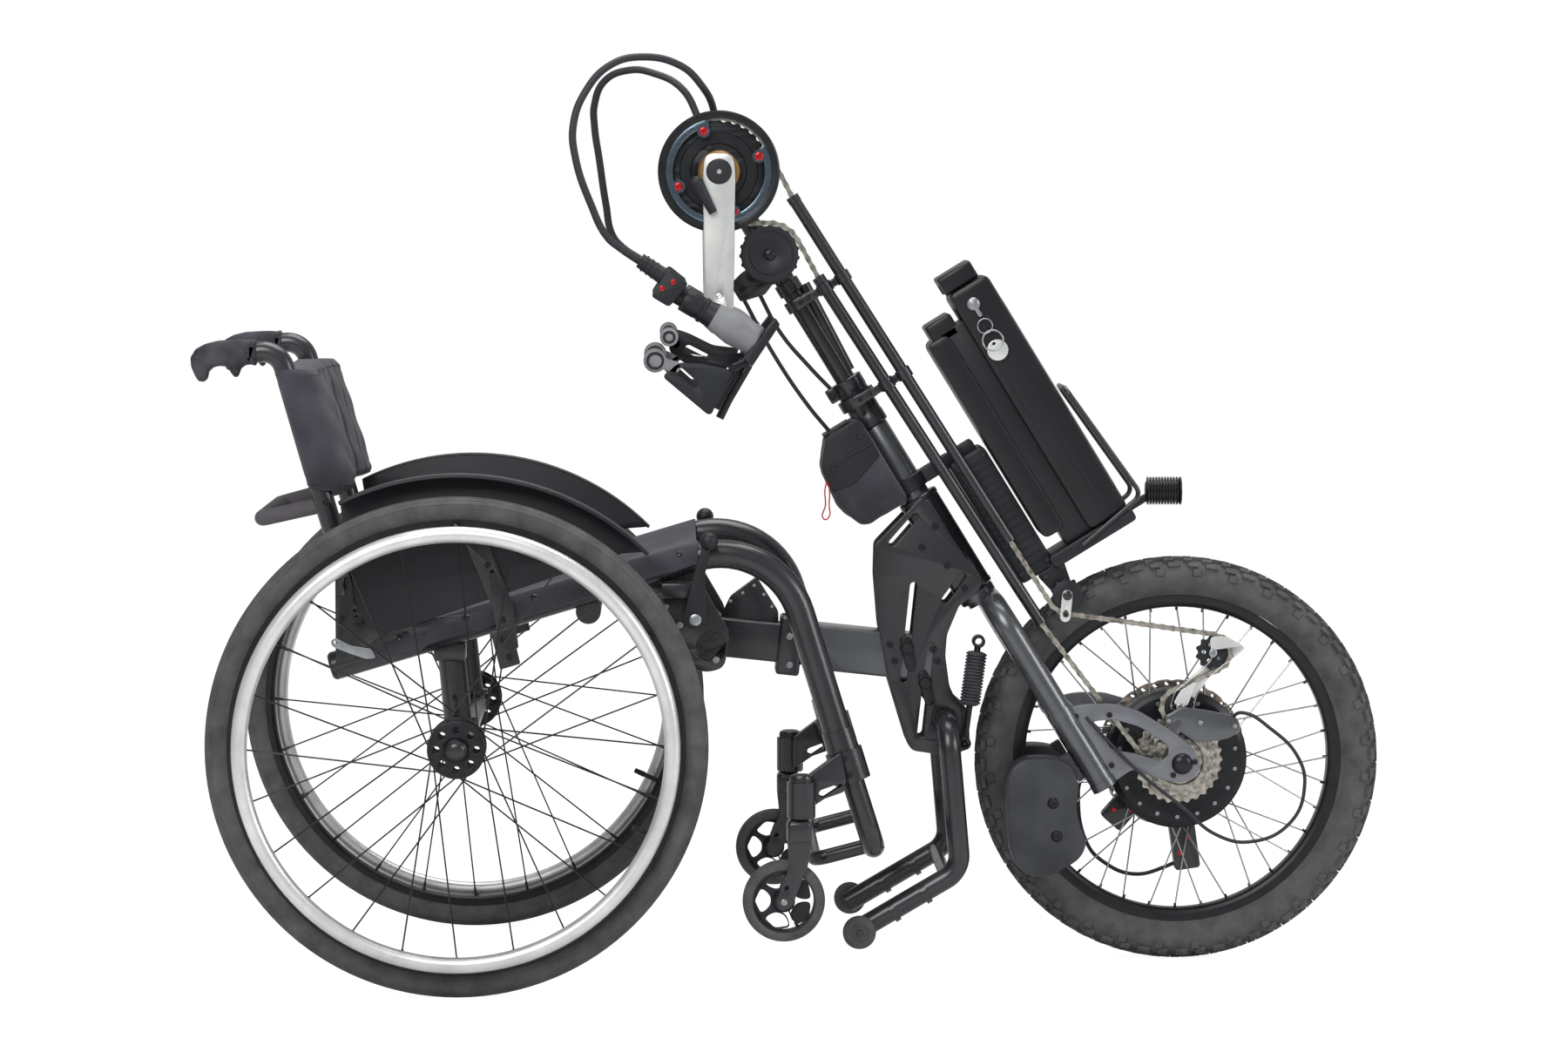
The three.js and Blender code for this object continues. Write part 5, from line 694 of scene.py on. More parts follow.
def hung(point, share):
    """A point of the padding's section, set on the leaning posts and drawn in at the hems."""
    height = cloth_foot + cloth_height * share
    edge = max(0, 1 - min(share, 1 - share) / 0.07)
    hem = max(0, 1 - abs(min(share, 1 - share) - 0.09) / 0.03)
    full = 1.06 - 0.16 * share - 0.1 * edge if point.x > 12 else 1
    x = 12 + (point.x - 12) * full if point.x > 12 else point.x
    x += 0.9 * math.sin(share * 19 + point.y / 23) * (point.x > 12)
    draw = 1 - 0.05 * edge ** 2 - 0.012 * hem
    over = abs(point.y) - post_side
    y = point.y + (0 if abs(point.y) < 180 else math.copysign(1, point.y) * over * (draw - 1) * 3)
    return Vector((x * (1 - 0.1 * edge ** 2 - 0.04 * hem) + fold.x - (height - fold.y) * slant, y, height))


bm = bmesh.new()
add(bm, drawn(section, 30, hung))
cushion = piece(bm, "backrest_cloth", woven_nylon, "backrest", "cloth", chair, "back_upholstery", smooth=70)
bm = bmesh.new()
for share in (0.05, 0.95):
    line = [hung(Vector(p), share) for p in section]
    for a, b in zip(line, line[1:]):
        if (b - a).length > 0.5:
            out = Vector((b.y - a.y, a.x - b.x, 0)).normalized() * 0.35
            rod(bm, a.lerp(b, 0.15) + out, a.lerp(b, 0.7) + out, 0.45, segments=5)
piece(bm, "backrest_stitches", woven_nylon, "backrest", "cloth", chair, "back_upholstery")

# Push grips: moulded rubber, hooked down at the rear, with a finger bump below and a ribbed back.
# Moulded grip rubber: charcoal, matt, with a fine leather-like texture from the mould.
grip_rubber, tree, shader, where = finish_of("moulded_grip_rubber", "#2e2f34", 0.75, Specular_IOR_Level=0.3)
hide = node(tree, "TexVoronoi", {"Scale": metre / 1.4}, {"Vector": where})
worn = node(tree, "TexNoise", {"Scale": metre / 22.2, "Detail": 5}, {"Vector": where})
dressed(tree, shader, hide, 0.3, worn, ("#26272c", "#414247"), (0.35, 0.7))

hook_shares = [(0, 0.98), (0.2, 1), (0.4, 0.99), (0.6, 0.97), (0.78, 0.9), (0.92, 0.78), (1, 0.58),
               (0.99, 0.36), (0.93, 0.14), (0.88, 0.02), (0.8, 0), (0.75, 0.08), (0.73, 0.24), (0.66, 0.34),
               (0.56, 0.38), (0.44, 0.36), (0.38, 0.2), (0.33, 0.11), (0.29, 0.12), (0.24, 0.32), (0.16, 0.4),
               (0, 0.42)]
hook_front, hook_foot, hook_length, hook_height = -238, 721, 78, 50
hook_half, rib_count, rib_pitch = 16, 15, 3.6
outline = [(hook_front - hook_length * a, hook_foot + hook_height * u) for a, u in hook_shares]
for name, side in sides:
    bm = bmesh.new()
    y = side * post_side
    plate(bm, outline, y - hook_half, y + hook_half, corner=2, edge=8)
    for i in range(rib_count):
        x = -243 - i * rib_pitch
        rise = 770.6 - 0.06 * i if i < 9 else 770 - (i - 8) * (i - 8) * 0.22
        part = bmesh.new()
        drum(part, x, rise - 2.2, y - 10, y + 10, 1.7, segments=10)
        add(bm, part)
    turned(bm, [(13.4, -238.2), (15.6, -239), (15.6, -243), (13.4, -244)],
           Matrix.Translation((0, y, 755.9)) @ Matrix.Rotation(-math.pi / 2, 4, "Z"), steps=36)
    piece(bm, f"hooked_grip_{name}", grip_rubber, "backrest", "rubber", chair, f"push_grip_{name}", smooth=50)

# Footrest: a bent tube let into both front legs, with a lower loop of thinner tube for the feet.
leg = (foot - knee).normalized()
leg_way = Vector((leg.x, 0, leg.y))
let_in = foot - leg * 60
toe, loop_rear, loop_half = Vector((494, 161)), Vector((424, 143)), 150
bm = bmesh.new()
tube(bm, [(let_in.x, -tube_side, let_in.y), (toe.x, -tube_side, toe.y), (toe.x, tube_side, toe.y),
          (let_in.x, tube_side, let_in.y)], 13.5, 34)
tube(bm, [(toe.x, -loop_half, toe.y), (loop_rear.x, -loop_half, loop_rear.y),
          (loop_rear.x, loop_half, loop_rear.y), (toe.x, loop_half, toe.y)], 9, 17)
for side in (-1, 1):
    end = Vector((foot.x, side * tube_side, foot.y))
    rod(bm, end + leg_way * 0.4, end + leg_way * 9, 16.4, 15, 28)
piece(bm, "footrest_tubes", powder_coat, "chair", "black_paint", chair, "footrest")

# Front casters: a barrel on a slotted arm that is clamped round each front leg, a fork that swivels in
# it, and a small moulded wheel with a polyurethane tread.
wheel_x, wheel_z, swivel_x, caster_side, caster_half = 384.3, 107, 405, 245, 17
barrel_foot, barrel_top = 207, 248
end = Vector((foot.x, tube_side, foot.y))
high, low = end - leg_way * 26, end + leg_way * 12
for name, side in sides:
    flip = chair @ mirrored(side)
    bm = bmesh.new()
    rod(bm, high, low, 22.4, 22.4, 40)
    rod(bm, high - leg_way * 26, high, 18.6, 19.6, 36)
    plate(bm, [(408, 250), (high.x - 4, high.z + 2), (low.x - 8, low.z), (408, 210)], 215.1, 237,
          [slot((431, 233), (451, 240), 13)], corner=5, edge=1.6)
    rod(bm, (swivel_x, caster_side, barrel_foot), (swivel_x, caster_side, barrel_top), 17, 17, 32)
    for cap, z in (([(0, 0), (15.4, 0), (16.6, 1.4), (16.6, 3), (0, 3)], barrel_foot - 2.6),
                   ([(0, 10), (9, 9.6), (13, 7.6), (14, 5), (14, 0), (0, 0)], barrel_top)):
        turned(bm, cap, Matrix.Translation((swivel_x, caster_side, z)) @ upright, steps=32, closed=False)
    piece(bm, f"caster_clamp_{name}", powder_coat, "chair", "black_paint", flip, f"caster_housing_{name}")
    bm = bmesh.new()
    for spot in (high.lerp(low, 0.2), high.lerp(low, 0.75)):
        screw(bm, spot.x - 1, spot.z, 221.6, 1, 3.6)
    rod(bm, (swivel_x, caster_side, 204.2), (swivel_x, caster_side, 205.6), 13.5, 13.5, 28)
    piece(bm, f"caster_clamp_screws_{name}", black_steel, "chair", "steel", flip, f"caster_housing_{name}")
    bm = bmesh.new()
    box(bm, 388, 417, caster_side - caster_half, caster_side + caster_half, 172, 203.6, 6, 4)
    rod(bm, (swivel_x, caster_side, 203), (swivel_x, caster_side, 239), 6)
    for y0, y1 in ((227.6, 231.4), (258.6, 262.4)):
        plate(bm, [(388, 180), (416, 180), (413, 152), (394, 102), (385, 97), (377, 99), (375, 109),
                   (391, 152)], y0, y1, [ring(wheel_x + 3, wheel_z + 17, 2.6, 12)], corner=4, edge=1)
    drum(bm, wheel_x, wheel_z, caster_side - caster_half, caster_side + caster_half, 4)
    piece(bm, f"caster_fork_arms_{name}", powder_coat, f"caster_{name}", "black_paint", flip,
          f"caster_fork_{name}")
    bm = bmesh.new()
    screw(bm, wheel_x, wheel_z, 262.2, 1, 3.6, 1.6)
    piece(bm, f"caster_axle_screw_{name}", zinc_steel, f"caster_{name}", "steel", flip, f"caster_fork_{name}")
    at = flip @ Matrix.Translation((wheel_x, caster_side, wheel_z))
    bm = bmesh.new()
    turned(bm, [(37.5, -11.6), (41, -12), (46, -9.6), (48.4, -5.6), (49, 0), (48.4, 5.6), (46, 9.6), (41, 12),
                (37.5, 11.6)], steps=64)
    piece(bm, f"caster_tread_{name}", tyre_rubber, f"caster_roller_{name}", "tyre", at,
          f"caster_wheel_{name}")
    bm = bmesh.new()
    turned(bm, [(4.3, -12), (11, -12), (12.8, -10), (12.8, 10), (11, 12), (4.3, 12)], steps=32)
    windows = []
    for i in range(5):
        mid = math.tau * (i + 0.5) / 5
        spots = ((17, -0.32), (15.5, 0), (17, 0.32), (24, 0.5), (31, 0.5), (34.5, 0), (31, -0.5), (24, -0.5))
        windows.append(rounded([(r * math.cos(mid + a), r * math.sin(mid + a)) for r, a in spots], 4, 3))
    plate(bm, ring(0, 0, 37.6, 64), -4.5, 4.5, [*windows, ring(0, 0, 12, 32)], edge=1.4)
    turned(bm, [(35.4, -11), (37.6, -11.4), (37.6, 11.4), (35.4, 11)], steps=64)
    piece(bm, f"caster_centre_{name}", moulded_abs, f"caster_roller_{name}", "black_plastic", at,
          f"caster_wheel_{name}")


# Dock: a cross tube hung between the seat rails by two latched plates; a square bar welded to it
# reaches ahead between the knees and carries the clamp of the front unit's beam.
# Satin mid-grey lacquer over aluminium, a shade lighter than the black parts and a little cloudy.
grey_lacquer, tree, shader, where = finish_of("satin_graphite_lacquer", "#4e5053", 0.27, 0.6, Coat_Weight=0.3)
cloud = node(tree, "TexNoise", {"Scale": metre / 83.3, "Detail": 8, "Roughness": 0.6}, {"Vector": where})
flake = node(tree, "TexVoronoi", {"Scale": metre / 0.55}, {"Vector": where})
dressed(tree, shader, flake, 0.05, cloud, ("#484a4d", "#55575a"), (0.3, 0.7))

cross_x, cross_z, bar_slope, bar_start = 300, 404, -0.105, 402
dock_in, dock_out, latch_x, latch_z = 176, 184, 280, 440


def along_bar(bm, x0, x1, half_height, half_width, drop=0, ease=3):
    """A square tube along the dock's sloping bar, between two places ahead."""
    part = bmesh.new()
    middle, tilt = (x0 + x1) / 2, math.atan(bar_slope)
    half_length = (x1 - x0) / 2 / math.cos(tilt)
    box(part, -half_length, half_length, -half_width, half_width, -half_height, half_height, ease, 3)
    add(bm, part, Matrix.Translation((middle, 0, bar_start - drop + (middle - cross_x) * bar_slope))
        @ Matrix.Rotation(-tilt, 4, "Y"))


bm = bmesh.new()
drum(bm, cross_x, cross_z, -dock_out, dock_out, 19, segments=48)
along_bar(bm, cross_x, 522, 24, 21)
along_bar(bm, 383, 412, 36, 28, 2, 4)
plate(bm, [(308, 415), (325, 450), (357, 474), (384, 431), (384, 408)], -4, 4, corner=4, edge=1)
dock_outline = [(216, 462), (193, 436), (230, 366), (262, 384), (292, 372), (315, 378), (322, 420),
                (286, 482), (240, 470)]
for side in (-1, 1):
    plate(bm, dock_outline, side * dock_in, side * dock_out,
          [ring(236, 400, 7.5, 20), ring(222, 436, 6, 20), ring(281, 396, 4, 16)], corner=10, edge=1.2)
    box(bm, 240, 286, side * dock_in, side * (tube_side + tube_radius), 464, rail_height(240) - 17.6, 1.5)
    for x in (246, 278):
        drum(bm, x, 470, side * dock_out, side * (dock_out + 6), 5, segments=20)
    box(bm, 216, 224, side * dock_out, side * (dock_out + 3), 418, 452, 1)
piece(bm, "dock_cross_tube_and_plates", powder_coat, "chair", "black_paint", chair, "dock_frame")
bm = bmesh.new()
for side in (-1, 1):
    drum(bm, latch_x, latch_z, side * dock_in, side * 235, 5)
    screw(bm, latch_x, latch_z, side * 233.6, side, 7, 3)
    for x, z, radius in ((209, 438, 3.4), (246, 452, 3.4), (262, 430, 4), (305, 388, 4), (235, 379, 3)):
        screw(bm, x, z, side * dock_out, side, radius)
    for z in (377, 412):
        screw(bm, 397, z - 10, side * 28, side, 4.2, 3)
for x, z in ((325, 447), (340, 457), (354, 466), (366, 455), (376, 440)):
    drum(bm, x, z - 3, -5.2, 5.2, 2, segments=14)
piece(bm, "dock_pins_and_screws", zinc_steel, "chair", "steel", chair, "dock_frame")

# Dock levers: moulded paddle levers with a ball end, one on each dock plate's pivot pin.
arm = [(268, 452), (263, 436), (276, 428), (293, 437), (291, 492), (301, 533), (290, 533), (278, 494)]
ball_spot, ball_radius = Vector((296, 230, 533)), 11
for name, side in sides:
    flip = chair @ mirrored(side)
    bm = bmesh.new()
    plate(bm, arm, 227, 233, [ring(latch_x, latch_z, 5.3, 24)], corner=5, edge=1.4)
    bmesh.ops.create_uvsphere(bm, u_segments=32, v_segments=20, radius=ball_radius,
                              matrix=Matrix.Translation(ball_spot))
    drum(bm, latch_x, latch_z, 226.6, 233.4, 11, 10.4, segments=36)
    piece(bm, f"dock_paddle_{name}", moulded_abs, f"latch_{name}", "black_plastic", flip,
          f"dock_lever_{name}")

# Beam: the front unit's square tube, slid over the dock's bar and clamped, bolted between the plates.
beam_rear, beam_front = 413, 582
bm = bmesh.new()
part = bmesh.new()
loops = []
for half_height, half_width, ease in ((28, 26.7, 4), (24.5, 23.2, 2)):
    corners = [(s * (half_width - ease) + ease * math.cos(a), t * (half_height - ease) + ease * math.sin(a))
               for s, t, base in ((1, 1, 0), (-1, 1, 90), (-1, -1, 180), (1, -1, 270))
               for a in [math.radians(base + 22.5 * k) for k in range(5)]]
    for x in (beam_rear, beam_front):
        centre = bar_start + (x - cross_x) * bar_slope
        level = [part.verts.new((x, y, centre + z)) for y, z in corners]
        loops.append([part.edges.new(pair) for pair in zip(level, level[1:] + level[:1])])
for a, b in ((0, 1), (3, 2), (2, 0), (1, 3)):
    bmesh.ops.bridge_loops(part, edges=loops[a] + loops[b])
add(bm, part)
piece(bm, "beam_tube", grey_lacquer, "chair", "grey_paint", chair, "dock_beam")

# Side plates: two laser-cut aluminium plates with long slots, bolted to the head tube and the beam.
plate_outline = [(502, 515), (559, 574), (633, 471), (629, 456), (605, 440), (590, 404), (588, 378),
                 (593, 341), (600, 326), (616, 312), (619, 264), (604, 258), (575, 257), (548, 261),
                 (541, 270), (518, 346), (506, 415), (501, 476)]
slots = [slot(a, b, 9) for a, b in (((551, 549), (523, 517)), ((609, 476), (588, 447)),
                                    ((549, 464), (537, 350)), ((570, 391), (558, 281)))]
plate_in, plate_out, damper_x, damper_foot = 27, 32, 610, 273
for name, side in sides:
    bm = bmesh.new()
    plate(bm, plate_outline, side * plate_in, side * plate_out, [*slots, ring(586, 300, 13.4, 32)], corner=5,
          edge=0.9)
    piece(bm, f"slotted_plate_{name}", powder_coat, "chair", "black_paint", chair, f"side_plate_{name}")
    bm = bmesh.new()
    for x, z in ((578, 372), (526, 372), (520, 392), (573, 386), (590, 489), (559, 512), (575, 537),
                 (611, 462)):
        screw(bm, x, z, side * plate_out, side, 4.2, 2.6)
    for x, z, tilt in ((541, 388, -0.2), (563, 345, -0.25)):
        tab = bmesh.new()
        plate(tab, slot((0, 8), (0, -22), 13), plate_out, plate_out + 4, edge=1.4)
        drum(tab, 0, 0, plate_out + 4, plate_out + 7.6, 7.4, 6.4, segments=32)
        add(bm, tab, mirrored(side) @ Matrix.Translation((x, 0, z)) @ Matrix.Rotation(tilt, 4, "Y"))
    if name == "right":
        drum(bm, damper_x, damper_foot, -plate_out, -66, 4)
        screw(bm, damper_x, damper_foot, -63.4, -1, 5, 2.6)
    piece(bm, f"side_plate_screws_{name}", black_steel, "chair", "steel", chair, f"side_plate_{name}")

# Stand: one tube bent into a yoke through both side plates, with a small roller at each foot so that
# the front unit rolls when it is undocked.
stand_side, roller_x, roller_z = 125, 478, 54
yoke = [(474, 51.5), (601, 126), (586, 300)]
bm = bmesh.new()
tube(bm, [(x, -stand_side, z) for x, z in yoke] + [(x, stand_side, z) for x, z in reversed(yoke)], 13, 32)
drum(bm, 584, 119, -stand_side, stand_side, 8, segments=28)
for side in (-1, 1):
    drum(bm, roller_x, roller_z, side * stand_side, side * 157, 4)
    for x, z in ((558, 99), (520, 77)):
        rod(bm, (x - 3, side * stand_side, z - 1.8), (x + 3, side * stand_side, z + 1.8), 14.2, segments=32)
piece(bm, "stand_yoke", powder_coat, "chair", "black_paint", chair, "stand")
for name, side in sides:
    at = chair @ Matrix.Translation((roller_x, side * 147.5, roller_z)) @ mirrored(side)
    bm = bmesh.new()
    turned(bm, both_walls([(4.3, -7.5), (8, -7.5), (8.6, -6.6), (11, -6.6), (11.6, -7.5), (15.6, -7.5),
                           (18.6, -6), (20, -3)]), steps=56)
    piece(bm, f"stand_roller_{name}", tyre_rubber, f"stand_roller_{name}", "tyre", at, f"stand_wheel_{name}")

# Steering damper: a spring rod inside a pleated rubber boot, with an eye at each end.
lower, upper, pleat_count = Vector((damper_x, -55, damper_foot)), Vector((627, -55, 398)), 16
boot_end = (upper - lower).length * 0.9
boot = [(0, 46.5), (6.5, 46.5), (10.2, 48)]
for i in range(pleat_count):
    at = 49 + i * (boot_end - 50.5) / pleat_count
    boot += [(10.4, at), (12.4, at + 1), (13, at + 2), (12.4, at + 3)]
boot += [(10.2, boot_end - 1), (6.5, boot_end), (0, boot_end)]
heading = math.atan2(upper.x - lower.x, upper.z - lower.z)
bm = bmesh.new()
turned(bm, boot, Matrix.Translation(lower) @ Matrix.Rotation(heading, 4, "Y") @ upright, steps=40,
       closed=False)
piece(bm, "damper_boot", grip_rubber, "damper", "rubber", chair, "steering_damper", smooth=20)
bm = bmesh.new()
rod(bm, lower.lerp(upper, 0.06), lower.lerp(upper, 0.42), 4, segments=20)
rod(bm, lower.lerp(upper, 0.86), lower.lerp(upper, 0.95), 4, segments=20)
for eye in (lower, upper):
    turned(bm, both_walls([(4.3, -8), (7, -8), (8, -7)]), Matrix.Translation(eye), steps=32)
piece(bm, "damper_rod_and_eyes", black_steel, "damper", "rubber", chair, "steering_damper")

# Head tube: a bored aluminium tube with a square lug that the side plates are bolted to. From here
# on places are in the steering frame: x ahead of the steering axis and z up along it.
front_axle_x, front_radius, rake, axle_ahead = 875, 249, math.radians(31.5), 104.5
steering = chair @ Matrix.Translation((front_axle_x - axle_ahead * math.cos(rake), 0,
                                       front_radius - axle_ahead * math.sin(rake)))
steering = steering @ Matrix.Rotation(-rake, 4, "Y")
lug_rear, lug_foot, lug_top, lug_half = -24, 322, 436, 26.7
bm = bmesh.new()
sleeve = [(17.4, 308), (24, 308), (25.4, 309.4), (25.4, 314), (24.6, 315), (24.6, 436), (25.4, 437),
          (25.4, 441.6), (24, 443), (17.4, 443)]
turned(bm, sleeve, upright, steps=56)
for side in (-1, 1):
    box(bm, lug_rear, 11, side * 17.6, side * lug_half, lug_foot, lug_top, 2)
box(bm, lug_rear, -18.5, -lug_half, lug_half, lug_foot, lug_top, 2)
piece(bm, "head_tube_and_lug", powder_coat, "chair", "black_paint", steering, "head_tube")

# Fork: round blades joined by a bent crown, the steerer above, and long windowed dropouts that carry
# the axle well ahead. Graphite lacquer, with grey anodised dropouts and domed black axle nuts.
blade_x, blade_side, dropout_in, dropout_out, blade_radius = 10, 72, 68, 76, 15.5
bm = bmesh.new()
tube(bm, [(blade_x, -blade_side, 26), (blade_x, -blade_side, 284), (blade_x, blade_side, 284),
          (blade_x, blade_side, 26)], blade_radius, 40)
turned(bm, [(12.8, 451), (12.8, 545), (16.4, 545), (17, 544), (17, 452), (17, 290), (12.8, 290)], upright,
       steps=48)
turned(bm, [(17, 296), (23, 296), (23.6, 298), (23.6, 306), (22, 307.4), (17, 307.4)], upright, steps=48)
for side in (-1, 1):
    for z0, z1, radius in ((24, 34, 16.4), (124, 136, 16.6)):
        rod(bm, (blade_x, side * blade_side, z0), (blade_x, side * blade_side, z1), radius, radius, 36)
piece(bm, "fork_blades_and_steerer", grey_lacquer, "steering", "grey_paint", steering, "fork")
# Grey anodised plate: mid grey, metallic and even, lighter where its edges catch the light.
grey_anodised, tree, shader, where = finish_of("grey_anodised_plate", "#6a6c71", 0.36, 0.6)
cloud = node(tree, "TexNoise", {"Scale": metre / 33.3, "Detail": 6}, {"Vector": where})
dressed(tree, shader, cloud, 0.05, cloud, ("#5b5d62", "#7b7d82"))
bm = bmesh.new()
dropout_outline = [(10, 134), (30, 129), (43, 124), (72, 106), (93, 83), (113, 45), (126, 10), (124, -12),
                   (112, -22), (97, -22), (78, -9), (63, 8), (50, 26), (10, 24)]
window = rounded([(38, 102), (62, 90), (83, 67), (102, 28), (95, 17), (84, 16), (63, 40), (40, 60)], 6, 4)
for side in (-1, 1):
    plate(bm, dropout_outline, side * dropout_in, side * dropout_out, [window], corner=7, edge=1.4)
    drum(bm, axle_ahead, 0, side * (dropout_in - 0.4), side * (dropout_out + 0.6), 20, 19, segments=48)
drum(bm, axle_ahead, 0, -dropout_in, dropout_in, 6, segments=24)
piece(bm, "dropouts_and_axle", grey_anodised, "steering", "grey_paint", steering, "fork")
bm = bmesh.new()
for side in (-1, 1):
    nut = [(0, 84), (4, 83.8), (9, 82.4), (12, 79.6), (13, 76.7), (0, 76.7)]
    turned(bm, [(radius, side * y) for radius, y in nut], Matrix.Translation((axle_ahead, 0, 0)), steps=40,
           closed=False)
    for x, z in ((24, 118), (30, 44), (119, -6), (88, -6), (60, 98)):
        screw(bm, x, z, side * dropout_out, side, 3.6, 2)
piece(bm, "dropout_screws", black_steel, "steering", "grey_paint", steering, "fork")


# Front tyre: a knobbly tyre with two rows of tread blocks along the crown and one on each shoulder.
front_hub = chair @ Matrix.Translation((front_axle_x, 0, front_radius))
knob_rows, knob_pitch = 64, math.tau / 64
tyre_profile = [(202.4, -15.5), (207, -19), (214, -23.8), (222, -26.4), (230, -26), (238, -21.5), (243, -13),
                (244.8, -5)]
bm = bmesh.new()
turned(bm, both_walls(tyre_profile), front_hub, steps=120)


def knob(bm, angle, radius, y, lean, length, width, height):
    """One tread block, set on the tyre at its angle and leaned to the shoulder."""
    part = bmesh.new()
    bmesh.ops.create_cone(part, cap_ends=True, segments=4, radius1=0.78, radius2=0.66, depth=1,
                          matrix=Matrix.Rotation(math.pi / 4, 4, "Z"))
    out = Matrix.Rotation(angle, 4, "Y") @ Matrix.Translation((0, y, radius)) @ Matrix.Rotation(-lean, 4, "X")
    add(bm, part, front_hub @ out @ Matrix.Diagonal((length, width, height, 1)))


for i, at in enumerate(turns_of(knob_rows)):
    for row, y in enumerate((-12.6, -4.2, 4.2, 12.6)):
        step = knob_pitch / 2 if row in (0, 2) else 0
        drop = 1.9 if row in (0, 3) else 0
        knob(bm, at + step, 246 - drop, y, y * 0.03, 13 if i % 2 else 11, 6.2, 5.4)
    for side in (-1, 1):
        knob(bm, at + knob_pitch / 4 * side, 239.3, side * 21.6, side * 0.9, 12 if i % 2 else 15, 6.4, 5.6)
        if i % 2:
            knob(bm, at, 231.5, side * 25.6, side * 1.3, 10, 9, 3.4)
piece(bm, "knobbly_tyre", tyre_rubber, "front", "tyre", Matrix(), "front_tyre")

# Front wheel: a box-section alloy rim on a hub motor, laced with 36 bright spokes in black nipples;
# a slotted brake disc is bolted to its left face.
bm = bmesh.new()
rim_profile = [(202, -13), (202, -15), (194, -15), (189, -13), (187, -10), (187, 10), (189, 13), (194, 15),
               (202, 15), (202, 13), (197, 12), (195, 0), (197, -12)]
turned(bm, rim_profile, front_hub, steps=120)
motor = [(6.4, -63), (15.6, -63), (17, -61.6), (17, -26), (27, -24), (36, -22.4), (64, -20.4), (66, -21),
         (78, -21), (80, -19.4), (83, -18), (86, -15.5), (86, -9), (84.6, -8), (84.6, -2), (86, -1), (86, 19),
         (84.6, 20), (84.6, 26), (86, 27), (86, 34.5), (83, 38), (80, 40), (40, 40), (36, 43), (17, 43),
         (17, 62.6), (15.6, 64), (6.4, 64)]
turned(bm, motor, front_hub, steps=96)
for turn in turns_of(24):
    part = bmesh.new()
    box(part, -1.2, 1.2, -22.4, -20, 40, 62, 0.5, 1)
    add(bm, part, front_hub @ Matrix.Rotation(turn, 4, "Y"))
front_spokes, front_lean, flange_circle, rim_radius = 36, math.radians(14), 84, 188
for turn in turns_of(front_spokes):
    rod(bm, front_hub @ around(rim_radius + 0.5, turn), front_hub @ around(rim_radius - 6, turn), 1.9 / metre,
        1.6 / metre, 8)
piece(bm, "front_rim_and_motor", black_alloy, "front", "black_paint", Matrix(), "front_wheel")
bm = bmesh.new()
for i, turn in enumerate(turns_of(front_spokes)):
    way = 1 if i % 4 < 2 else -1
    head = around(flange_circle, turn + way * front_lean, (-12 if i % 2 else 31) + way * spoke_cant)
    rod(bm, head, around(rim_radius, turn, -3 if i % 2 else 3), spoke_radius, segments=8)
for turn in turns_of(18):
    screw(bm, *around(72, turn).xz, -20.6, -1, 2.6, 1.6)
piece(bm, "front_spokes_and_screws", zinc_steel, "front", "black_paint", front_hub, "front_wheel")

# Blued brake steel: brown-grey with fine turned lines where the pads have run.
brake_steel, tree, shader, where = finish_of("run_in_brake_steel", "#8f8377", 0.3, 0.9)
heat = node(tree, "TexNoise", {"Scale": metre / 23.8, "Detail": 5}, {"Vector": where})
dressed(tree, shader, heat, 0.04, heat, ("#75695f", "#a89d92"))
bm = bmesh.new()
disc_radius, disc_in, disc_out, cut_lean = 92, 46, 48, 0.09


def polar(radius, turn):
    """A place in a side view, at its radius and at a turn from straight ahead."""
    return radius * math.cos(turn), radius * math.sin(turn)


outline = [polar(disc_radius - (0 if i % 4 else 1.6), turn) for i, turn in enumerate(turns_of(96))]
cuts = [slot(polar(77, turn), polar(87.5, turn + cut_lean), 3, 5) for turn in turns_of(36)]
plate(bm, outline, disc_in, disc_out, [*cuts, ring(0, 0, 73, 72)], edge=0.3)
for turn in turns_of(6):
    arm = bmesh.new()
    plate(arm, [(12, -7), (74, -4.4), (74, 4.4), (12, 7)], disc_in + 0.2, disc_out - 0.2,
          [ring(27, 0, 3, 12)], edge=0.3)
    add(bm, arm, Matrix.Rotation(turn, 4, "Y"))
piece(bm, "brake_disc", brake_steel, "front", "black_paint", front_hub, "front_wheel")

# Sprockets: six stamped steel cogs with spacers between them, on the hub's freewheel.
# Nickel-plated steel: for cogs and chain, slightly warm, bright on the flanks and dark where oil sits.
nickel_steel, tree, shader, where = finish_of("nickel_plated_steel", "#8f8b82", 0.32, 0.9)
oil = node(tree, "TexNoise", {"Scale": metre / 8.3, "Detail": 5}, {"Vector": where})
dressed(tree, shader, oil, 0.03, oil, ("#5f5b54", "#a7a39a"), (0.3, 0.6))

chain_pitch, chain_y, cog_step, cog_half, carrier_radius = 12.7, -45, 5, 0.9, 21


def pitch_radius(teeth):
    """The radius of the circle that the chain's pins follow round a sprocket."""
    return chain_pitch / 2 / math.sin(math.pi / teeth)


def toothed(teeth):
    """A sprocket's outline, with its teeth short of the chain's pins."""
    tip = pitch_radius(teeth) - 1.6
    form = ((-0.5, 3.2), (-0.36, 2.9), (-0.2, 1.2), (-0.09, 0.1), (0.09, 0.1), (0.2, 1.2), (0.36, 2.9))
    return [polar(tip - drop, math.tau * (i + share) / teeth) for i in range(teeth) for share, drop in form]


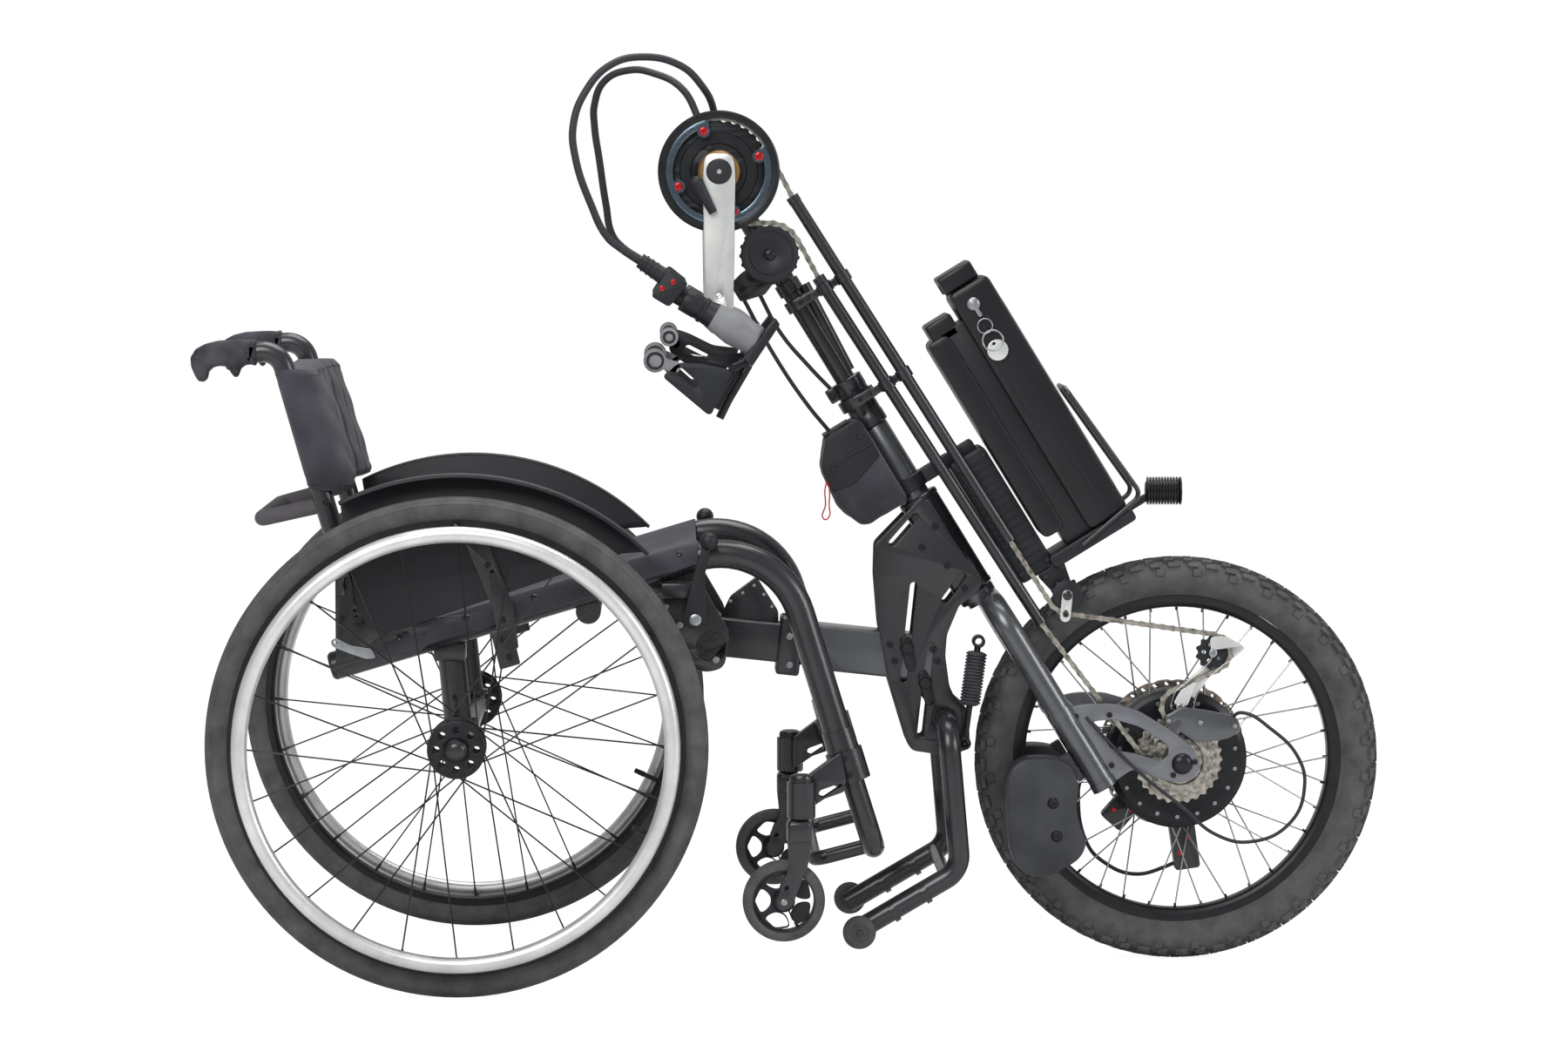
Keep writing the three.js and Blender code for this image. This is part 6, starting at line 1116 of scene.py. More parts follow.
bm = bmesh.new()
for i, teeth in enumerate((14, 16, 18, 21, 24, 28)):
    y, root = chain_y + (i - 1) * cog_step, pitch_radius(teeth) - 5.5
    windows = [ring(*polar((root + carrier_radius) / 2, turn), (root - carrier_radius) * 0.3, 16)
               for turn in turns_of(8)] if teeth > 20 else []
    plate(bm, toothed(teeth), y - cog_half, y + cog_half, [*windows, ring(0, 0, 18, 40)], edge=0.25)
turned(bm, [(17.8, -51), (20.6, -51), (20.6, -24), (17.8, -24)], steps=48)
turned(bm, [(17.8, -52), (22.4, -52), (22.8, -51.4), (22.8, -51), (17.8, -51)], steps=48)
piece(bm, "sprocket_stack", nickel_steel, "sprockets", "steel", front_hub, "cassette")

# Chain: outer and inner plates in turn on pins and rollers, run round every wheel of the drive.
# Each turn of the run is a wheel's middle, its radius and the way it turns the chain, or a tube's end.
chainring_teeth, tensioner_teeth, pulley_teeth, running_cog = 32, 19, 11, 16
crank_up, tensioner_up, idler_spot, guide_spot, tension_spot = 910, 792, (93, 247), (139, 57), (208, 93)
tube_runs = (((60, 838), (68, 340)), ((36, 738), (48, 234)))
circuit = [(0, crank_up, pitch_radius(chainring_teeth), -1), (*tube_runs[0][0], 0, -1),
           (*tube_runs[0][1], 0, -1), (*idler_spot, pitch_radius(pulley_teeth), 1),
           (*tension_spot, pitch_radius(pulley_teeth), -1), (*guide_spot, pitch_radius(pulley_teeth), 1),
           (axle_ahead, 0, pitch_radius(running_cog), -1), (*tube_runs[1][1], 0, -1),
           (*tube_runs[1][0], 0, -1), (0, tensioner_up, pitch_radius(tensioner_teeth), 1)]


def heading_between(a, b):
    """The heading of the straight run from one wheel to the next."""
    apart = math.hypot(b[0] - a[0], b[1] - a[1])
    return math.atan2(b[1] - a[1], b[0] - a[0]) - math.asin((b[3] * b[2] - a[3] * a[2]) / apart)


route = []
for i, (x, z, radius, way) in enumerate(circuit):
    arriving = heading_between(circuit[i - 1], circuit[i])
    leaving = heading_between(circuit[i], circuit[(i + 1) % len(circuit)])
    turning = math.remainder(leaving - arriving, math.tau)
    if radius and turning * way < 0:
        turning += way * math.tau
    steps = max(1, math.ceil(abs(turning) * 30)) if radius else 0
    for k in range(steps + 1):
        heading = arriving + turning * (k / steps if steps else 0.5)
        route.append(Vector((x + way * radius * math.sin(heading), z - way * radius * math.cos(heading))))
lengths = [(b - a).length for a, b in zip(route, route[1:] + route[:1])]
link_count = round(sum(lengths) / chain_pitch / 2) * 2
link_length = sum(lengths) / link_count
pins, travelled = [], 0
for a, b, length in zip(route, route[1:] + route[:1], lengths):
    while len(pins) < link_count and len(pins) * link_length < travelled + length:
        pins.append(a.lerp(b, (len(pins) * link_length - travelled) / length))
    travelled += length
bm = bmesh.new()
for i, (a, b) in enumerate(zip(pins, pins[1:] + pins[:1])):
    along = (b - a).normalized()
    across = Vector((-along.y, along.x))
    half = 3.7 if i % 2 else 3.5
    outline = []
    for end, way in ((b, 1), (a, -1)):
        outline += [end + across * half * math.cos(t) * way + along * half * math.sin(t) * way
                    for t in [math.radians(d) for d in (20, 55, 90, 125, 160)]]
        outline.append(a.lerp(b, 0.5) - across * way * 2.5)
    inner, outer = (2.8, 3.7) if i % 2 else (2.0, 2.7)
    for side in (-1, 1):
        part = bmesh.new()
        face = part.faces.new([part.verts.new((p.x, chain_y + side * inner, p.y)) for p in outline])
        grown = bmesh.ops.extrude_face_region(part, geom=[face])["geom"]
        bmesh.ops.translate(part, vec=(0, side * (outer - inner), 0),
                            verts=[v for v in grown if isinstance(v, bmesh.types.BMVert)])
        add(bm, part)
    drum(bm, a.x, a.y, chain_y - 2, chain_y + 2, 1.5, segments=6)
    if i % 2:
        for pin in (a, b):
            drum(bm, pin.x, pin.y, chain_y - 4, chain_y - 3.5, 1.7, segments=8)
piece(bm, "chain_links", nickel_steel, "steering", "steel", steering, "chain", smooth=30)

# Chain wheels: three small moulded pulleys at the foot and the larger covered tensioner wheel under
# the chainring, each on its own steel pin.
tooth_half = 1.7
for body, (x, z) in (("idler", idler_spot), ("guide", guide_spot), ("tension", tension_spot)):
    at = steering @ Matrix.Translation((x, chain_y, z))
    bm = bmesh.new()
    windows = [ring(*polar(10.6, turn), 2.6, 14) for turn in turns_of(5)]
    plate(bm, toothed(pulley_teeth), -tooth_half, tooth_half, [*windows, ring(0, 0, 3.3, 24)], edge=0.35)
    turned(bm, both_walls([(3.4, -2.4), (6.4, -2.4), (6.8, -2)]), steps=32)
    if body == "idler":
        turned(bm, [(3.6, -3.4), (17, -3.4), (18, -2.8), (18, -2.2), (17, -1.8), (3.6, -1.8)], steps=56)
    piece(bm, f"{body}_wheel", moulded_abs, body, "black_plastic", at, f"{body}_pulley")
at = steering @ Matrix.Translation((0, chain_y, tensioner_up))
bm = bmesh.new()
plate(bm, toothed(tensioner_teeth), -tooth_half, tooth_half, [ring(0, 0, 4.3, 24)], edge=0.35)
turned(bm, [(4.3, -6.6), (10, -6.6), (11, -7.2), (24, -7.2), (25, -6.5), (28, -6.5), (29, -7.2), (33.6, -7.2),
            (35, -6.2), (35, -4.8), (34, -4.2), (12, -4.2), (12, 1.9), (4.3, 1.9)], steps=72)
piece(bm, "tensioner_wheel", moulded_abs, "tensioner", "black_plastic", at, "chain_tensioner")

# Mast: the inner tube that carries the crank, clamped at its height in the steerer by an eared collar,
# with the bottom-bracket shell on top and a tie strut down to the collar.
mast_radius, shell_half, collar_foot, collar_top = 12.5, 34, 545.4, 612
bm = bmesh.new()
turned(bm, [(0, 460), (mast_radius, 460), (mast_radius, 905), (0, 905)], upright, steps=40, closed=False)
turned(bm, [(12.4, collar_foot), (19, collar_foot), (20, 546.4), (20, 560), (19.4, 561), (19.4, 596),
            (20, 597), (20, 611), (19, collar_top), (12.4, collar_top)], upright, steps=48)
for side in (-1, 1):
    box(bm, -30, -17, side * 1.2, side * 9, 594, collar_top, 2)
turned(bm, both_walls([(10.4, -shell_half), (20.6, -shell_half), (22, -32.6), (22, -22), (21, -21)]),
       Matrix.Translation((0, 0, crank_up)), steps=56)
plate(bm, [(-60, 760), (-60, 785), (-40, 790), (-10, 790), (-10, 760), (-30, 752)], -3, 3,
      [ring(-50, 772, 3, 14)], corner=3, edge=0.8)
rod(bm, (9, 0, 619), (17, 0, 738), 8, segments=32)
turned(bm, [(12.4, 736), (15.6, 737), (15.6, 752), (12.4, 753)], upright, steps=40)
cable_glands = {"right": (Vector((0, -12, 925)), Vector((17, -14, 950))),
                "left": (Vector((2, 12, 925)), Vector((8, 24, 952)))}
for start, end in cable_glands.values():
    rod(bm, start, end, 7, 6.2, 28)
    rod(bm, start.lerp(end, 0.55), start.lerp(end, 0.72), 8, 8, 28)
box(bm, -14, 14, -15, 15, 884, 893, 2.5)
piece(bm, "mast_tube_and_shell", powder_coat, "steering", "black_paint", steering, "mast_upper")
bm = bmesh.new()
drum(bm, 0, tensioner_up, 0, -52.4, 4, segments=20)
drum(bm, 0, tensioner_up, 0, -44, 8, segments=28)
turned(bm, [(0, -55), (4, -55), (6.4, -53.6), (7, -52.5), (0, -52.5)],
       Matrix.Translation((0, 0, tensioner_up)), steps=28, closed=False)
drum(bm, -25, 603, -12, 12, 3, segments=20)
screw(bm, -25, 603, -9, -1, 5, 3.4)
for z in (566, 584):
    screw(bm, -2, z, -19.2, -1, 3, 2)
screw(bm, -50, 772, -3, -1, 4.4, 2)
screw(bm, 12, 722, -9, -1, 3.4, 2)
piece(bm, "mast_screws_and_pin", black_steel, "steering", "black_paint", steering, "mast_upper")

# Bowden cables: black sleeved cables run down the mast and are tied to it.
# Sleeved cable: a dark braid under a dull clear sheath, its bands 2.4 mm apart. A wave texture has ten
# radians to the unit.
braided_sleeve, tree, shader, where = finish_of("black_braided_sleeve", "#16161a", 0.5,
                                                Specular_IOR_Level=0.35)
turns = node(tree, "TexWave", {"Scale": math.tau / 10 * metre / 2.4, "Distortion": 2.2, "Detail": 2},
             {"Vector": where}, bands_direction="DIAGONAL")
dressed(tree, shader, turns, 0.08, turns, ("#0e0e11", "#2c2d33"))
bm = bmesh.new()
tube(bm, [(-35, 0, 760), (-38, 0, 703), (-30, 0, 650), (-19, 0, 600)], 2.5, smooth=True)
tube(bm, [(-55, 0, 760), (-59, 0, 685), (-56, 0, 610), (-50, 0, 567)], 2.5, smooth=True)
piece(bm, "mast_cables", braided_sleeve, "steering", "black_paint", steering, "mast_upper", smooth=60)

# Chain tubes: two plastic-lined tubes that guide the chain between crank and idler, held to the mast
# by two clamps.
clamp_half = 7
bm = bmesh.new()
for top, low in tube_runs:
    start, end = Vector((top[0], chain_y, top[1])), Vector((low[0], chain_y, low[1]))
    turn = Matrix.Translation(start) @ Vector((0, 0, 1)).rotation_difference(end - start).to_matrix().to_4x4()
    span = (end - start).length
    turned(bm, [(6, 0), (7.9, 0), (7.9, 9), (7.3, 9.6), (7.3, span - 9.6), (7.9, span - 9), (7.9, span),
                (6, span)], turn @ upright, steps=32)
clamps = ((722, 12.8), (583, 20.3))
for up, held in clamps:
    turned(bm, [(held, up - clamp_half), (held + 4, up - clamp_half), (held + 4, up + clamp_half),
                (held, up + clamp_half)], upright, steps=48)
    box(bm, -6, 6, chain_y + 8.4, -held - 2, up - clamp_half, up + clamp_half, 1.5)
    box(bm, -6, 24, chain_y + 7.6, chain_y + 11, up - 6, up + 6, 1)
    for top, low in tube_runs:
        share = (top[1] - up) / (top[1] - low[1])
        x = top[0] + (low[0] - top[0]) * share
        turned(bm, [(7.2, up - 6.4), (9.6, up - 6.4), (9.6, up + 6.4), (7.2, up + 6.4)],
               Matrix.Translation((x, chain_y, 0)) @ upright, steps=36)
        if x > 30:
            box(bm, x - 22, x - 8, chain_y - 2, chain_y + 2, up - 5, up + 5, 0.8)
piece(bm, "chain_guide_tubes", powder_coat, "steering", "black_paint", steering, "chain_tubes", smooth=40)
bm = bmesh.new()
for up, held in clamps:
    for x in (2, 50):
        screw(bm, x, up, -54 if x > 10 else -38, -1, 2.6, 1.6)
piece(bm, "chain_tube_screws", black_steel, "steering", "black_paint", steering, "chain_tubes")


# Battery cradle: a moulded tray and controller box clamped to the steerer, a thin steel rack bar round
# the battery, and the pressed bracket that carries the idler.
tray_top, tray_half = 298.7, 50
bm = bmesh.new()
plate(bm, [(97, 282), (97, tray_top), (215, tray_top), (215, 282)], -tray_half, tray_half, corner=6, edge=2.5)
plate(bm, [(52, 285), (52, 457), (101, 457), (101, 285)], -34, 45, corner=8, edge=3)
for z in range(300, 450, 10):
    box(bm, 56, 97, -35, -33, z, z + 3, 0.8, 1)
box(bm, 19, 60, -15, 15, 452, 470, 3)
box(bm, 58, 93, -15, 15, 449, 470, 3)
turned(bm, [(17.4, 452), (22, 452), (23, 453), (23, 469), (22, 470), (17.4, 470)], upright, steps=48)
box(bm, 207, 250, -6, 6, 289.7, tray_top, 2)
plate(bm, [(74, 286), (112, 286), (102, 240), (93, 237), (83, 242)], -36, -33, corner=5, edge=0.8)
piece(bm, "cradle_tray_and_box", moulded_abs, "steering", "black_plastic", steering, "battery_cradle")
bm = bmesh.new()
plate(bm, slot(idler_spot, (77, 226), 13), -51.2, -49.2, [ring(80, 230, 3.2, 16)], edge=0.5)
piece(bm, "idler_link", satin_silver, "steering", "black_plastic", steering, "battery_cradle")
bm = bmesh.new()
rack = [(141, 290), (234, 305), (222, 465)]
tube(bm, [(x, -52, z) for x, z in rack] + [(x, 52, z) for x, z in reversed(rack)], 3, 12)
drum(bm, *idler_spot, -33, -51.6, 3, segments=20)
turned(bm, [(0, -54), (4, -53.8), (6, -52.6), (6, -51.4), (0, -51.2)],
       Matrix.Translation((idler_spot[0], 0, idler_spot[1])), steps=24, closed=False)
for x, z in ((79, 228), (82, 279), (104, 279)):
    screw(bm, x, z, -51.2 if z < 240 else -36, -1, 3.4, 2)
for x, z in ((58, 296), (95, 296), (58, 447), (95, 447)):
    screw(bm, x, z, -34, -1, 3, 1.6)
piece(bm, "cradle_rack_bar_and_screws", powder_coat, "steering", "black_plastic", steering, "battery_cradle")

# Headlight: a finned aluminium barrel on the tray's arm, its lens looking straight ahead.
level = Matrix.Rotation(rake, 4, "Y")
across = Matrix.Rotation(-math.pi / 2, 4, "Z")
lamp_place = steering @ Matrix.Translation((262, 0, 290)) @ level @ across
fin_count, fin_pitch = 11, 3.6
bm = bmesh.new()
fins = [(0, -22), (10, -22), (12, -21)]
for i in range(fin_count):
    at = -20 + i * fin_pitch
    fins += [(12.6, at), (17.2, at + 0.2), (17.2, at + 1.6), (12.6, at + 1.9)]
fins += [(17, 20), (17.4, 21), (17, 22), (15.4, 22), (15.4, 19.6), (0, 19.6)]
turned(bm, fins, lamp_place, steps=48, closed=False)
piece(bm, "headlight_barrel", black_alloy, "steering", "black_paint", Matrix(), "headlight")
# Clear lens over a bright reflector: almost colourless, glossy, with the reflector's rings in it.
lamp_lens, tree, shader, where = finish_of("clear_lamp_lens", "#c4c8cb", 0.08, Transmission_Weight=0.25,
                                           Coat_Weight=0.6)
cloud = node(tree, "TexNoise", {"Scale": metre / 11.1, "Detail": 4}, {"Vector": where})
dressed(tree, shader, cloud, 0.05)
bm = bmesh.new()
turned(bm, [(0, 19.8), (15.2, 19.8), (15.2, 20.6), (10, 21.4), (0, 21.8)], lamp_place, steps=40, closed=False)
piece(bm, "headlight_lens", lamp_lens, "steering", "black_paint", Matrix(), "headlight")

# Bag: a small zipped pouch of nylon cloth, strapped round the steerer on the rider's side. It is full,
# so its faces are crowned, and a flap hangs over its top half; a red loop pulls the zip.
bag_shape = [(-10, 446), (-10, 567), (-58, 567), (-83.6, 536.8), (-90, 482.3), (-74, 446)]
outline = rounded(bag_shape, 11, 6)
outline = [tuple(Vector(a).lerp(Vector(b), t)) for a, b in zip(outline, outline[1:] + outline[:1])
           for t in ((0, 0.25, 0.5, 0.75) if (Vector(a) - Vector(b)).length > 12 else (0,))]
heart, steerer_clear = Vector((-46, 508)), 21.2
pouch_levels = [(-37.6, 0.42), (-38.6, 0.62), (-38.2, 0.8), (-36.6, 0.9), (-33, 0.96), (-28, 0.99),
                (-26.8, 0.975), (-25.6, 0.99), (-17, 1.005), (-6, 1.01)]


def lofted(bm, levels, wave):
    """A cloth shell through levels of the bag's outline, folded by a wave and hollowed round the tube."""
    loops = []
    for y, share in levels:
        level = []
        for x, z in outline:
            out = Vector((x, z)) - heart
            turn = math.atan2(out.y, out.x)
            fold = 1 + wave * (math.sin(7 * turn + y / 9) + 0.6 * math.sin(13 * turn - y / 5)) * min(1, share)
            spot = heart + out * share * fold
            clear = -math.sqrt(steerer_clear ** 2 - y ** 2) if abs(y) < steerer_clear else spot.x
            level.append(bm.verts.new((min(spot.x, clear), y, spot.y)))
        loops.append([bm.edges.new((a, b)) for a, b in zip(level, level[1:] + level[:1])])
    for near, far in zip(loops, loops[1:]):
        bmesh.ops.bridge_loops(bm, edges=near + far)
    bmesh.ops.contextual_create(bm, geom=loops[0])
    bmesh.ops.contextual_create(bm, geom=loops[-1])
    bmesh.ops.recalc_face_normals(bm, faces=bm.faces)


bm = bmesh.new()
lofted(bm, pouch_levels + [(-y, share) for y, share in reversed(pouch_levels)], 0.011)
pouch = piece(bm, "zipped_pouch", woven_nylon, "steering", "cloth", steering, "bag", smooth=50)
flap = [(-12, 512), (-12, 566), (-57, 566), (-82, 537), (-86.4, 505), (-60, 499)]
bm = bmesh.new()
for side in (-1, 1):
    plate(bm, flap, side * 36.6, side * 39.6, corner=8, edge=1.3)
box(bm, -60, -24, -30, 30, 565.6, 568.4, 1)
tube(bm, [(-13, -39.4, 530), (-50, -40, 531), (-84, -37, 520)], 1.5, rounds=3, smooth=True)
for x, z in ((-22, 545), (-70, 528)):
    drum(bm, x, z, -39.2, -41, 4, 3.4, segments=24)
piece(bm, "pouch_flap", moulded_abs, "steering", "cloth", steering, "bag", smooth=50)
# Red cord: a thin braided pull on the zip, its bands 1.5 mm apart.
red_cord, tree, shader, where = finish_of("red_braided_cord", "#a8201f", 0.6)
braid = node(tree, "TexWave", {"Scale": math.tau / 10 * metre / 1.5, "Distortion": 1.5}, {"Vector": where},
             bands_direction="DIAGONAL")
dressed(tree, shader, braid, 0.15, braid, ("#7c1516", "#c02a28"))
bm = bmesh.new()
tube(bm, [(-84, -37, 520), (-92, -38, 512), (-101, -38, 496), (-112, -38, 482), (-107, -38, 480),
          (-97, -38, 494), (-87, -38, 510), (-84, -37, 520)], 0.9, rounds=3, smooth=True)
piece(bm, "zip_pull", red_cord, "steering", "cloth", steering, "bag", smooth=60)

# Ballast: a cast weight behind each fork blade, screwed to the blade's lug with two domed screws.
# Cast iron under satin lacquer: dark grey with the casting's fine pitted skin.
cast_lacquer, tree, shader, where = finish_of("lacquered_casting", "#26272b", 0.48, 0.1,
                                              Specular_IOR_Level=0.3)
skin = node(tree, "TexNoise", {"Scale": metre / 1.9, "Detail": 6, "Roughness": 0.7}, {"Vector": where})
cloud = node(tree, "TexNoise", {"Scale": metre / 55.6, "Detail": 6}, {"Vector": where})
dressed(tree, shader, skin, 0.35, cloud, ("#232428", "#383a3e"), (0.3, 0.7))
ballast_shares = [(0.33, 0.85), (0.46, 0.98), (0.62, 1), (0.85, 0.89), (1, 0.77), (0.98, 0.56), (0.83, 0.41),
                  (0.76, 0.25), (0.74, 0.09), (0.59, 0), (0.24, 0.01), (0.07, 0.1), (0, 0.29), (0.19, 0.64)]
ballast_in, ballast_out, ballast_rear, ballast_foot = 50, 97, -135, -32
ballast_length, ballast_height = 123, 142


def on_ballast(along, up):
    """A place on the casting's side view, from its shares of length and height."""
    return ballast_rear + ballast_length * along, ballast_foot + ballast_height * up


for name, side in sides:
    flip = steering @ mirrored(side)
    bm = bmesh.new()
    plate(bm, [on_ballast(*share) for share in ballast_shares], ballast_in, ballast_out, corner=16, edge=4)
    box(bm, -34, -6.2, 66, 82, 50, 85, 2)
    piece(bm, f"ballast_casting_{name}", cast_lacquer, "steering", "black_paint", flip, f"ballast_{name}")
    bm = bmesh.new()
    for x, z in (on_ballast(0.65, 0.54), on_ballast(0.51, 0.28)):
        turned(bm, [(0, 97.4), (2.6, 97.4), (2.8, 99.8), (4.6, 99.8), (6.4, 98.4), (7, 96.8), (0, 96.6)],
               Matrix.Translation((x, 0, z)), steps=32, closed=False)
    for z in (59, 77):
        screw(bm, -20, z, 82, 1, 3.6, 2)
    piece(bm, f"ballast_screws_{name}", black_steel, "steering", "black_paint", flip, f"ballast_{name}")

# Derailleur: a black lacquered body on its boss, and a bright pressed cage that holds both pulleys.
cage_shares = [(0.73, 1), (0.87, 0.88), (1, 0.46), (0.85, 0.42), (0.7, 0.43), (0.5, 0.36), (0.31, 0.21),
               (0.21, 0), (0, 0.25), (0.15, 0.49), (0.32, 0.52), (0.5, 0.57), (0.64, 0.63)]
window_shares = [(0.07, 0.3), (0.2, 0.43), (0.39, 0.43), (0.17, 0.13)]
cage_rear, cage_foot, cage_length, cage_height = 126, 45, 121, 67
outline, window = ([(cage_rear + cage_length * a, cage_foot + cage_height * u) for a, u in shares]
                   for shares in (cage_shares, window_shares))
pivots = ((118, 52), (184, 4), (150, 30))
bm = bmesh.new()
plate(bm, outline, -52, -50.2, [rounded(window, 5, 4), ring(*tension_spot, 3.2, 20)], corner=7, edge=0.4)
plate(bm, outline, -40.2, -38.4, corner=7, edge=0.4)
piece(bm, "derailleur_cage", satin_silver, "steering", "silver", steering, "derailleur")
bm = bmesh.new()
body_shares = [(0.04, 1), (0.32, 1), (0.59, 0.74), (0.85, 0.45), (1, 0.25), (0.91, 0), (0.65, 0.02),
               (0.22, 0.29), (0.09, 0.63), (0.01, 0.87)]
plate(bm, [(114 + 79 * a, -6 + 65 * u) for a, u in body_shares], -65.6, -52.8, corner=7, edge=2.4)
drum(bm, 108, 34, -67.4, -52.6, 8, segments=36)
plate(bm, slot((108, 34), (124, 42), 16), -66, -53, edge=1.6)
rod(bm, (178, -60, 13), (188, -62, 14), 4.4, 3.4, 24)
for x, z in pivots:
    drum(bm, x, z, -52.8, -67, 5, 4.4, segments=28)
piece(bm, "derailleur_body", grey_lacquer, "steering", "silver", steering, "derailleur")
bm = bmesh.new()
for x, z in (tension_spot, guide_spot):
    drum(bm, x, z, -52, -38.4, 3, segments=20)
    screw(bm, x, z, -52, -1, 5, 2)
for x, z in pivots:
    screw(bm, x, z, -67, -1, 2.6, 1.4)
piece(bm, "derailleur_pins", zinc_steel, "steering", "silver", steering, "derailleur")
bm = bmesh.new()
tube(bm, [(184, -60, 14), (199, -72, 15), (219, -80, -20), (229, -83, -67), (218, -84, -100),
          (179, -84, -130), (125, -84, -124), (94, -84, -94), (77, -84, -44), (59, -85, 5), (46, -86, 52),
          (34, -88, 112)], 2.2, smooth=True)
piece(bm, "derailleur_cable", braided_sleeve, "steering", "silver", steering, "derailleur", smooth=60)

# Brake: two cast calipers on one carrier inside the left dropout; each straddles the disc, and a hose
# joins them.
bm = bmesh.new()
drum(bm, 78, 2, 56, 67.7, 7, segments=32)
plate(bm, slot((78, 2), (14, -28), 14), 56, 62, edge=1)
plate(bm, slot((78, 2), (58, -107), 14), 56, 62, edge=1)
for middle, half_length in ((Vector((14, -28)), 22), (Vector((58, -107)), 30)):
    reach = middle - Vector((axle_ahead, 0))
    out = reach.normalized()
    beside = Vector((-out.y, out.x)) * 16
    root = 96.6 - reach.length
    corners, outer = ([middle + out * a + beside * b
                       for a, b in ((rear, -1), (half_length, -1), (half_length, 1), (rear, 1))]
                      for rear in (-half_length, root))
    plate(bm, corners, 50, 62, corner=5, edge=1.6)
    plate(bm, corners, 41.5, 44.2, corner=5, edge=0.8)
    plate(bm, outer, 43, 52, corner=6, edge=2)
    centre = middle - out * half_length * 0.15
    drum(bm, centre.x, centre.y, 61, 64.4, 9.6, 8.8, segments=36)
piece(bm, "brake_calipers", powder_coat, "steering", "black_paint", steering, "brake_caliper")
bm = bmesh.new()
tube(bm, [(70, 58, -122), (23, 60, -120), (-15, 60, -107), (-38, 58, -76), (-44, 44, -38), (-20, 44, 20),
          (-2, 52, 40), (-1, 57, 62), (1, 56, 92), (3, 55, 120)], 2.5, smooth=True)
piece(bm, "brake_hose", braided_sleeve, "steering", "black_paint", steering, "brake_caliper", smooth=60)
# Red anodised alloy: the small bolts of crank and calipers, bright and slightly purple in the shade.
red_alloy, tree, shader, where = finish_of("red_anodised_alloy", "#b5232a", 0.28, 0.8)
bloom = node(tree, "TexNoise", {"Scale": metre / 3.3, "Detail": 3}, {"Vector": where})
dressed(tree, shader, bloom, 0.03, bloom, ("#97191f", "#cc3136"))
bm = bmesh.new()
for x, z in ((6, -22), (24, -34), (48, -112), (66, -100)):
    screw(bm, x, z, 62, 1, 3, 1.8)
    screw(bm, x, z, 41.5, -1, 3, 1.2)
piece(bm, "caliper_bolts", red_alloy, "steering", "black_paint", steering, "brake_caliper")

# Battery: a moulded two-part case that slides down into the tray, with a key lock on its side and a
# folding carry handle on top.
# Semi-gloss moulded case: deep black, with a slight orange peel.
gloss_shell, tree, shader, where = finish_of("semi_gloss_black_case", "#08090b", 0.36, Specular_IOR_Level=0.3)
cloud = node(tree, "TexNoise", {"Scale": metre / 71.4, "Detail": 7}, {"Vector": where})
peel = node(tree, "TexNoise", {"Scale": metre / 2.6, "Detail": 3}, {"Vector": where})
dressed(tree, shader, peel, 0.015, cloud, ("#0b0b0e", "#191a1f"))
bm = bmesh.new()
plate(bm, [(158, 299), (158, 635), (213, 635), (213, 299)], -48, 48, corner=10, edge=5)
for x in (166, 176, 186):
    for side in (-1, 1):
        box(bm, x, x + 3, side * 46, side * 48.6, 330, 590, 1, 2)
plate(bm, [(105, 319), (105, 597), (135, 597), (135, 319)], -44, 44, corner=10, edge=4)
box(bm, 125, 168, -40, 40, 299, 600, 2)
box(bm, 114, 150, -40, 40, 587, 617, 4, 3)
piece(bm, "battery_case", gloss_shell, "battery_pack", "black_plastic", steering, "battery")
bm = bmesh.new()
lock = (180, 611)
turned(bm, [(0, -53), (5.4, -53), (6.6, -52.4), (8, -50.8), (8, -47.6), (0, -47.6)],
       Matrix.Translation((lock[0], 0, lock[1])), steps=36, closed=False)
# A thin bright zinc strip over the case's front face is a painted highlight: it stands for the light caught
# along the front edge.
box(bm, 211.6, 213.4, -45, 45, 330, 600, 0.6, 1)
piece(bm, "battery_lock_and_painted_edge_highlight", zinc_steel, "battery_pack", "black_plastic", steering, "battery")
bm = bmesh.new()
arch = bmesh.new()
plate(arch, [(-38, 635.4), (-38, 659.3), (38, 659.3), (38, 635.4), (26, 635.4), (26, 649.2), (-26, 649.2),
             (-26, 635.4)], 157, 204, corner=5, edge=2.5)
add(bm, arch, mirrored(-1) @ across)
piece(bm, "battery_carry_handle", gloss_shell, "battery_pack", "black_plastic", steering, "battery_handle")
bm = bmesh.new()
plate(bm, slot(lock, (180, 596), 5), -54.4, -53, edge=0.3)
for x, z, radius, thick in ((178, 581, 9, 0.9), (177, 561, 12.5, 1.3)):
    hoop = [Vector((x, -53.6, z)) + around(radius, turn) for turn in [*turns_of(24), 0]]
    tube(bm, hoop, thick, smooth=True)
piece(bm, "battery_key_and_ring", zinc_steel, "battery_pack", "black_plastic", steering, "battery")
bm = bmesh.new()
plate(bm, ring(176, 548, 13, 24), -54.6, -52.6, [ring(176, 557, 2, 12)], edge=0.6)
piece(bm, "key_tag", satin_silver, "battery_pack", "black_plastic", steering, "battery")

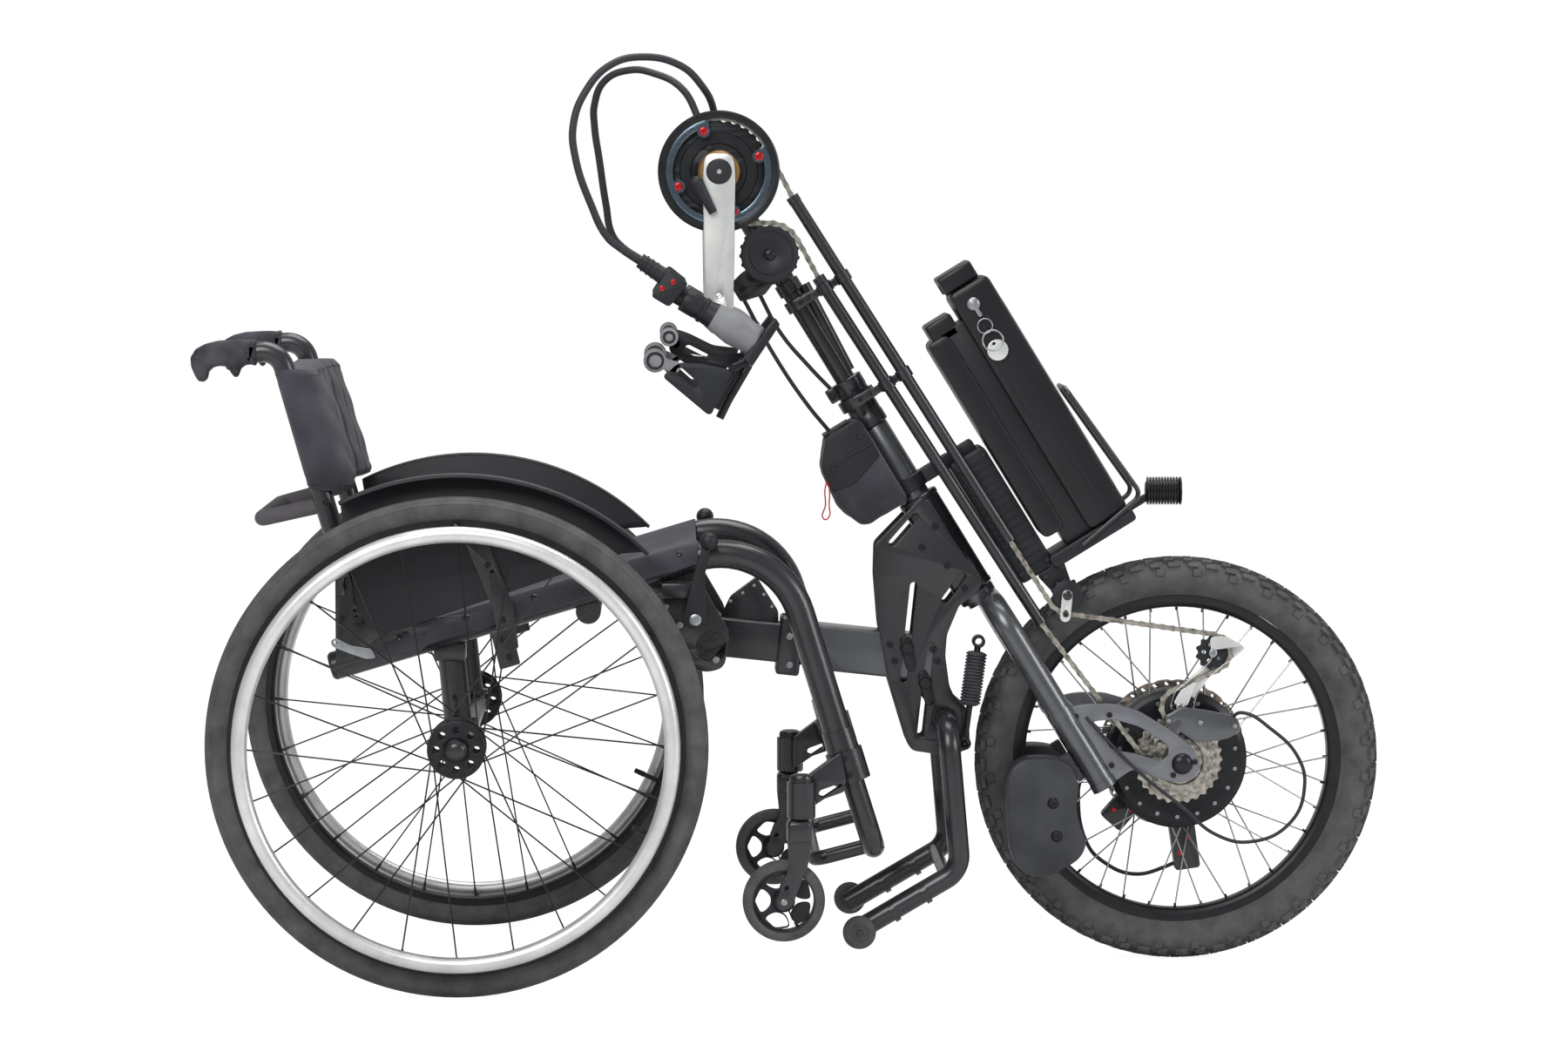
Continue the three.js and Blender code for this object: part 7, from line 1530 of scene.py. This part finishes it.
# Crank: two forged silver arms on one axle, a pedal spindle at each toe.
crank_place = steering @ Matrix.Translation((0, 0, crank_up)) @ level
arm_in, arm_out, crank_length, spindle_out = 66, 78, 178, 134
bm = bmesh.new()
arm_outline = [(-17, 22), (17, 22), (20, 0), (17, -187.5), (8.5, -197), (-8.5, -197), (-17, -187.5), (-20, 0)]
for side in (-1, 1):
    plate(bm, arm_outline, side * arm_in, side * arm_out, [ring(0, -150, 3.4, 18)], corner=13, edge=2.6)
    drum(bm, 0, -crank_length, side * arm_in, side * spindle_out, 7, segments=32)
drum(bm, 0, 0, -arm_in, arm_in, 10, segments=40)
piece(bm, "crank_arms", satin_silver, "crank", "silver", crank_place, "crankset")
bm = bmesh.new()
for side in (-1, 1):
    cap = [(3, 81), (9, 81), (14, 80.2), (15.6, arm_out), (3, 77.6), (3, 79)]
    turned(bm, [(radius, side * y) for radius, y in cap], steps=36)
    rod(bm, (-27, side * 83, -13), (-7, side * 82, -50), 7.6, 5.2, 28)
    bmesh.ops.create_uvsphere(bm, u_segments=24, v_segments=16, radius=7.8,
                              matrix=Matrix.Translation((-27, side * 83, -13)))
piece(bm, "crank_caps_and_levers", moulded_abs, "crank", "silver", crank_place, "crankset")

# Chainring: a machined black sprocket and disc in one, with short slots between its four bolts.
bolt_angles = [math.radians(20.6 + 90 * i) for i in range(4)]


def arc_slot(inner, outer, start, end, count=10):
    """An outline between two radii, from one angle to another."""
    turns = [start + (end - start) * i / count for i in range(count + 1)]
    return [polar(outer, turn) for turn in turns] + [polar(inner, turn) for turn in reversed(turns)]


bm = bmesh.new()
holes = [arc_slot(37, 42.5, at + 0.42, at + 1.0) for at in bolt_angles]
plate(bm, toothed(chainring_teeth), chain_y - tooth_half, chain_y + tooth_half,
      [*holes, ring(0, 0, 10.3, 36)], edge=0.35)
turned(bm, [(10.4, -52), (15, -52), (17, -50), (17, -48.6), (23, -48), (24, -47), (24, -43), (17, -42),
            (17, -38), (15, -36), (10.4, -36)], steps=48)
turned(bm, [(33, -46.6), (34.4, -47.6), (46.6, -47.6), (48, -46.6)], steps=72)
for at in bolt_angles:
    pad = bmesh.new()
    plate(pad, [(23, -4), (33.4, -4), (33.4, 4), (23, 4)], -47.4, -46.4, edge=0.3)
    add(bm, pad, Matrix.Rotation(-at, 4, "Y"))
piece(bm, "chainring_and_spider", black_alloy, "crank", "black_paint", crank_place, "chainring")
# Bronze bush: a warm, dull metal ring round the axle.
bronze, tree, shader, where = finish_of("sintered_bronze", "#8d6a42", 0.42, 0.85)
pores = node(tree, "TexNoise", {"Scale": metre / 1.4, "Detail": 4}, {"Vector": where})
dressed(tree, shader, pores, 0.08, pores, ("#745634", "#a58053"))
bm = bmesh.new()
turned(bm, [(10.4, -64), (22.6, -64), (25.4, -61), (25.4, -59), (22.6, -57), (14, -52), (10.4, -52)],
       steps=48)
piece(bm, "axle_bush", bronze, "crank", "black_paint", crank_place, "chainring")

# Chain guard: a turned black ring outside the chainring; a polished plate, cut away over the chain's
# upper run, carries it on four red bolts.
# Polished blued alloy: dark blue-grey and glossy, with a fine mottle.
blued_alloy, tree, shader, where = finish_of("polished_blued_alloy", "#55616c", 0.2, 0.95)
lines = node(tree, "TexNoise", {"Scale": metre / 2.4, "Detail": 5}, {"Vector": where})
dressed(tree, shader, lines, 0.04, lines, ("#434e58", "#6a7783"))
bm = bmesh.new()
turned(bm, [(64.4, -57.4), (65.6, -58), (72, -58), (74, -56.6), (74, -51.4), (72, -50), (65.6, -50),
            (64.4, -50.6)], steps=96)
piece(bm, "guard_rim", black_alloy, "crank", "black_paint", crank_place, "chain_guard")
bolt_circle, guard_face = 52, -56.9
bm = bmesh.new()
plate(bm, arc_slot(55.5, 65, bolt_angles[1] - 0.16, bolt_angles[0] + math.tau + 0.16, 60), -56.6, -51.6,
      edge=0.9)
for at in bolt_angles:
    drum(bm, *polar(bolt_circle, at), guard_face, -51.4, 8, segments=28)
    drum(bm, *polar(bolt_circle, at), -51.6, -47.2, 5, segments=24)
piece(bm, "guard_blued_plate", blued_alloy, "crank", "black_paint", crank_place, "chain_guard")
bm = bmesh.new()
for at in bolt_angles:
    screw(bm, *polar(bolt_circle, at), guard_face, -1, 5, 2.4)
piece(bm, "guard_bolts", red_alloy, "crank", "black_paint", crank_place, "chain_guard")

# Hand grips: a shaped rubber handle on each spindle, for a rider with little grip: control box on top,
# two wrist plates on a bent black steel rod, and a soft roller at each plate's root.
# Soft grey grip rubber: mid grey, matt and finely grained.
grey_rubber, tree, shader, where = finish_of("soft_grey_grip_rubber", "#6f7073", 0.68)
hide = node(tree, "TexVoronoi", {"Scale": metre / 1.1}, {"Vector": where})
cloud = node(tree, "TexNoise", {"Scale": metre / 33.3, "Detail": 5}, {"Vector": where})
dressed(tree, shader, hide, 0.2, cloud, ("#626366", "#7c7d80"), (0.3, 0.7))


grip_rear, grip_foot, grip_length, grip_height = -96, -118, 168, 188


def spot(along, up):
    """A place on the grip's side view, from its shares of length and height."""
    return grip_rear + grip_length * along, grip_foot + grip_height * up


grip_y, roller_in, roller_out = 128, 103, 153
slope = Matrix.Translation((0, grip_y, 0)) @ Matrix.Rotation(math.radians(30.6), 4, "Y") @ across
rollers = ((spot(0.11, 0.37), 14, spot(0.25, 0.33), 149), (spot(0.21, 0.52), 11, spot(0.26, 0.47), 103))
wrist_plates = ((105, [(0.21, 0.5), (0.26, 0.54), (0.36, 0.51), (0.54, 0.43), (0.74, 0.41), (0.67, 0.31),
                       (0.45, 0.36), (0.27, 0.39), (0.21, 0.42)], (0.35, 0.44), (0.48, 0.38)),
                (151, [(0.27, 0.36), (0.45, 0.35), (0.67, 0.31), (0.51, 0.03), (0.48, 0.03), (0.16, 0.27)],
                 (0.29, 0.3), (0.39, 0.22)))


def on_grip(along, up, off=0):
    """A place in the grip's middle plane, or beside it."""
    x, z = spot(along, up)
    return Vector((x, grip_y + off, z))


for name, side in sides:
    flip = crank_place @ Matrix.Translation((0, 0, -crank_length)) @ mirrored(side)
    hand = f"hand_{name}"
    bm = bmesh.new()
    profile = [(0, -8), (16.8, -8), (17.6, 0), (19.4, 10), (21, 20), (20.6, 28), (19, 40), (19.4, 47),
               (18.6, 51), (16, 52), (0, 52)]
    turned(bm, profile, slope, steps=44, closed=False)
    piece(bm, f"grip_body_{name}", grey_rubber, hand, "grey_grip", flip, f"grip_{name}", smooth=60)
    bm = bmesh.new()
    turned(bm, [(0, -66), (10, -66), (11, -65), (11, -50.5), (14.4, -50), (15, -49), (15, -31), (14.5, -30),
                (14.5, -26), (16, -24.6), (16, -21.4), (14.8, -20), (15.4, -14), (16.8, -8), (0, -8)], slope,
           steps=40, closed=False)
    plate(bm, [spot(a, u) for a, u in ((0.21, 0.96), (0.35, 0.86), (0.21, 0.71), (0.08, 0.78))], 106, 150,
          corner=5, edge=2.4)
    plate(bm, [spot(a, u) for a, u in ((0.97, 0.64), (1, 0.6), (0.8, 0.33), (0.74, 0.38))], 108, 148,
          corner=2, edge=1.4)
    drum(bm, 0, 0, 100, 118, 12, segments=32)
    for off in (-11, 11):
        start, end = on_grip(0.18, 0.89, off), on_grip(0, 1, off)
        way = (end - start).normalized()
        rod(bm, start, end, 9, 7.6, 28)
        for t in (0.4, 0.6, 0.8):
            at = start.lerp(end, t)
            rod(bm, at - way, at + way, 9.2, 9.2, 28)
    for y, shares, a, b in wrist_plates:
        plate(bm, [spot(*s) for s in shares], y - 2, y + 2, [slot(spot(*a), spot(*b), 9)], corner=6, edge=0.8)
    piece(bm, f"grip_control_box_{name}", moulded_abs, hand, "grey_grip", flip, f"grip_{name}")
    bm = bmesh.new()
    tube(bm, [on_grip(0.78, 0.34), on_grip(0.63, 0.11), on_grip(0.57, 0)], 5, 5)
    pin = spot(0.66, 0.32)
    drum(bm, *pin, roller_in, roller_out, 4.5, segments=24)
    plate(bm, slot(pin, spot(0.77, 0.36), 9), grip_y - 6, grip_y + 6, edge=0.8)
    piece(bm, f"grip_rod_{name}", black_steel, hand, "grey_grip", flip, f"grip_{name}")
    bm = bmesh.new()
    for (x, z), radius, root, y in rollers:
        turned(bm, [(0, roller_in), (radius - 3, roller_in), (radius - 1, 103.6), (radius, 105),
                    (radius, 151), (radius - 1, 152.4), (radius - 3, roller_out), (radius - 5, 152.2),
                    (0, 152.2)], Matrix.Translation((x, 0, z)), steps=40, closed=False)
        plate(bm, slot((x, z), root, radius), y, y + 4, edge=0.8)
    piece(bm, f"grip_rollers_{name}", grey_rubber, hand, "grey_grip", flip, f"grip_{name}", smooth=50)
    bm = bmesh.new()
    for (x, z), radius, *_ in rollers:
        for y, way in ((roller_out, 1), (roller_in, -1)):
            turned(bm, [(radius - 6.4, y - way), (radius - 6, y + way * 0.6), (radius - 3.4, y + way * 0.6),
                        (radius - 3, y - way)], Matrix.Translation((x, 0, z)), steps=40)
    piece(bm, f"grip_roller_rings_{name}", moulded_abs, hand, "grey_grip", flip, f"grip_{name}", smooth=50)
    bm = bmesh.new()
    for a, u in ((0.16, 0.83), (0.24, 0.87)):
        for y, way in ((150, 1), (106, -1)):
            screw(bm, *spot(a, u), y, way, 3, 1.2)
    piece(bm, f"grip_marks_{name}", red_alloy, hand, "grey_grip", flip, f"grip_{name}")

# Control cables: sleeved cable bundles that loop from the mast to the rear of each grip. On the real
# handcycle they flex as the cranks turn; here each is drawn in one fixed shape.
cable_radius = 4.5
cable_routes = {"right": [(287, -42, 1078), (262, -60, 1099), (219, -75, 1108), (180, -90, 1098),
                          (150, -100, 1066), (135, -108, 1024), (138, -112, 985), (156, -116, 931),
                          (176, -117, 891), (192, -117, 877.5), (214.1, -117, 862.5)],
                "left": [(266, 45, 1073), (231, 60, 1092), (202, 72, 1096), (171, 85, 1083), (158, 95, 1053),
                         (158, 102, 1028), (164, 108, 985), (172, 114, 930), (180, 117, 892),
                         (192, 117, 877.5), (214.1, 117, 862.5)]}
for name, side in sides:
    start, end = (chair.inverted() @ steering @ place for place in cable_glands[name])
    way = (end - start).normalized()
    bm = bmesh.new()
    tube(bm, [end + way * 0.3, end + way * 28, *cable_routes[name]], cable_radius, smooth=True)
    piece(bm, f"sleeved_cable_{name}", braided_sleeve, "steering", "rubber", chair, f"control_cable_{name}",
          smooth=60)
